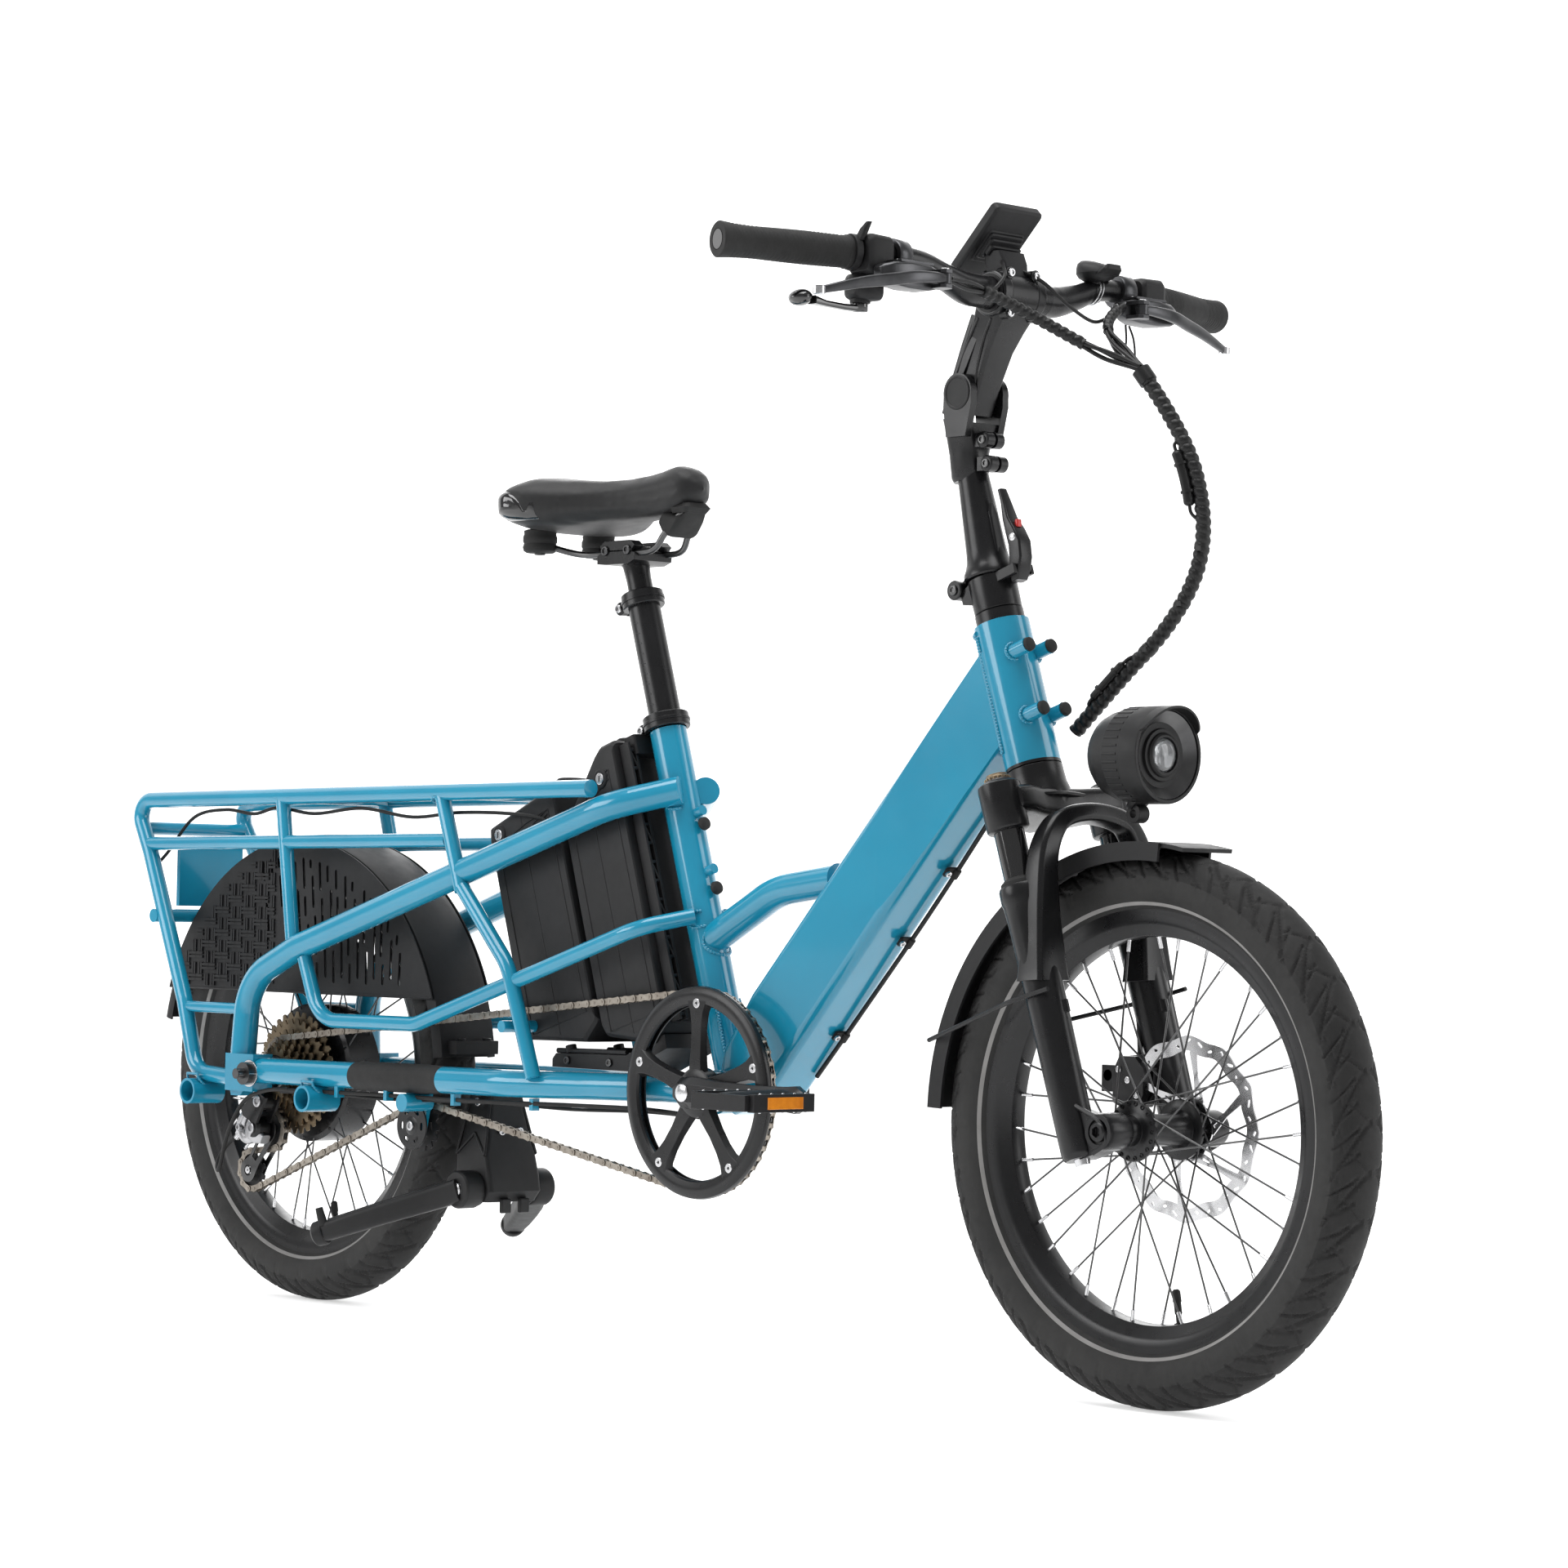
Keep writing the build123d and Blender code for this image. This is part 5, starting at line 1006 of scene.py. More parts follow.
def crank_arm(s, c, side, along, inner, waist):
    """Forged crank arm on one side, from behind its boss to past its pedal eye."""
    rows = []
    for x, half, y_out, y_in in ((-17, 8, 82, inner), (-8, 16, 84, inner), (10, 17, 84, inner),
                                 (45, 13.5, 81, inner),
                                 (100, 12, 79.5, waist), (145, 12.5, 80.5, 70.5), (165, 14, 84, 70),
                                 (177, 8, 82, 71)):
        p = c + along * x
        shoulder = y_in + (y_out - y_in) * 0.55
        half_row = ((y_in, half), (shoulder, half), (y_out, half * 0.55))
        low = [p + Y * side * y - Z * h for y, h in half_row]
        rows.append(low + [p + Y * side * y + Z * h for y, h in reversed(half_row)])
    s.rings(rows)


def build_guard():
    """Crank with its pierced chain guard: rim, five sculpted spokes and a centre boss."""
    s = Shape()
    c = Vector((RING_C.x, 0, RING_C.y))
    s.lathe(c, Y, [(-66.5, 98), (-67, 101), (-66.5, 106), (-64.5, 110), (-60.5, 111), (-58.0, 110.2),
                   (-58.0, 95), (-59.5, 92), (-63, 91.2), (-65.5, 93)], 128)
    s.lathe(c, Y, [(-68.0, 12), (-68.0, 22), (-66, 25.8), (-50.5, 25.8), (-50.5, 12)], 60)
    for n in range(5):
        a = math.radians(72 * n + 18)
        u = Vector((math.cos(a), 0, math.sin(a)))
        w = Vector((-math.sin(a), 0, math.cos(a)))

        def row(r, half, y0, y1):
            p = c + u * r
            return [p - w * half + Y * y1, p - w * (half * 0.72) + Y * y0, p + w * (half * 0.72) + Y * y0,
                    p + w * half + Y * y1]
        s.rings([row(20, 13, -66.5, -59), row(32, 11.5, -66.8, -59), row(50, 10, -65.8, -59),
                 row(70, 10.5, -65.8, -59), row(84, 13, -66.2, -59), row(96, 20, -66.2, -59)])
        s.lathe(c + u * 93, Y, [(-66.8, 1.5), (-66.8, 4.6), (-66, 5.4), (-55.2, 5.4), (-55.2, 1.5)], 20,
                mat=1)
    crank_arm(s, c, -1, X, 69.5, 70)
    s.lathe(c, Y, [(-86, 0.3), (-86, 8), (-85, 9.5), (-83.5, 9.5), (-83.5, 0.3)], 24, mat=1)
    s.lathe(c, Y, [(-70, 0.3), (-70, 11.9), (69.5, 11.9), (69.5, 0.3)], 32, mat=1)
    spindle = [(-176, 0.2), (-176, 4.3), (-86, 4.3), (-86, 7.4), (-69.2, 7.4), (-69.2, 0.2)]
    s.lathe(c + X * CRANK_LEN, Y, spindle, 24, mat=1)
    return piece(s, "right_crank_and_guard", "crankset", "black_satin steel_bright",
                 replaces=["right_crank"], angle=35, bevel=0.8)


build_guard()


def build_left_crank():
    """Left crank arm with its bolt and pedal spindle."""
    s = Shape()
    c = Vector((RING_C.x, 0, RING_C.y))
    crank_arm(s, c, 1, -X, 70, 70.5)
    s.lathe(c, Y, [(83.5, 0.3), (83.5, 9.5), (85, 9.5), (86, 8), (86, 0.3)], 24, mat=1)
    s.lathe(c - X * CRANK_LEN, Y, [(69.2, 0.2), (69.2, 7.4), (86, 7.4), (86, 4.3), (176, 4.3), (176, 0.2)],
            24, mat=1)
    return piece(s, "left_crank_arm", "crankset", "black_satin steel_bright", replaces=["left_crank"],
                 angle=35, bevel=0.8)


build_left_crank()


def build_pedal(side, joint, name, body, node):
    """Platform pedal: cage with studs, bearing barrel and amber reflectors front and back."""
    s = Shape()
    p = joint_at(joint)
    y0, y1 = 90.0, 182.0
    cx, cz = p.x, p.z

    def blk(x0, x1, ya, yb, z0, z1, mat=0):
        a, b = sorted((side * ya, side * yb))
        s.box((cx + x0, a, cz + z0), (cx + x1, b, cz + z1), mat)
    for sx in (-1, 1):
        xa, xb = sorted((sx * 37, sx * 47))
        blk(xa, xb, y0 + 4, y1 - 6, -9, 9)
        for k in range(5):
            y = y0 + 12 + k * 15.5
            for zz in (-1, 1):
                s.rod((cx + sx * 42, side * y, cz + zz * 8.5), (cx + sx * 42, side * y, cz + zz * 10.0),
                      1.6, 1.2, 8, mat=1)
        blk(*sorted((sx * 46.2, sx * 47.9)), y0 + 20, y1 - 24, -6.0, 6.0, 2)
    for ya in (y0, y1 - 9, y0 + 40):
        w = 9 if ya != y0 + 40 else 6
        blk(-40, 40, ya, ya + w, -8, 8)
    for sx in (-1, 1):
        for ya in (y0 + 22, y0 + 62):
            blk(*sorted((sx * 14, sx * 40)), ya, ya + 4, -6, 6)
    s.lathe((cx, 0, cz), Y, [(side * (y0 - 0.2), 4.9), (side * (y0 - 0.2), 10.5), (side * (y0 + 8), 11.5),
                             (side * (y1 - 12), 10.0), (side * (y1 - 3), 9.2), (side * (y1 - 1), 6),
                             (side * (y1 - 1), 4.9)], 28)
    return piece(s, name, body, "black_plastic steel_bright amber", replaces=[node],
                 angle=35, bevel=0.8)


build_pedal(-1, "right_pedal_spin", "right_pedal_platform", "right_pedal_unit", "right_pedal")
build_pedal(1, "left_pedal_spin", "left_pedal_platform", "left_pedal_unit", "left_pedal")

# ------------------------------------------------------------------ cords
LOOM_MAIN = [(1222, 60, 1003), (1267, 75, 940), (1287, 85, 868), (1283, 85, 806), (1255, 70, 748),
             (1210, 52, 700),
             (1160, 42, 648)]
LOOM_RIGHT = [(1139, -124, 1080), (1128, -62, 1076), (1148, 0, 1050), (1184, 36, 1022), (1224, 58, 1004)]
LOOM_LEFT = [(1139, 124, 1080), (1144, 92, 1066), (1168, 74, 1036), (1222, 62, 1004)]
FRAME_CABLE = [(1115.5, 20, 619.0), (1033.9, 20, 522.4), (932.2, 20, 410.0), (820.2, 20, 293.2)]


def cord_line(name, route):
    """Points in millimetres along a smooth spline with the route's points as its control points."""
    curve = bpy.data.curves.new(name, "CURVE")
    curve.dimensions = "3D"
    spline = curve.splines.new("NURBS")
    spline.points.add(len(route) - 1)
    for point, at in zip(spline.points, route):
        point.co = (*V(*at), 1)
    spline.order_u = 3
    spline.use_endpoint_u = True
    spline.resolution_u = 24
    probe = bpy.data.objects.new(name + "_line", curve)
    mesh = bpy.data.meshes.new_from_object(probe)
    pts = [Vector(((v.co.x - ORIGIN_X) * 1000, v.co.y * 1000, v.co.z * 1000)) for v in mesh.vertices]
    bpy.data.objects.remove(probe)
    bpy.data.meshes.remove(mesh)
    return pts


def wrapped(shape, pts, r, pitch, depth, mat=0, sides=20):
    """Spiral wrap round a cord: rounded turns with a groove between them."""
    rows = []
    step = pitch / 8
    for i, (p, u, w) in enumerate(carried(even(pts, step))):
        ring = []
        for j in range(sides):
            a = 2 * math.pi * j / sides
            phase = (i * step / pitch - j / sides) % 1
            swell = math.sin(math.pi * phase) ** 0.6
            ring.append(p + (u * math.cos(a) + w * math.sin(a)) * (r - depth * (1 - swell)))
        rows.append(ring)
    return shape.rings(rows, mat)


def strands(shape, pts, count, spread, r, turn=0.4, mat=0):
    """Thin cables lying side by side round a line."""
    line = carried(even(pts, 3.0))
    n = len(line)
    for k in range(count):
        path = []
        for i, (p, u, w) in enumerate(line):
            a = 2 * math.pi * k / count + turn * math.pi * i / n
            tight = 1.0 - 0.35 * math.cos(2 * math.pi * i / max(n - 1, 1))
            path.append(p + (u * math.cos(a) + w * math.sin(a)) * spread * tight)
        shape.tube(path, r, 10, mat)
    return shape


def beside(pts, at, offset, length, r, shape, mat=0):
    """Inline connector lying beside a cord, with its thin wires joining the cord."""
    line = carried(even(pts, 2.0))
    i = round(at * (len(line) - 1))
    half = max(2, round(length / 4))
    seg_pts = [line[k][0] + offset for k in range(i - half, i + half + 1)]
    radii = [r * 0.55, r * 0.95] + [r] * (len(seg_pts) - 4) + [r * 0.95, r * 0.55]
    shape.tube(seg_pts, radii, 12, mat, squash=(1.0, 0.8))
    for side in (-1, 1):
        root = seg_pts[0] if side < 0 else seg_pts[-1]
        k = i + side * (half + 8)
        k = max(0, min(len(line) - 1, k))
        mid = (root + line[k][0]) / 2 + offset * 0.35
        shape.tube(smooth_line([root, mid, line[k][0]], 6), 1.7, 8, mat)
    for k in (-half // 2, half // 2):
        p = line[i + k][0] + offset
        d = (line[i + k + 1][0] - line[i + k - 1][0]).normalized()
        shape.tube([p - d * 1.2, p + d * 1.2], r * 1.12, 14, mat)
    return shape


main_line = cord_line("loom_main", LOOM_MAIN)
right_line = cord_line("loom_right", LOOM_RIGHT)
left_line = cord_line("loom_left", LOOM_LEFT)
INWARD = Vector((-0.55, -0.62, 0.1))

LOWER_FROM = 0.74
s = Shape()
wrapped(s, part_of(main_line, 0.02, LOWER_FROM), 8.0, 9.0, 2.0)
s.tube(part_of(main_line, 0.0, 0.035), 9.4, 20)
wrapped(s, part_of(right_line, 0.22, 0.74), 6.4, 8.5, 1.7)
strands(s, part_of(right_line, 0.0, 0.26), 3, 3.0, 2.2)
strands(s, part_of(right_line, 0.70, 1.0), 3, 3.2, 2.3)
wrapped(s, part_of(left_line, 0.10, 0.42), 5.6, 8.0, 1.3)
s.tube(part_of(left_line, 0.0, 0.12), 3.4, 14)
strands(s, part_of(left_line, 0.38, 1.0), 4, 3.6, 2.2)
beside(main_line, 0.30, INWARD * 15, 58, 6.2, s)
tie = carried(even(main_line, 2.0))
for at in (0.46, 0.60, 0.735):
    p, u, w = tie[round(at * (len(tie) - 1))]
    d = u.cross(w)
    s.tube([p - d * 1.6, p + d * 1.6], 7.9, 18)
    s.box(p + u * 6.5 - Vector((2.4, 2.4, 2.4)), p + u * 6.5 + Vector((2.4, 2.4, 2.4)))
loop = [(1134, 132, 1062), (1139, 128, 1046), (1143, 122, 1032), (1142, 132, 1020), (1138, 142, 1030),
        (1136, 142, 1048),
        (1133, 138, 1062)]
s.tube(smooth_line(loop, 8), 1.1, 8)
display_wire = [(1106, 8, 1106), (1124, 22, 1094), (1134, 48, 1073), (1138, 78, 1060), (1140, 96, 1064),
                (1139, 112, 1072)]
s.tube(smooth_line(display_wire, 8), 1.9, 10)
clamp_wire = [(1092, -6, 1116), (1108, -20, 1110), (1127, -36, 1094), (1128, -50, 1080), (1132, -66, 1076)]
s.tube(smooth_line(clamp_wire, 8), 1.9, 10)
piece(s, "control_loom_wrapped", "handlebar_unit", "jacket", replaces=["control_loom"],
      angle=50)

s = Shape()
wrapped(s, part_of(main_line, LOWER_FROM - 0.015, 1.0), 8.0, 9.0, 2.0)
beside(main_line, 0.84, INWARD * 13, 50, 5.0, s)
lower_loom = piece(s, "control_loom_lower_end", None, "jacket", angle=50)
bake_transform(lower_loom)

under_line = cord_line("frame_cable_line", FRAME_CABLE)
s = Shape()
s.tube(even(under_line, 6.0), 2.5, 12)
piece(s, "down_tube_cable", "frame", "jacket", replaces=["frame_cable"])
# ------------------------------------------------------------------ cockpit
def steer_at(s, f=0.0, y=0.0):
    """Point s up the steering axis from the head tube's foot, f in front of it."""
    p, axis = joint_at("steering_turn"), Vector(JOINTS["steering_turn"]["axis"])
    return p + axis * s + Vector((axis.z, 0, -axis.x)) * f + Y * y


def mast_x(z):
    """The mast's forward place at a height."""
    return steer_at(197.6).x - (z - steer_at(197.6).z) * math.tan(math.radians(13.4))


BAR_AT = Vector((1100.0, 0, 1080.0))
PIVOT_AT = joint_at("stem_pitch")
GRIP_IN, GRIP_OUT = Vector((1058 + 37 * 0.9, 200 + 146 * 0.1, 1100)), Vector((1056.8, 350.8, 1100))


def build_bar():
    """Swept handlebar, thick at its clamp and drawn down to the grips."""
    half = [(1058, 349, 1100), (1078, 270, 1100), (1094, 206, 1100.5), (1100.5, 152, 1101),
            (1101.5, 120, 1098),
            (1101, 92, 1088.5), (1100, 64, 1081), (1100, 40, 1080)]
    line = smooth_line(half + [(x, -y, z) for x, y, z in reversed(half)], 10)
    radii = [11.1 + 4.8 * max(0.0, min(1.0, (112 - abs(p.y)) / 50)) for p in line]
    s = Shape().tube(line, radii, 32)
    for side in (-1, 1):
        for k in range(5):
            y = side * (38.5 + 1.6 * k)
            s.lathe((1100, y, 1080), Y, [(-0.3, 15.2), (-0.3, 16.05), (0.3, 16.05), (0.3, 15.2)], 40)
    return piece(s, "handlebar_swept", "handlebar_unit", "black_satin", replaces=["handlebar"])


build_bar()


def build_grips():
    """Flared rubber grips with a fine ribbed field, closed ends and alloy clamp collars."""
    s = Shape()
    for side in (-1, 1):
        a, b = Vector((GRIP_IN.x, side * GRIP_IN.y, GRIP_IN.z)), Vector((GRIP_OUT.x, side * GRIP_OUT.y,
                                                                         GRIP_OUT.z))
        length = (b - a).length
        d = (b - a).normalized()
        u, w = frame_of(d)
        rows, sides = [], 40
        count = 150
        for i in range(count + 1):
            t = i / count
            x = t * length
            flare = 2.0 * max(0.0, (t - 0.72) / 0.28) ** 2 + 0.7 * math.sin(math.pi * min(t / 0.7, 1))
            base = 15.6 + flare + (0.9 if t < 0.03 else 0)
            ring = []
            for j in range(sides):
                ang = 2 * math.pi * j / sides
                rib = 0.0
                if 0.06 < t < 0.93:
                    rib = 0.45 * (1 if (x + 6 * math.sin(2 * ang)) % 4.2 < 2.1 else 0)
                    if 0.30 < t < 0.72 and math.cos(ang - 0.6) > 0.1:
                        rib = 0.1
                ring.append(a + d * x + (u * math.cos(ang) + w * math.sin(ang)) * (base - rib))
            rows.append(ring)
        last = rows[-1]
        rows.append([b + d * 1.2 + (p - b) * 0.93 for p in last])
        rows.append([b + d * 1.4 + (p - b) * 0.62 for p in last])
        rows.append([b + d * 0.6 + (p - b) * 0.58 for p in last])
        s.rings(rows)
        s.tube([b - d * 0.5, b + d * 1.3], 9.5, 32, mat=1)
        s.tube([a - d * 7, a - d * 6, a - d * 1, a], [15.2, 16.6, 16.6, 15.8], 36, mat=2)
        s.bolt(a - d * 3.6 + Vector((0, 0, -15.2)), -Z, 3.2, 2.6, mat=1)
    return piece(s, "grips_ribbed", "handlebar_unit", "rubber gloss_black alloy_satin", replaces=["grips"],
                 angle=32)


build_grips()


def blade(side):
    """Flattened lever blade with its ball end, pivot eye and reach screw."""
    s = Shape()
    pivot = joint_at("right_brake_squeeze" if side < 0 else "left_brake_squeeze")
    px, z = pivot.x, pivot.z
    half = [(px, 138, z), (px + 3.5, 156, z - 0.5), (px + 3, 184, z - 3), (px - 3, 212, z - 8),
            (px - 9, 240, z - 13),
            (px - 15, 268, z - 20), (px - 20, 287, z - 25)]
    pts = smooth_line([(x, side * y, zz) for x, y, zz in half], 7)
    n = len(pts)
    rows = []
    for i, p in enumerate(pts):
        t = i / (n - 1)
        d = (pts[min(i + 1, n - 1)] - pts[max(i - 1, 0)]).normalized()
        out = d.cross(Z).normalized()
        thick = 4.4 - 1.4 * t
        tall = 4.0 + 2.2 * math.sin(math.pi * min(1, t * 1.1))
        rows.append([p + out * thick * math.copysign(abs(math.cos(a)) ** 0.6, math.cos(a))
                     + Z * tall * math.copysign(abs(math.sin(a)) ** 0.6, math.sin(a))
                     for a in (2 * math.pi * j / 16 for j in range(16))])
    s.rings(rows)
    end = pts[-1]
    s.tube([end - Z * 4.4, end - Z * 3.4, end + Z * 3.4, end + Z * 4.4], [4.2, 6.2, 6.2, 4.2], 20, mat=1)
    c = Vector((px, side * 140, z))
    s.lathe(c, Z, [(-4.9, 2.6), (-4.9, 6.4), (4.9, 6.4), (4.9, 2.6)], 28)
    s.lathe(c, Z, [(-4.95, 2.56), (-4.95, 3.6), (4.95, 3.6), (4.95, 2.56)], 20, mat=1)
    name = "right" if side < 0 else "left"
    return piece(s, name + "_brake_blade", name + "_lever", "lever_grey steel_bright",
                 replaces=[name + "_brake_lever"], angle=40)


blade(-1)
blade(1)


def build_controls():
    """Lever bodies with clamps, cable fittings and switch housings, the shifter pod and the bell."""
    s = Shape()
    for side in (-1, 1):
        def at(x, y, z):
            return Vector((x, side * y, z))
        body = [(130, 6, 6), (133, 8, 8), (138, 10, 10), (150, 13, 12.5), (176, 13.5, 13), (196, 12, 11),
                (206, 8, 8), (209, 5, 5)]
        sections = [(at(1127, y, 1078), X, Z, rounded(a, b, 3.5)) for y, a, b in body]
        loft(s, sections, 0)
        s.box(at(1116, 144, 1090) if side > 0 else at(1116, 188, 1090),
              at(1138, 188, 1092.5) if side > 0 else at(1138, 144, 1092.5), 0)
        for y in (150, 182):
            s.bolt(at(1127, y, 1092.3), Z, 2.6, 1.2, mat=2)
        s.lathe(at(1100, 160, 1101), Vector((0.05, side, 0)),
                [(-9, 11.3), (-9, 16), (-7.5, 17), (7.5, 17), (9, 16), (9, 11.3)], 40, 0)
        s.box(Vector((1094, min(side * 152, side * 168), 1080)),
              Vector((1120, max(side * 152, side * 168), 1092)), 0)
        s.bolt(at(1104, 160, 1080.5), -Z, 3.4, 2.6, mat=2)
        s.tube([at(1128, 134, 1078), at(1130, 124, 1079), at(1131, 120, 1079.5)], [4.8, 4.8, 3.2], 18, 2)
        for y in (122, 125, 128):
            s.tube([at(1130.6, y, 1079.2), at(1130.6, y + 1.4, 1079.2)], 5.4, 18, 1)
        pivot = at(1149, 140, 1077)
        for dz in (-7.2, 7.2):
            plate = [(-14, -9), (2, -8), (6, -4), (6, 4), (2, 8), (-14, 9)]
            base = pivot + Z * (dz - 1.8)
            s.prism(plate, base, X, Y, 3.6, 0)
        s.bolt(pivot + Z * 8.6, Z, 4.2, 1.8, mat=2)
        housing = [(y, hx, hz) for y, hx, hz in ((176, 10, 10), (180, 13, 13), (204, 14, 13.5),
                                                 (210, 11, 11))]
        loft(s, [(at(1101, y, 1098), X, Z, rounded(a + 4, b + 6, 8)) for y, a, b in housing], 1)
    # shifter pod under the bar, its band and indicator window
    pod = [(-211, 9, 8), (-207, 14, 12), (-196, 18, 14), (-184, 17, 13), (-179, 11, 9)]
    loft(s, [((1093, y, 1068), X, Z, rounded(a, b, 7)) for y, a, b in pod], 1)
    s.tube([(1092, -198, 1052), (1092, -198, 1056)], 10, 24, 1)
    s.bolt((1092, -198, 1054), -Z, 6.0, 1.2, mat=2)
    s.lathe((1097, -202, 1100), Vector((-0.05, -1, 0)), [(-6, 11.4), (-6, 16.4), (6, 16.4), (6, 11.4)], 36,
            1)
    # upright thumb tab beside the right grip
    s.lathe((1094, -212, 1100), Vector((-0.25, -1, 0)), [(-3.5, 11.4), (-3.5, 17.6), (3.5, 17.6),
                                                         (3.5, 11.4)], 36, 1)
    loft(s, [((1104, -212, 1110), X, Y, rounded(6, 3.4, 3)), ((1110, -211, 1121), X, Y, rounded(5, 3.4, 3)),
             ((1113, -208, 1128), X, Y, rounded(3, 3.0, 3))], 1)
    # bell: scooped dome on a wire band
    dome = [((1104, 116, 1106), 8, 9), ((1106, 117, 1110), 17, 18), ((1107, 117, 1114), 20.5, 21.5),
            ((1106, 116, 1119), 19, 20),
            ((1102, 115, 1124), 14, 16), ((1098, 114, 1127.5), 7, 9)]
    loft(s, [(c, X, Y, [(a * math.cos(t), b * math.sin(t))
                        for t in (2 * math.pi * j / 36 for j in range(36))])
             for c, a, b in dome], 1)
    loft(s, [((1120, 117, 1112), X, Y, rounded(6, 15, 5)), ((1127, 117, 1117), X, Y, rounded(5, 13, 5)),
             ((1130, 117, 1122), X, Y, rounded(2, 9, 2))], 1)
    s.tube([(1104, 116, 1086), (1104, 116, 1108)], 6.5, 20, 1)
    for k in (-2.2, 2.2):
        ring = [Vector((1101.5 + 14.2 * math.cos(t), 116 + k + 2.5 * math.sin(t),
                        1097.5 + 14.2 * math.sin(t)))
                for t in (2 * math.pi * j / 40 for j in range(40))]
        s.tube(ring, 0.9, 8, 2, closed=True)
    return piece(s, "bar_controls", "handlebar_unit", "lever_grey black_plastic steel_bright", bevel=0.6,
                 replaces=["handlebar_controls"], angle=38)


build_controls()


def build_shifter():
    """Thumb paddle on its arm."""
    s = Shape()
    at = joint_at("shifter_push")
    s.tube([at + Z * k for k in (-4.4, -3.4, 3.0, 3.6)], [6.8, 7.8, 7.8, 7.0], 28)
    line = [(0, 0, -1), (-3, -20, -1), (-4, -44, 0), (-6, -58, 2)]
    sections = [(at + Vector(p), X, Z, rounded(w, h, 2.4)) for p, w,
                h in zip(line, (5.5, 4.5, 5, 7), (3.4, 3, 3, 4))]
    loft(s, sections)
    pad = []
    for k in range(9):
        t = -1 + k / 4
        r = math.sqrt(max(0.03, 1 - t * t))
        outline = [(13 * r * math.cos(a), (6.5 + 2 * r) * r * math.sin(a))
                   for a in (2 * math.pi * j / 28 for j in range(28))]
        pad.append((at + Vector((-12 - 1.5 * t, -67 + 12.5 * t, 4 + 1.0 * t)), X, Z, outline))
    loft(s, pad)
    return piece(s, "shift_paddle", "shifter", "gloss_black", replaces=["shifter_lever"],
                 angle=50)


build_shifter()


def build_display():
    """Display slab with a bevelled rim, its stepped mount and two screws."""
    s = Shape()
    along_slab = Vector((61, 0, 60)).normalized()
    out = Vector((60, 0, -61)).normalized()
    foot = Vector((1049.5, 0, 1107.5))
    sections = [(foot + along_slab * 42 + out * d, Y, along_slab, rounded(33 - i, 42.5 - i, 5))
                for d, i in ((-6.2, 2.6), (-5.0, 0.8), (-3.8, 0.0), (3.4, 0.0), (4.8, 0.8), (6.0, 2.6))]
    loft(s, sections, 0)
    screen = [(foot + along_slab * 42 + out * d, Y, along_slab, rounded(29, 38, 3)) for d in (-6.5, -6.0)]
    loft(s, screen, 1)
    steps = ((46, 19.5, 24, 7.5), (44, 15.5, 23, 10.5), (40, 11, 22, 14), (35, 6.5, 21, 18))
    for top, half_len, half_w, d in steps:
        centre = foot + along_slab * (top - half_len + 12)
        loft(s, [(centre + out * e, Y, along_slab, rounded(half_w - i, half_len - i, 2.5))
                 for e, i in ((4.0, 0), (d - 1.2, 0), (d, 1.2))], 0)
    loft(s, [((1099, 0, 1097), Y, X, rounded(15, 12, 3)), ((1094, 0, 1112), Y, X, rounded(17, 14, 3)),
             ((1090, 0, 1124), Y, X, rounded(18, 12, 3))], 0)
    for y in (-7, 7):
        s.bolt(foot + along_slab * 14 + out * 17 + Y * y, out, 2.6, 1.6, mat=2)
    return piece(s, "display_unit", "handlebar_unit", "black_plastic gloss_black steel_dark", bevel=0.5,
                 replaces=["display"], angle=30)


build_display()


def build_stem():
    """Forged stem: box body with a flat back and panelled sides, split bar clamp and bolts."""
    s = Shape()
    line = [(1049, 966, 15, 16, 4), (1053, 984, 16.5, 17.5, 4), (1062, 1006, 17.5, 17, 4),
            (1074, 1032, 19, 16.5, 4),
            (1085, 1052, 22, 18, 5), (1094, 1068, 26, 20, 7), (1098, 1077, 27, 20, 8)]
    side_loft(s, line)
    back_line = [(1027, 966), (1040, 998), (1054, 1032), (1068, 1062)]
    sections = []
    for i, (x, z) in enumerate(back_line):
        sections.append(((x, 0, z), Y, Vector((1, 0, -0.42)).normalized(),
                         rounded(17.6 + 0.6 * i, 3.2, 1.2)))
    loft(s, sections)
    for side in (-1, 1):
        panel = [(1046, 1000), (1052, 997), (1082, 1052), (1076, 1058), (1066, 1050)]
        s.prism(panel, (0, side * 17.4, 0), X, Z, -side * 2.2, 0)
        s.tube(smooth_line([(1034, side * 16.5, 978), (1046, side * 18, 1006), (1062, side * 19.4, 1036),
                            (1078, side * 22, 1058)], 6), 1.5, 8, 0)
        s.tube(smooth_line([(1068, side * 16.8, 984), (1074, side * 18, 1010), (1084, side * 20.5, 1036),
                            (1098, side * 24, 1056)], 6), 1.5, 8, 0)
    s.lathe(BAR_AT, Y, [(-30, 16.1), (-30, 21), (-28.5, 22.6), (-19, 23), (-18, 22.2), (18, 22.2), (19, 23),
                        (28.5, 22.6),
                        (30, 21), (30, 16.1)], 56, 0)
    for side in (-1, 1):
        s.lathe(BAR_AT + Y * side * 30.2, Y, [(-0.8, 16.1), (-0.8, 19.5), (0.8, 19.5), (0.8, 16.1)], 48, 1)
        for z in (1060, 1100):
            lug = Vector((1112, side * 18, z))
            s.tube([lug - X * 9, lug + X * 6], 6.2, 20, 0)
            s.bolt(lug + X * 5.8, X, 4.2, 3.0, mat=2)
    s.bolt((1066, -16, 1058), Vector((-0.3, -1, 0)), 5.2, 2.0, mat=2)
    return piece(s, "stem_body", "handlebar_unit", "black_satin black_powder steel_bright", bevel=0.8,
                 replaces=["stem"], angle=32)


build_stem()


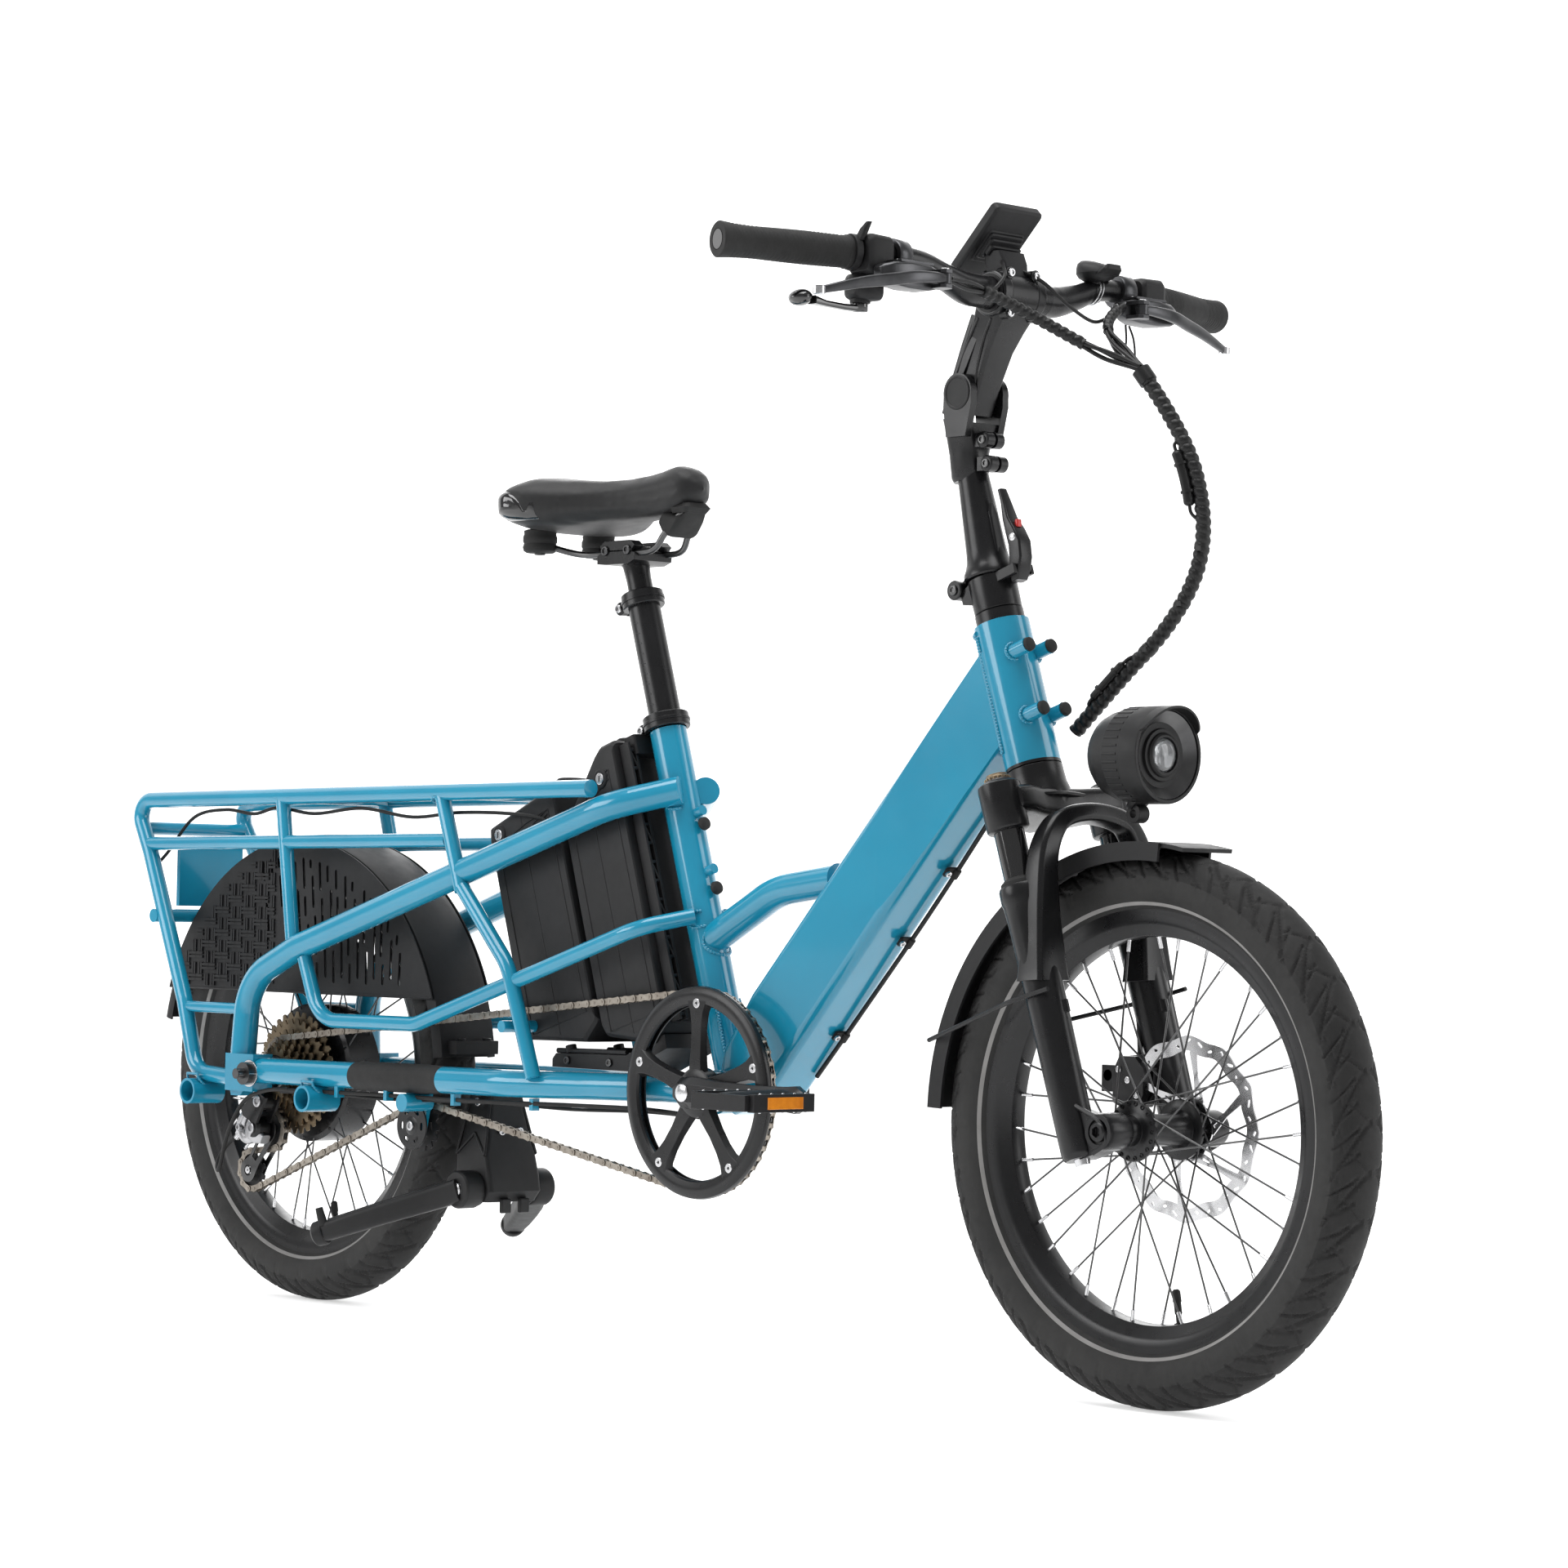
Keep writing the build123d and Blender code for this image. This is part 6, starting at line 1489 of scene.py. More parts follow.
def build_mast():
    """Tapered mast with a flared foot and strike plate, the pivot yoke with capped ends, and its clamp."""
    s = Shape()
    foot, top = steer_at(197.8), Vector((1046.0, 0, 930.0))
    d = (top - foot).normalized()
    length = (top - foot).length
    stations = ((0.0, 25.5), (0.012, 27.0), (0.04, 26.6), (0.08, 24.0), (0.13, 21.6), (0.2, 20.4),
                (0.35, 19.2), (0.6, 17.2), (0.85, 15.2), (1.0, 14.4))
    s.tube([foot + d * length * t for t, _ in stations], [r for _, r in stations], 44)
    strike = []
    for t, h in ((0.05, 8), (0.16, 7.5), (0.5, 6), (0.58, 3)):
        c = foot + d * length * t + Vector((16.5 - 4 * t, 0, 0))
        strike.append((c, Y, X, rounded(h, 5.5, 2)))
    loft(s, strike)
    hinge = joint_at("mast_fold")
    s.lathe(hinge, Y, [(-13, 4.1), (-13, 9.2), (-12, 10), (12, 10), (13, 9.2), (13, 4.1)], 32)
    loft(s, [(hinge + Vector((2, 0, 1)), Y, Z, rounded(12.6, 9, 2)),
             (steer_at(208, -14), Y, Z, rounded(12.4, 11, 3)),
             (steer_at(212, -4), Y, Z, rounded(12, 12, 4))])
    # clamp barrel and the yoke's two arms
    base = [(1049.5, 898, 16.5, 16.5, 16), (1049.0, 902, 18, 18.5, 17), (1047, 925, 18.5, 18.5, 15),
            (1047, 944, 22, 18.5, 12), (1049, 958, 26, 19, 8)]
    side_loft(s, base)
    for side in (-1, 1):
        outline = [(-15, -44), (-19.5, -14)]
        outline += [(19.5 * math.cos(a), 19.5 * math.sin(a))
                    for a in (math.radians(190 - 200 * k / 18) for k in range(19))]
        outline += [(19.5, -12), (12, -44)]
        y0 = side * 18.5
        s.prism(outline, (PIVOT_AT.x, y0, PIVOT_AT.z), X, Z, -side * 8.2, 0)
        s.lathe(PIVOT_AT + Y * side * 26.0, Y * side, [(-2, 0.01), (-2, 17.4), (1.2, 17.4), (1.9, 16.6),
                                                       (1.9, 15.0), (1.2, 14.4), (1.0, 0.01)], 56, 1)
    for z in (914.0, 938.0):
        c = Vector((mast_x(z) + 29, 0, z))
        s.tube([c - Y * 12.5, c - Y * 11.5, c - Y * 1.6], [6.4, 8.2, 8.2], 26, 0)
        s.tube([c + Y * 12.5, c + Y * 11.5, c + Y * 1.6], [6.4, 8.2, 8.2], 26, 0)
        s.box(c + Vector((-14, -11, -7)), c + Vector((-2, -1.6, 7)), 0)
        s.box(c + Vector((-14, 1.6, -7)), c + Vector((-2, 11, 7)), 0)
        s.bolt(c - Y * 12.2, -Y, 4.6, 2.6, mat=2)
        s.tube([c + Y * 12.2, c + Y * 16], 3.6, 6, 2)
    return piece(s, "folding_mast_body", "mast", "black_satin black_powder steel_dark", bevel=1.2,
                 replaces=["folding_mast"], angle=32)


build_mast()


def build_latch():
    """Fold latch: curved blade with two pins, a red catch and its pivot eye."""
    s = Shape()
    line = [(84, 1, 2.6, 5), (70, 2.5, 3.0, 6), (52, 3, 4.2, 8), (38, 6, 6.5, 9), (24, 8, 8.2, 9),
            (8, 5, 8.5, 9), (-4, 0, 7.5, 9), (-12, -3, 4.5, 8)]
    sections = []
    for up_by, fwd, half, wide in line:
        sections.append((steer_at(193 + up_by, 39 + fwd), Y, Vector((math.cos(0.32), 0, math.sin(0.32))),
                         rounded(wide, half, 2.4)))
    loft(s, sections)
    for up_by, fwd, r, mat in ((30, 8, 4.2, 1), (0, 0, 3.6, 1)):
        c = steer_at(193 + up_by, 39 + fwd)
        s.lathe(c, Y, [(-9.8, 0.01), (-9.8, r * 0.8), (-9.2, r), (9.2, r), (9.8, r * 0.8), (9.8, 0.01)], 28,
                mat)
    c = steer_at(193 + 44, 39 + 12)
    loft(s, [(c - Z * 4, Y, X, rounded(3.4, 2.6, 1.4)), (c + Z * 3.5, Y, X, rounded(3.0, 2.2, 1.4))], 2)
    return piece(s, "fold_latch", "fold_latch", "black_satin steel_bright red_catch", bevel=0.5,
                 replaces=["fold_latch_lever"], angle=40)


build_latch()
# ------------------------------------------------------------------ lamp, fork and brake
STEER_D = Vector(JOINTS["steering_turn"]["axis"])
STEER_F = Vector((STEER_D.z, 0, -STEER_D.x))
LAMP_AT = Vector((1290.0, 0, 622.0))
FRONT_AXLE_AT = joint_at("front_wheel_spin")


def build_headlight():
    """Round lamp: shell, finned rim with its visor, bowl, projector, lens and bracket foot."""
    s = Shape()
    shell = [(-46, 0.01), (-46, 26), (-43, 33), (-36, 39), (-27, 42.5), (-14, 44.5), (-13, 46.2), (8, 46.2),
             (8.5, 47), (30, 47),
             (32, 46.4), (32, 43), (28, 42.6), (27.5, 42), (22, 42), (22, 0.01)]
    s.lathe(LAMP_AT, X, shell, 80, 0)
    for k in range(36):
        a = 2 * math.pi * k / 36
        d = Y * math.cos(a) + Z * math.sin(a)
        side = X.cross(d)
        c = LAMP_AT + d * 45.6
        loft(s, [(c + X * x, side, d, rounded(1.3, 1.2, 0.6, 2)) for x in (-12, 6)], 0)
    rows = []
    for k in range(33):
        a = math.radians(28 + 124 * k / 32)
        reach = 32 + 14 * math.sin(math.radians(180 * k / 32)) ** 0.5
        d = Y * math.cos(a) + Z * math.sin(a)
        rows.append([LAMP_AT + X * x + d * r for x, r in ((26, 44.6), (26, 46.9), (reach, 46.9),
                                                          (reach, 44.6))])
    s.rings(rows, 0)
    s.lathe(LAMP_AT, X, [(30.6, 42.2), (29.4, 42.2), (16.5, 27), (17.7, 26)], 72, 1)
    for k in range(12):
        s.lathe(LAMP_AT, X, [(28.6 - k, 41.0 - 1.25 * k), (29.2 - k, 41.2 - 1.25 * k),
                             (28.9 - k, 40.2 - 1.25 * k)], 72, 3)
    s.lathe(LAMP_AT, X, [(21, 0.01), (21, 26), (25, 25), (25, 21.5), (27, 21), (28.5, 19), (28.5, 17),
                         (24, 16.5), (24, 0.01)], 56, 0)
    s.lathe(LAMP_AT, X, [(24.2, 0.01), (24.2, 16.6), (27, 15.6), (29.5, 12), (31.2, 7), (31.8, 0.01)], 48,
            2)
    s.tube([LAMP_AT + Vector((-6, 0, -44)), (1287, 0, 574)], [13, 10], 20, 0)
    tilt = joint_at("headlight_tilt")
    s.lathe(tilt, Y, [(-7, 4.1), (-7, 9), (7, 9), (7, 4.1)], 28, 0)
    return piece(s, "headlight_lamp", "headlight_unit", "black_powder steel_dark lens_glass chrome",
                 bevel=0.5,
                 replaces=["headlight"], angle=32)


build_headlight()


def turned(s, line, side_y, forward, mat=0, sides=36):
    """Body of revolution along the steering axis from (s, radius) pairs."""
    return s.tube([steer_at(a, forward, side_y) for a, _ in line], [r for _, r in line], sides, mat)


def build_fork_lowers():
    """Tapered lower legs with seals, arch, gusseted axle ends and the brake caliper."""
    s = Shape()
    for side in (-1, 1):
        y = side * 74.0
        turned(s, [(-402, 15.5), (-400, 17.5), (-396, 18.6), (-330, 18.8), (-240, 19.4), (-170, 20.2),
                   (-150, 21.2), (-146, 22.4),
                   (-134, 22.4), (-131, 21.2)], y, 17, 0)
        turned(s, [(-131.2, 19.6), (-127, 19.2), (-125, 16.6), (-123.5, 15.3)], y, 17, 1)
        gusset = [(-350, 17), (-364, 40), (-376, 56), (-396, 58), (-403, 40), (-403, 17)]
        pts = [steer_at(a, f, side * 56) for a, f in gusset]
        s.rings([pts, [p + Y * side * 25 for p in pts]], 0)
        rim = [steer_at(a, f, side * 82.4) for a, f in ((-346, 22), (-362, 42), (-375, 56), (-396, 60),
                                                        (-402, 40))]
        s.tube(smooth_line(rim, 5), 2.6, 10, 0)
        boss = [(52, 7.6), (52, 17), (56, 18), (80, 18), (84, 16.6), (84, 12), (79, 11.4), (79, 7.6)]
        s.lathe(FRONT_AXLE_AT, Y * side, boss, 48, 0)
        s.bolt(FRONT_AXLE_AT + Y * side * 78, Y * side, 9.5, 8.5)
        s.tube([steer_at(-396, 17, side * 74), steer_at(-408, 17, side * 74)], [9, 7], 20, 2)
        s.tube([steer_at(-250, 34, side * 70), steer_at(-262, 34, side * 70)], [5, 5], 14, 0)
    arch = [(-226, 18, -74), (-190, 27, -73.5), (-150, 37, -72), (-110, 47, -67), (-86, 54, -55),
            (-74, 57, -37), (-69, 58, 0)]
    arch += [(a, f, -y) for a, f, y in reversed(arch[:-1])]
    line = smooth_line([steer_at(*p) for p in arch], 7)
    sections = []
    for i, p in enumerate(line):
        d = (line[min(i + 1, len(line) - 1)] - line[max(i - 1, 0)]).normalized()
        u = STEER_F
        w = d.cross(u).normalized()
        k = abs(i / (len(line) - 1) - 0.5) * 2
        sections.append((p, w.cross(d), w, rounded(11 + 6 * k ** 3, 9 + 13 * k ** 2, 5)))
    loft(s, sections)
    # caliper on the left leg
    hub = Vector((1243, 48, 307))
    for y0, y1, grow in ((36.8, 46.8, 0.0), (49.4, 60, 2.0)):
        outline = [(-20 - grow, -20), (-8, -25 - grow), (12, -24), (20 + grow, -12), (20 + grow, 14),
                   (8, 25 + grow), (-12, 25), (-20 - grow, 10)]
        pts = [Vector((hub.x + a, y0, hub.z + b)) for a, b in outline]
        s.rings([pts, [p + Y * (y1 - y0) for p in pts]], 0)
    s.box((1226, 46, 318), (1258, 50, 329), 0)
    for a, b in ((-12, 12), (12, -12), (0, 2)):
        s.bolt((hub.x + a, 60.2, hub.z + b), Y, 4.6, 2.8, mat=2)
        s.bolt((hub.x + a, 36.6, hub.z + b), -Y, 3.6, 1.4, mat=2)
    s.tube(smooth_line([(1243, 54, 330), (1238, 58, 352), (1226, 66, 400), (1208, 76, 460), (1196, 78, 505),
                        (1186, 70, 560)], 8), 2.6, 12, 1)
    s.tube([(1204, 50, 312), (1204, 76, 312)], 6, 16, 0)
    s.box((1196, 50, 296), (1226, 58, 322), 0)
    for z in (1, 2, 3):
        p = smooth_line([(1208, 76, 460), (1196, 78, 505)], 4)[z]
        s.tube([p - Z * 4, p + Z * 4], 4.4, 14, 1)
    return piece(s, "fork_lower_legs", "fork_sliders", "black_satin rubber steel_bright", bevel=1.0,
                 replaces=["fork_lowers"], angle=34)


build_fork_lowers()


def build_crown():
    """Forged fork crown with its leg clamps, stanchions, bronze dial and the steerer inside."""
    s = Shape()
    spine = [(-76, 17, 15, 11), (-70, 19, 22, 13), (-52, 17, 24, 14), (-30, 6, 27, 15), (0, 0, 31, 15.5),
             (30, 6, 27, 15),
             (52, 17, 24, 14), (70, 19, 22, 13), (76, 17, 15, 11)]
    sections = []
    for y, fwd, deep, tall in spine:
        sections.append((steer_at(-46, fwd, y), STEER_F, STEER_D, rounded(deep, tall, 9)))
    loft(s, sections)
    turned(s, [(-58, 30), (-40, 32), (-30, 31), (-22, 29), (-12, 28.4), (-4.2, 28.2)], 0, 0, 0, 48)
    for side in (-1, 1):
        y = side * 74.0
        turned(s, [(-76, 17.5), (-75, 20), (-73, 21), (-34, 21.4), (-29, 21), (-27, 18.5)], y, 17, 0)
        turned(s, [(-300, 15), (-34, 15)], y, 17, 1)
        turned(s, [(-27.5, 13.5), (-25, 14), (-23, 12)], y, 17, 3)
    turned(s, [(-27, 12), (-21, 12), (-19.5, 10.5), (-18, 10.5)], -74, 17, 2)
    for k in range(18):
        a = 2 * math.pi * k / 18
        c = steer_at(-24, 17, -74) + (STEER_F * math.cos(a) + Y * math.sin(a)) * 12
        s.tube([c - STEER_D * 2.6, c + STEER_D * 2.6], 1.3, 8, 2)
    turned(s, [(-57, 14.3), (192, 14.3)], 0, 0, 3, 24)
    turned(s, [(160.6, 22.6), (161.8, 24), (176, 24.4), (190, 24.4), (196.2, 24), (197, 23)], 0, 0, 0, 48)
    hinge = joint_at("mast_fold")
    for side in (-1, 1):
        s.lathe(hinge, Y * side, [(13.6, 4.1), (13.6, 9.4), (14.6, 10), (23, 10), (24, 9), (24, 0.01)], 32,
                0)
        s.bolt(hinge + Y * side * 23.6, Y * side, 5.2, 2.6, mat=3)
        lug = [(-27, 178), (-12, 172), (-12, 195), (-27, 190)]
        s.rings([[steer_at(a, f, side * y) for f, a in lug] for y in (14.2, 20)], 0)
        ear = [(18, 186), (45, 186), (45, 196), (18, 196)]
        s.rings([[steer_at(a, f, side * y) for f, a in ear] for y in (9.6, 14)], 0)
    ridge = [(-40, 30, -34), (-40, 35, 0), (-40, 30, 34)]
    s.tube(smooth_line([steer_at(*p) for p in ridge], 6), 2.2, 10, 0)
    return piece(s, "fork_crown_forged", "steering", "black_satin gloss_black cog_bronze steel_dark",
                 bevel=1.0,
                 replaces=["fork_crown"], angle=36)


build_crown()
# ------------------------------------------------------------------ welds and small frame fittings
LEAN = math.radians(17.85)
SEAT_DIR = Vector((-math.sin(LEAN), 0, math.cos(LEAN)))


def seat_at(z, y=0.0):
    """Point on the seat tube's axis at a height."""
    return Vector((722 - (z - 275) * math.tan(LEAN), y, z))


def stay_y(z):
    """Outward place of the rack's side tubes at a height."""
    return 74 + (585 - z) * 18 / 320


def build_welds():
    """Painted weld beads round the frame's joints."""
    s = Shape()
    for side in (-1, 1):
        bead(s, smooth_line([steer_at(a, -12.6, side * 25.8) for a in (16, 50, 90, 128, 138)], 6), 2.4)
        bead(s, [steer_at(142, -28 * math.cos(math.radians(k)) - 0.5, side * 28 * math.sin(math.radians(k)))
                 for k in range(0, 66, 5)], 2.4)
        bead(s, smooth_line([seat_at(z, side * 17) + Vector((11.5, 0, 0)) for z in (306, 330, 352, 372)],
                            5), 2.2)
        # main stay into the seat tube, seat stays and chainstay ends
        stay_end = Vector((622, side * 33, 586))
        weld_ring(s, stay_end, (0.55, -side * 0.82, 0.05), seat_at(590), SEAT_DIR, 15, 20, 2.2)
        weld_ring(s, (656, side * 40, 452), (0.6, -side * 0.78, 0.1), seat_at(458), SEAT_DIR, 8.5, 20, 1.9)
        for x, z in ((8, 590), (302, 594)):
            weld_ring(s, (x, side * stay_y(z), z - 24), (-0.05, 0, 1), (x, side * stay_y(590), 588), X, 8.7,
                      9.5, 1.6)
        for px, pz in ((-112, 240), (112, 241)):
            weld_ring(s, (px, side * 100, pz + 4), (0, 0, 1), (px, side * 92, 262), X, 12, 15, 1.8)
    for a in (45, 111):
        for side in (-1, 1):
            c = steer_at(a, 22.5, side * 15.5)
            ring = [c + (STEER_D * math.cos(t) + Y * math.sin(t)) * 8.6
                    - STEER_F * 3.0 * abs(math.sin(t)) * (1 if math.sin(t) * side > 0 else 0.2)
                    for t in (2 * math.pi * k / 24 for k in range(25))]
            bead(s, ring, 1.9, 3.0)
    weld_ring(s, (756, 0, 474), (-0.83, 0, -0.5), seat_at(400), SEAT_DIR, 17.5, 20, 2.2)
    return piece(s, "weld_beads", "frame", "blue_enamel", angle=60)


build_welds()


def build_fittings():
    """Rubber plugs, cable clips, the chainstay sleeve, lower cables, axle nuts and the tail wire."""
    s = Shape()
    for a in (45, 111):
        for side in (-1, 1):
            c = steer_at(a, 41.8, side * 15.5)
            s.tube([c, c + STEER_F * 1.0, c + STEER_F * 4.2, c + STEER_F * 5.2], [5.8, 7.2, 6.6, 4.6], 24,
                   0)
    for z, f in ((548, 24.5), (480, 24.5)):
        c = seat_at(z) + Vector((math.cos(LEAN), 0, math.sin(LEAN))) * f
        d = Vector((0.95, 0, 0.3))
        s.tube([c, c + d * 2, c + d * 6, c + d * 7.5], [5.8, 7.4, 6.8, 5], 24, 0)
    n = len(under_line)
    down = Vector((0.72, 0, -0.69))
    for at in (0.06, 0.34, 0.62, 0.90):
        i = round(at * (n - 1))
        p = under_line[i]
        d = (under_line[min(i + 1, n - 1)] - under_line[max(i - 1, 0)]).normalized()
        s.tube([p - d * 5.5, p - d * 5, p + d * 5, p + d * 5.5], [3.4, 4.2, 4.2, 3.4], 16, 0)
        loft(s, [(p + Vector((-down.x, 0, -down.z)) * k - Y * 6, d, Y, rounded(5.5, 8, 2))
                 for k in (0.5, 3.4)], 0)
        s.bolt(p - Y * 11 + down * 0.5, down, 3.4, 2.2, mat=1)
    sleeve = [(178, -86.2, 269.7), (186, -85.9, 269.8), (300, -82.1, 270.8), (318, -81.5, 271)]
    s.tube(sleeve, [15.2, 16.4, 16.4, 15.2], 40, 0)
    s.tube([(300, -82.2, 270.8), (330, -81.2, 271)], [16.3, 15.2], 40, 0)
    under_stay = [(40, -94, 248), (120, -92, 249), (210, -87, 250), (300, -84, 250), (420, -80, 251),
                  (520, -60, 252), (620, -40, 252), (700, -34, 248)]
    s.tube(smooth_line(under_stay, 8), 2.4, 10, 0)
    s.tube(smooth_line([(p[0] - 4, p[1] + 7, p[2] - 3 + 2 * math.sin(i * 2.1)) for i,
                        p in enumerate(under_stay)], 8), 2.0, 10, 0)
    for x, y in ((150, -89.5), (236, -86), (352, -82.5), (470, -68)):
        s.box((x - 3, y - 5, 244), (x + 3, y + 5, 257), 2)
    for side in (-1, 1):
        c = Vector((0, side * 106.4, 265))
        pts = [c + Vector((x, 0, z)) for x, z in circle(0, 0, 13.2, 6)]
        s.rings([pts, [p + Y * side * 9.4 for p in pts]], 1)
        s.tube([c + Y * side * 9, c + Y * side * 18, c + Y * side * 19.2], [6, 6, 5], 24, 1)
        s.lathe(c, Y * side, [(-0.8, 6.2), (-0.8, 15.5), (0.8, 15.5), (0.8, 6.2)], 36, 1)
    tail = [(-262, -66, 500), (-240, -60, 520), (-190, -58, 562), (-120, -62, 571), (-60, -64, 566),
            (-10, -66, 573), (60, -66, 566),
            (150, -66, 572), (240, -64, 562), (318, -60, 567), (400, -56, 566), (452, -50, 560),
            (470, -40, 545)]
    s.tube(smooth_line(tail, 8), 2.0, 10, 0)
    derail = [(-58, -72, 196), (-84, -76, 176), (-92, -82, 158), (-78, -90, 150), (-52, -96, 196),
              (-20, -98, 232), (20, -97, 246), (60, -94, 249)]
    s.tube(smooth_line(derail, 8), 2.4, 12, 0)
    s.tube([(-60, -72.4, 194), (-68, -73.4, 186)], 3.2, 14, 1)
    return piece(s, "frame_fittings", "frame", "rubber steel_bright blue_enamel",
                 angle=40, bevel=0.3)


build_fittings()
# ------------------------------------------------------------------ batteries and controller
LEAN_UP = Vector((-math.sin(LEAN), 0, math.cos(LEAN)))
LEAN_FWD = Vector((math.cos(LEAN), 0, math.sin(LEAN)))


def lean_at(foot, u, f, y=0.0):
    """Point u up the seat tube's slope and f in front of it, from a foot."""
    return Vector((foot[0], 0, foot[1])) + LEAN_UP * u + LEAN_FWD * f + Y * y


def build_pack(name, node, foot, depth, length, chamfer, lock_u, lock_f):
    """Battery pack: bevelled case with a raised side panel, parting line, top handle and key cylinder."""
    s = Shape()
    outline = [(-14, depth - 26), (0, depth - 3), (4, depth), (length - 4, depth), (length, depth - 4),
               (length, depth - chamfer * 0.35), (length - 6, depth - chamfer * 0.5),
               (length - chamfer + 4, 3), (length - chamfer - 8, 0),
               (24, 0), (14, 4)]
    mid = [sum(p[0] for p in outline) / len(outline), sum(p[1] for p in outline) / len(outline)]
    rows = []
    for y, inset in ((-46, 9), (-44.5, 4.5), (-41, 1.2), (-37, 0), (37, 0), (41, 1.2), (44.5, 4.5),
                     (46, 9)):
        row = []
        for u, f in outline:
            du, df = u - mid[0], f - mid[1]
            r = math.hypot(du, df)
            row.append(lean_at(foot, u - du / r * inset, f - df / r * inset, y))
        rows.append(row)
    s.rings(rows)
    for side in (-1, 1):
        panel = [(16, 16), (length - chamfer - 22, 16), (length - 34, depth * 0.55),
                 (length - 30, depth - 14), (16, depth - 12)]
        ridge = [lean_at(foot, u, f, side * 45.7) for u, f in panel]
        s.tube(ridge + [ridge[0]], 1.0, 6, 0)
        s.tube([lean_at(foot, 4, depth * 0.5, side * 45.6),
                lean_at(foot, length - chamfer * 0.8, depth * 0.5, side * 45.6)], 0.9, 6, 0)
        for k in range(3):
            s.tube([lean_at(foot, length - 44 - 5 * k, depth * 0.50, side * 45.8),
                    lean_at(foot, length - 30 - 5 * k, depth - 16, side * 45.8)], 1.1, 6, 0)
    lock = lean_at(foot, lock_u, lock_f, -45.4)
    s.lathe(lock, -Y, [(-2, 0.01), (-2, 11), (1.2, 11), (2.2, 9.5), (2.2, 7.2), (0.8, 7), (0.8, 0.01)], 36,
            0)
    s.lathe(lock, -Y, [(0.6, 0.01), (0.6, 6.4), (2.4, 6.4), (2.8, 5.6), (2.8, 0.01)], 28, 1)
    s.box(lock + Vector((-0.8, -3.1, -3.4)), lock + Vector((0.8, -2.6, 3.4)), 2)
    handle = [lean_at(foot, length - 10, depth - 14, y) + LEAN_UP * h for y,
              h in ((-26, 0), (-24, 9), (-16, 13), (16, 13), (24, 9), (26, 0))]
    s.tube(smooth_line(handle, 5), 4.2, 14, 0)
    for y in (-34, 34):
        s.tube([lean_at(foot, -8, depth * 0.5, y), lean_at(foot, -16, depth * 0.5, y)], 6, 16, 0)
    return piece(s, name, "frame", "black_plastic steel_bright gloss_black", bevel=1.2, replaces=[node],
                 angle=24)


build_pack("front_battery_case", "front_battery", (559.2, 312.1), 102.4, 318, 66, 282, 74)
build_pack("rear_battery_case", "rear_battery", (428.9, 304.1), 121, 276, 22, 244, 20)


def build_cradle():
    """Windowed slide rail with cross ribs, its latch block, and the tray under both packs."""
    s = Shape()
    foot = (590, 322)
    for y in (-36, -27.5, 27.5, 36):
        loft(s, [(lean_at(foot, u, 78.5, y), LEAN_FWD, Y, rounded(7.6, 1.6, 0.8)) for u in (2, 310)], 0)
    for k in range(15):
        u = 8 + 21 * k
        for side in (-1, 1):
            loft(s, [(lean_at(foot, u, 78.0, side * y), LEAN_FWD, LEAN_UP, rounded(7.0, 1.8, 0.8))
                     for y in (27, 36.5)], 0)
            if k % 2:
                a, b = lean_at(foot, u, 84.5, side * 28), lean_at(foot, u + 21, 84.5, side * 36)
                s.tube([a, b], 1.5, 8, 0)
    loft(s, [(lean_at(foot, u, 72.8, 0), LEAN_FWD, Y, rounded(2.2, 37, 1.5)) for u in (2, 310)], 0)
    loft(s, [(lean_at(foot, u, 80, 0), LEAN_FWD, Y, rounded(9, 30, 3)) for u in (296, 318)], 0)
    tray = [(464, 291), (588, 291), (652, 318), (648, 333), (586, 308), (470, 306), (464, 300)]
    s.rings([[Vector((x, y, z)) for x, z in tray] for y in (-39, -37, 37, 39)], 0)
    for side in (-1, 1):
        for x in (490, 560):
            s.bolt((x, side * 39.2, 299), Y * side, 4.4, 2.4, mat=1)
        s.tube([(470, side * 36, 309), (585, side * 36, 311)], 3, 10, 0)
    return piece(s, "battery_slide_rail", "frame", "black_plastic steel_dark", bevel=0.4,
                 replaces=["battery_cradle"],
                 angle=34)


build_cradle()
# ------------------------------------------------------------------ seat posts and saddle
def clamp_ring(s, z, height, bore, r):
    """Split collar with its ears, cross bolt and barrel nut."""
    c = seat_at(z)
    s.lathe(c, SEAT_DIR, [(0, bore), (0, r - 1), (1, r), (height - 1, r), (height, r - 1), (height, bore)],
            56, 0)
    s.lathe(c, SEAT_DIR, [(height * 0.4, r - 0.5), (height * 0.4, r + 0.9), (height * 0.6, r + 0.9),
                          (height * 0.6, r - 0.5)], 56, 0)
    back = Vector((-math.cos(LEAN), 0, -math.sin(LEAN)))
    base = c + back * (r + 5) + SEAT_DIR * height / 2
    ear = [(1.6, 0.01), (1.6, height * 0.46), (9.4, height * 0.46), (10.4, height * 0.38), (10.4, 0.01)]
    for side in (-1, 1):
        s.lathe(base, Y * side, ear, 30, 0)
        loft(s, [(base - back * 5 + Y * side * y, back, SEAT_DIR, rounded(6, height * 0.40, 2))
                 for y in (1.6, 9.6)], 0)
    s.bolt(base - Y * 10.2, -Y, 4.8, 3.6, mat=1)
    s.tube([base + Y * k for k in (10.2, 15)], 5.0, 6, 1)


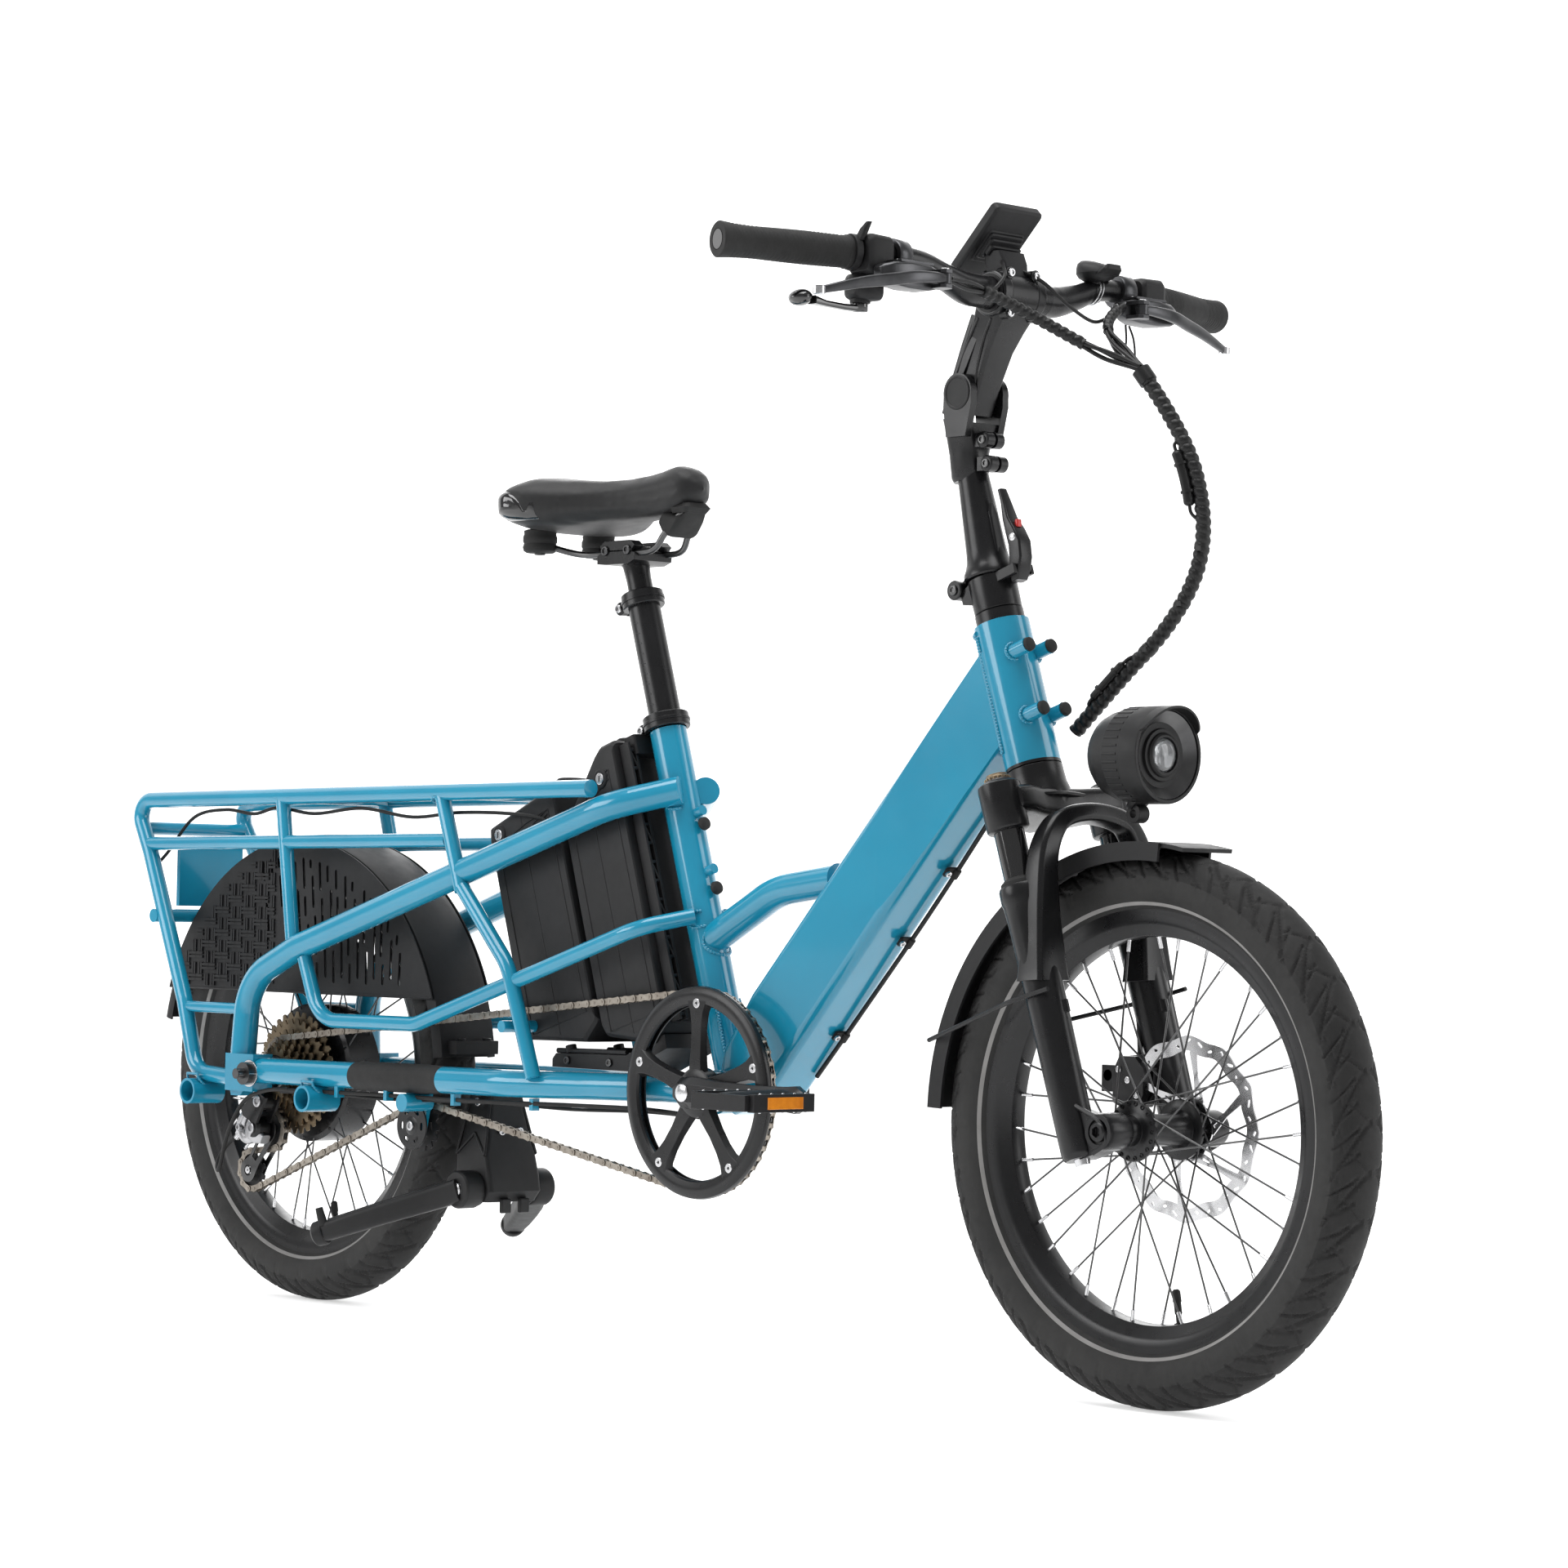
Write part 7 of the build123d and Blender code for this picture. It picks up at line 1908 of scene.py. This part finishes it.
def build_posts():
    """Seat clamp, lower post with its clamp, and upper post with the rail clamp head."""
    s = Shape()
    clamp_ring(s, 657, 16, 20.3, 25)
    piece(s, "seat_clamp_collar", "frame", "black_satin steel_bright", bevel=0.6, replaces=["seat_clamp"],
          angle=36)
    s = Shape()
    wall = [(500, 14.0), (500, 17.4), (801, 17.4), (802, 16.6), (802, 13.8)]
    k = math.cos(LEAN)
    s.lathe(seat_at(500), SEAT_DIR, [((z - 500) / k, r) for z, r in wall], 48, 0)
    clamp_ring(s, 790, 16, 17.5, 23)
    for n in range(9):
        z = 684 + 11 * n
        c = seat_at(z, -17.4)
        s.box(c + Vector((-3.5, -0.25, -0.35)), c + Vector((3.5, 0.3, 0.35)), 2)
    loft(s, [(seat_at(z, -17.2) + Vector((11, 5.2, 0)), SEAT_DIR, X, rounded(26, 1.1, 1))
             for z in (764, 766)], 2)
    piece(s, "lower_post_tube", "lower_post", "black_satin steel_bright lever_grey", bevel=0.5,
          replaces=["lower_seatpost"], angle=36)
    s = Shape()
    foot = seat_at(640)
    s.tube([foot + SEAT_DIR * t for t in (0, 1, 190, 206, 212)], [12.6, 13.55, 13.55, 14.6, 17], 40, 0)
    head = seat_at(842)
    profile = [(-32, -5), (-20, -6), (18, -6), (29, -2), (30, 6), (20, 8), (-24, 8), (-32, 4)]
    s.rings([[Vector((head.x + a, y, head.z + b)) for a, b in profile] for y in (-27, -25, 25, 27)], 0)
    cap = [(-26, 9), (24, 9), (29, 14), (22, 19.5), (-20, 19.5), (-27, 15)]
    for y0, y1 in ((-27, -13), (13, 27)):
        s.rings([[Vector((head.x + a, y, head.z + b)) for a, b in cap] for y in (y0, y1)], 0)
    for x in (-18, 18):
        s.tube([(head.x + x, -26, head.z + 9), (head.x + x, 26, head.z + 9)], 5.2, 20, 0)
        s.bolt((head.x + x, -26.4, head.z + 9), -Y, 5.4, 3.4, mat=1)
        s.bolt((head.x + x, 26.4, head.z + 9), Y, 5.4, 3.4, mat=1)
    return piece(s, "upper_post_and_head", "saddle_post", "black_satin steel_dark", bevel=0.7,
                 replaces=["upper_seatpost"],
                 angle=36)


build_posts()


def build_rails():
    """Bent wire rails, their front socket, the two elastomer bumpers and the scuff boot."""
    s = Shape()
    for side in (-1, 1):
        rail = [(426, side * 40, 864), (450, side * 30, 855), (480, side * 20.5, 849),
                (530, side * 20, 849), (588, side * 20, 849),
                (606, side * 17, 866), (622, side * 13, 884), (630, side * 9, 890)]
        s.tube(smooth_line(rail, 8), 3.5, 16, 0)
        c = Vector((428, side * 42, 852))
        s.lathe(c, Z, [(0, 0.01), (0, 15), (2, 18), (6, 19), (10, 17.6), (12, 18.8), (17, 18.8), (20, 17.6),
                       (24, 18), (25.5, 14), (25.5, 0.01)], 40, 1)
        s.bolt(c, -Z, 6, 2.5, mat=0)
    loft(s, [((626, 0, 888), Y, X, rounded(16, 12, 5)), ((628, 0, 894), Y, X, rounded(19, 15, 6)),
             ((628, 0, 899), Y, X, rounded(15, 12, 6))], 1)
    boot = [((600, 0, 884), 18, 10), ((612, 0, 876), 21, 13), ((622, 0, 874), 20, 14),
            ((632, 0, 882), 15, 12)]
    loft(s, [(c, Y, Vector((0.6, 0, 0.8)), rounded(a, b, 8)) for c, a, b in boot], 1)
    return piece(s, "saddle_rail_set", "saddle_post", "steel_dark rubber", bevel=0.4,
                 replaces=["saddle_rails"], angle=40)


build_rails()

SADDLE_PLAN = [(400, 62), (408, 92), (420, 101), (440, 101), (456, 96), (480, 83), (510, 64), (540, 48),
               (570, 37.5), (600, 31.5),
               (625, 27.5), (640, 23), (649, 15), (652.5, 7)]
SADDLE_TOP = [(400, 908), (406, 920), (420, 929), (445, 931), (480, 927), (515, 924), (555, 925),
              (590, 930), (620, 936.5), (638, 936),
              (648, 929), (652.5, 920)]
SADDLE_FOOT = [(400, 892), (406, 884), (420, 879), (445, 878), (480, 881), (515, 886), (555, 889),
               (590, 890), (620, 893), (638, 898),
               (648, 905), (652.5, 912)]


def at_x(line, x):
    """Linear reading of a list of (x, value) pairs."""
    for (x0, v0), (x1, v1) in zip(line, line[1:]):
        if x <= x1:
            return v0 + (v1 - v0) * max(0.0, (x - x0) / (x1 - x0))
    return line[-1][1]


def smooth_at(line, x):
    """The reading averaged over a short stretch, which rounds its corners."""
    return sum(at_x(line, x + k) for k in (-9, -6, -3, 0, 3, 6, 9)) / 7


def bake(o):
    """Replaces an object's mesh by what its modifiers make of it."""
    graph = bpy.context.evaluated_depsgraph_get()
    mesh = bpy.data.meshes.new_from_object(o.evaluated_get(graph))
    o.modifiers.clear()
    o.data = mesh


def puff(o, voxel, pressure, cap):
    """Swells a cushion by cloth simulation, holding each point's travel under a cap."""
    remesh = o.modifiers.new("even", "REMESH")
    remesh.mode = "VOXEL"
    remesh.voxel_size = voxel
    bake(o)
    start = [v.co.copy() for v in o.data.vertices]
    cloth = o.modifiers.new("swell", "CLOTH")
    cloth.settings.use_pressure = True
    cloth.settings.uniform_pressure_force = pressure
    cloth.settings.effector_weights.gravity = 0
    for n in range(1, 21):
        bpy.context.scene.frame_set(n)
    bake(o)
    for v, was in zip(o.data.vertices, start):
        travel = v.co - was
        if travel.length > cap:
            v.co = was + travel * (cap / travel.length)
    bpy.context.scene.frame_set(1)


def build_saddle():
    """Saddle: padded shell with a dip, raised nose and wide tail, side seam and gloss corner guards."""
    s = Shape()
    rows = []
    for k in range(64):
        x = 400 + 252.5 * k / 63
        w, top, foot = smooth_at(SADDLE_PLAN, x), smooth_at(SADDLE_TOP, x), smooth_at(SADDLE_FOOT, x)
        end = min(1.0, (x - 399) / 10) ** 0.5 * min(1.0, (654 - x) / 12) ** 0.5
        mid = foot + 0.52 * (top - foot)
        groove = 3.0 * max(0.0, 1 - abs(x - 500) / 120)
        row = []
        for j in range(56):
            a = 2 * math.pi * j / 56
            c, d = math.cos(a), math.sin(a)
            y = w * end * math.copysign(abs(c) ** 0.72, c)
            if d >= 0:
                z = mid + (top - mid) * end * d ** 0.85 - groove * max(0.0, 1 - abs(y) / 14) * d
            else:
                z = mid - (mid - foot) * end * abs(d) ** 0.45
            row.append((x, y, z))
        rows.append(row)
    s.rings(rows)
    o = piece(s, "saddle_cushion", None, "vinyl", angle=180)
    puff(o, 0.005, 4.0, 0.004)
    if not o.data.materials:
        o.data.materials.append(MATS["vinyl"])
    for v in o.data.vertices:
        x, y, z = (v.co.x - ORIGIN_X) * 1000, v.co.y * 1000, v.co.z * 1000
        seam_z = smooth_at(SADDLE_FOOT, x) + 0.42 * (smooth_at(SADDLE_TOP, x) - smooth_at(SADDLE_FOOT, x))
        depth = 1.6 * math.exp(-((z - seam_z) / 2.6) ** 2)
        v.co.y -= math.copysign(min(abs(v.co.y), depth / 1000), v.co.y)
    o.data.shade_smooth()
    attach(o, "saddle_post")
    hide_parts("saddle")
    m = o.modifiers.new("fine", "SUBSURF")
    m.levels = m.render_levels = 1
    tree = BVHTree.FromPolygons([v.co.copy() for v in o.data.vertices],
                                [tuple(p.vertices) for p in o.data.polygons])
    guards = Shape()
    for side in (-1, 1):
        rows = []
        for i in range(19):
            x = 404 + 64 * i / 18
            grow = math.sin(math.pi * min(1.0, (i + 1.2) / 16)) ** 0.5 if i < 17 else 0.4
            foot, top = smooth_at(SADDLE_FOOT, x), smooth_at(SADDLE_TOP, x)
            outer, inner = [], []
            for j in range(9):
                z = foot + 5 + (0.18 + 0.44 * grow) * (top - foot) * j / 8
                start = V(x - 40 * max(0, (430 - x) / 30), side * 180, z)
                aim = (V(max(x, 424), side * 10, z) - start).normalized()
                hit = tree.ray_cast(start, aim)[0]
                if hit is None:
                    hit = V(x, side * 60, z)
                p = Vector(((hit.x - ORIGIN_X) * 1000, hit.y * 1000, hit.z * 1000))
                lift = 1.5 if 0 < j < 8 and 0 < i < 18 else 0.2
                outer.append(p - aim * lift)
                inner.append(p + aim * 2.0)
            rows.append(outer + inner[::-1])
        guards.rings(rows)
    piece(guards, "saddle_corner_guards", "saddle_post", "gloss_black", angle=50)


build_saddle()
# ------------------------------------------------------------------ rear fender, derailleur and kickstand
REAR_AT = Vector((0.0, 0, 265.0))


def build_rear_fender():
    """Fender band with rolled lips and skirts cut with slots and ribbed with a woven relief."""
    s = Shape()
    section = [(-40, 258), (-40.4, 266), (-38, 272), (-30, 273.8), (0, 274.2), (30, 273.8), (38, 272),
               (40.4, 266), (40, 258), (38.4, 258),
               (38.6, 265), (36, 269.8), (29, 271.3), (0, 271.6), (-29, 271.3), (-36, 269.8), (-38.6, 265),
               (-38.4, 258)]
    rows = []
    for k in range(109):
        a = math.radians(6 + 162 * k / 108)
        d = Vector((math.cos(a), 0, math.sin(a)))
        rows.append([REAR_AT + d * r + Y * y for y, r in section])
    s.rings(rows)
    s.box((268, -30, 297), (286, 30, 312), 0)
    for y in (-18, 18):
        s.bolt((280, y, 312), Z, 5, 3, mat=0)
    for side in (-1, 1):
        foot = 93 / 272
        outer = [(272 * math.cos(a), 272 * math.sin(a)) for a in
                 (math.asin(foot) + (math.pi - 2 * math.asin(foot)) * i / 72 for i in range(73))]
        holes = []
        for k in range(17):
            x = -52 + 15.5 * k
            tilt = math.pi / 2 + 0.16 - 0.012 * k
            roof = math.sqrt(max(0, 262 ** 2 - x * x))
            z, n = 106.0 + 6 * (k % 2), 0
            while z < roof - 16:
                length = (38, 62, 24, 46)[(n + k) % 4]
                if z + length > roof - 10:
                    length = roof - 10 - z
                if length > 10 and not (z < 150 and x < 20):
                    holes.append(slot_outline(x - (z - 100) * 0.13, z + length / 2, length, 4.4, tilt, 4))
                z += length + 8
                n += 1
        o = Vector((0, side * 41, 265))
        s.plate(outer, holes, o, X, Z, -side * 1.6, 0)
        for i in range(15):
            for j in range(12):
                x, z = -232 + 13.0 * i, 104 + 13.5 * j
                if math.hypot(x, z) > 258 or x > -56 + z * 0.06:
                    continue
                flip = (i // 2 + j) % 2
                half = (6.8, 1.5) if flip else (1.5, 6.8)
                c = Vector((x, side * 42.8, 265 + z))
                s.box(c - Vector((half[0], 1.5, half[1])), c + Vector((half[0], 1.5, half[1])), 0)
                c = c + Vector((0, 0, 4.4)) if flip else c + Vector((4.4, 0, 0))
                s.box(c - Vector((half[0], 1.5, half[1])), c + Vector((half[0], 1.5, half[1])), 0)
        s.tube([(x, side * 41.8, 359) for x in (-254, 0, 254)], 1.6, 8, 0)
    return piece(s, "rear_fender_and_skirts", "frame", "black_plastic", replaces=["rear_fender"],
                 angle=40)


build_rear_fender()


def build_mech():
    """Rear derailleur: hanger bolt, knuckles, parallelogram links, limit screws, cable clamp."""
    s = Shape()
    upper, lower = Vector((-14, -72, 232)), Vector((-28, -72, 200))
    s.lathe(upper, Y, [(-11, 0.01), (-11, 9), (-9, 12), (8, 12.4), (10, 10), (10, 0.01)], 36, 0)
    s.bolt(upper - Y * 11, -Y, 7, 2.6, mat=1)
    s.lathe(lower, Y, [(-9, 0.01), (-9, 10), (-6, 13.5), (8, 13.5), (10.5, 11), (10.5, 0.01)], 36, 0)
    s.bolt(lower - Y * 9, -Y, 6.4, 2.4, mat=1)
    for y0, fwd in ((-84, 0), (-67, 4)):
        a = [(-8, 240), (2, 236), (-16, 206), (-26, 208), (-42, 214), (-46, 222), (-30, 234)]
        s.rings([[Vector((x + fwd, y, z)) for x, z in a] for y in (y0, y0 + 3.6)], 0)
    arm = [(-44, -76, 216), (-50, -76, 207), (-52, -75, 196), (-44, -74, 188), (-32, -73, 190)]
    s.tube(smooth_line(arm, 6), [6.4 + 1.6 * math.sin(math.pi * k / 24) for k in range(25)], 16, 1)
    for x, z, d in ((-48, 222, (-0.5, -0.3, 0.8)), (-42, 228, (-0.5, -0.3, 0.8))):
        s.tube([(x, -77, z), Vector((x, -77, z)) + Vector(d) * 7], 2.4, 12, 1)
    s.lathe((-50, -79, 200), Y, [(-4, 0.01), (-4, 5), (3, 5), (3, 0.01)], 24, 1)
    s.bolt((-50, -83, 200), -Y, 4.2, 2.4, mat=1)
    s.tube([(-60, -78, 192), (-54, -78, 198), (-46, -78, 204)], [2.6, 3.8, 3.0], 14, 1)
    knuckle = [((-38, -73, 205), 9, 8), ((-33, -73, 197), 11, 9), ((-24, -72, 190), 9, 8),
               ((-14, -71, 187), 6, 6)]
    loft(s, [(c, Y, Vector((0.5, 0, 0.85)), rounded(b, a, 4)) for c, a, b in knuckle], 1)
    hanger = [(-10, 262), (8, 258), (6, 240), (-6, 224), (-22, 228), (-20, 246)]
    s.rings([[Vector((x, y, z)) for x, z in hanger] for y in (-67.5, -62.5)], 0)
    return piece(s, "rear_derailleur_body", "frame", "black_satin alloy_satin", bevel=0.7,
                 replaces=["rear_derailleur"], angle=34)


build_mech()


def build_idler_guard():
    """Slotted outer disc of the chain idler with its bolt."""
    s = Shape()
    at = Vector((260, -69.4, 217))
    outer = circle(0, 0, 26.4, 60)
    holes = [slot_outline(17.4 * math.cos(a), 17.4 * math.sin(a), 9, 4.2, a + math.pi / 2, 5)
             for a in (2 * math.pi * k / 6 for k in range(6))]
    s.plate(outer, holes, at, X, Z, 1.8, 0)
    s.lathe(at, -Y, [(-1, 0.01), (-1, 11), (1.6, 11), (2.6, 9), (2.6, 0.01)], 40, 0)
    s.lathe(at, -Y, [(0, 24), (0, 26.6), (1.0, 26.6), (1.0, 24)], 60, 0)
    s.bolt(at - Y * 2.4, -Y, 5.4, 2.6, mat=1)
    return piece(s, "idler_guard_disc", "chain_idler", "black_satin alloy_satin",
                 angle=36, bevel=0.3)


build_idler_guard()


def build_stand():
    """Kickstand: faceted bracket under the frame, and two legs with bosses, pins, feet and rubber pads."""
    s = Shape()
    sections = []
    for z, x0, x1, half, r in ((262, 301, 339, 21, 4), (238, 300, 342, 24.5, 5), (206, 298, 347, 31, 5),
                               (188, 296.5, 350, 36.5, 5),
                               (164, 297, 357, 37.6, 6), (148, 298, 360, 37.6, 6), (136, 310, 352, 36, 7)):
        sections.append((((x0 + x1) / 2, 0, z), X, Y, rounded((x1 - x0) / 2, half, r)))
    loft(s, sections, 0)
    for side in (-1, 1):
        for a, b in (((304, side * 20.5, 256), (299, side * 36.8, 188)),
                     ((337, side * 20.5, 256), (348, side * 36.8, 188)),
                     ((299, side * 36.8, 188), (322, side * 30.0, 212)),
                     ((348, side * 36.8, 188), (322, side * 30.0, 212))):
            s.tube([a, b], 1.8, 8, 0)
        s.lathe((332, side * 37, 150), Y * side, [(-2, 9.4), (-2, 19), (1.0, 19), (1.0, 9.4)], 40, 0)
        s.tube([(322, side * 18, 268), (322, side * 75, 268)], 12, 28, 0)
        s.bolt((322, side * 24, 246), Y * side, 5, 4, mat=1)
    for y in (-13, 13):
        s.bolt((346, y, 214), X, 4.6, 4, mat=1)
        loft(s, [((357, y + 6 * k, 132), X, Z, rounded(3, 8, 2)) for k in (-1, 1)], 0)
    piece(s, "kickstand_mount", "frame", "black_powder steel_bright", bevel=1.4,
          replaces=["kickstand_bracket"], angle=30)
    s = Shape()
    pivot = joint_at("kickstand_swing")
    s.tube([pivot - Y * 62, pivot + Y * 62], 9, 32, 1)
    for side in (-1, 1):
        c = Vector((pivot.x, side * 54, pivot.z))
        s.lathe(c, Y * side, [(-15.4, 9.1), (-15.4, 20), (-13, 21), (7, 21), (9.6, 19), (9.6, 9.1)], 48, 0)
        s.lathe(c + Y * side * 9, Y * side, [(-1, 0.01), (-1, 8), (1.6, 8), (2.4, 6.6), (2.4, 0.01)], 36, 1)
        leg = [(pivot.x, 54, pivot.z, 15, 13), (312, 62, 143, 16, 13), (282, 84, 131, 15.5, 12.5),
               (250, 104, 119, 14.5, 12), (216, 123, 106, 13.5, 11.5),
               (194, 134, 98, 12.5, 11), (184, 140, 94, 11, 10)]
        line = [Vector((x, side * y, z)) for x, y, z, _, _ in leg]
        sections = []
        for i, (p, item) in enumerate(zip(line, leg)):
            d = (line[min(i + 1, len(line) - 1)] - line[max(i - 1, 0)]).normalized()
            w = d.cross(Z).normalized()
            sections.append((p, w.cross(d), w, rounded(item[4], item[3], 6)))
        loft(s, sections, 0)
        d = (line[-1] - line[-3]).normalized()
        s.tube([line[-1] - d * 10, line[-1] - d * 8, line[-1] + d * 2, line[-1] + d * 5],
               [13.5, 14.5, 14, 10], 28, 0)
        ridge = [p + Z * (k[4] - 0.6) for p, k in zip(line[1:-1], leg[1:-1])]
        s.tube(smooth_line(ridge, 4), 3.2, 10, 0)
        if side < 0:
            s.tube([line[-2] + Vector((2, -8, 6)), line[-2] + Vector((-2, -12, 26))], [5.5, 4.2], 18, 2)
    return piece(s, "kickstand_leg_pair", "kickstand", "black_powder steel_bright rubber", bevel=0.9,
                 replaces=["kickstand_legs"],
                 angle=32)


build_stand()
# ------------------------------------------------------------------ floor
bpy.ops.mesh.primitive_plane_add(size=60, location=(0, 0, 0))
floor = bpy.context.object
floor.name = "floor"
floor.data.materials.append(MATS["floor_pale"])

BACKDROP_AWAY = 14.0
bpy.ops.mesh.primitive_plane_add(size=60, location=(-back.x * BACKDROP_AWAY, -back.y * BACKDROP_AWAY, 0))
backdrop = bpy.context.object
backdrop.name = "backdrop"
backdrop.rotation_euler = (math.pi / 2, 0, CAM_AZ)
backdrop.data.materials.append(MATS["backdrop_pale"])
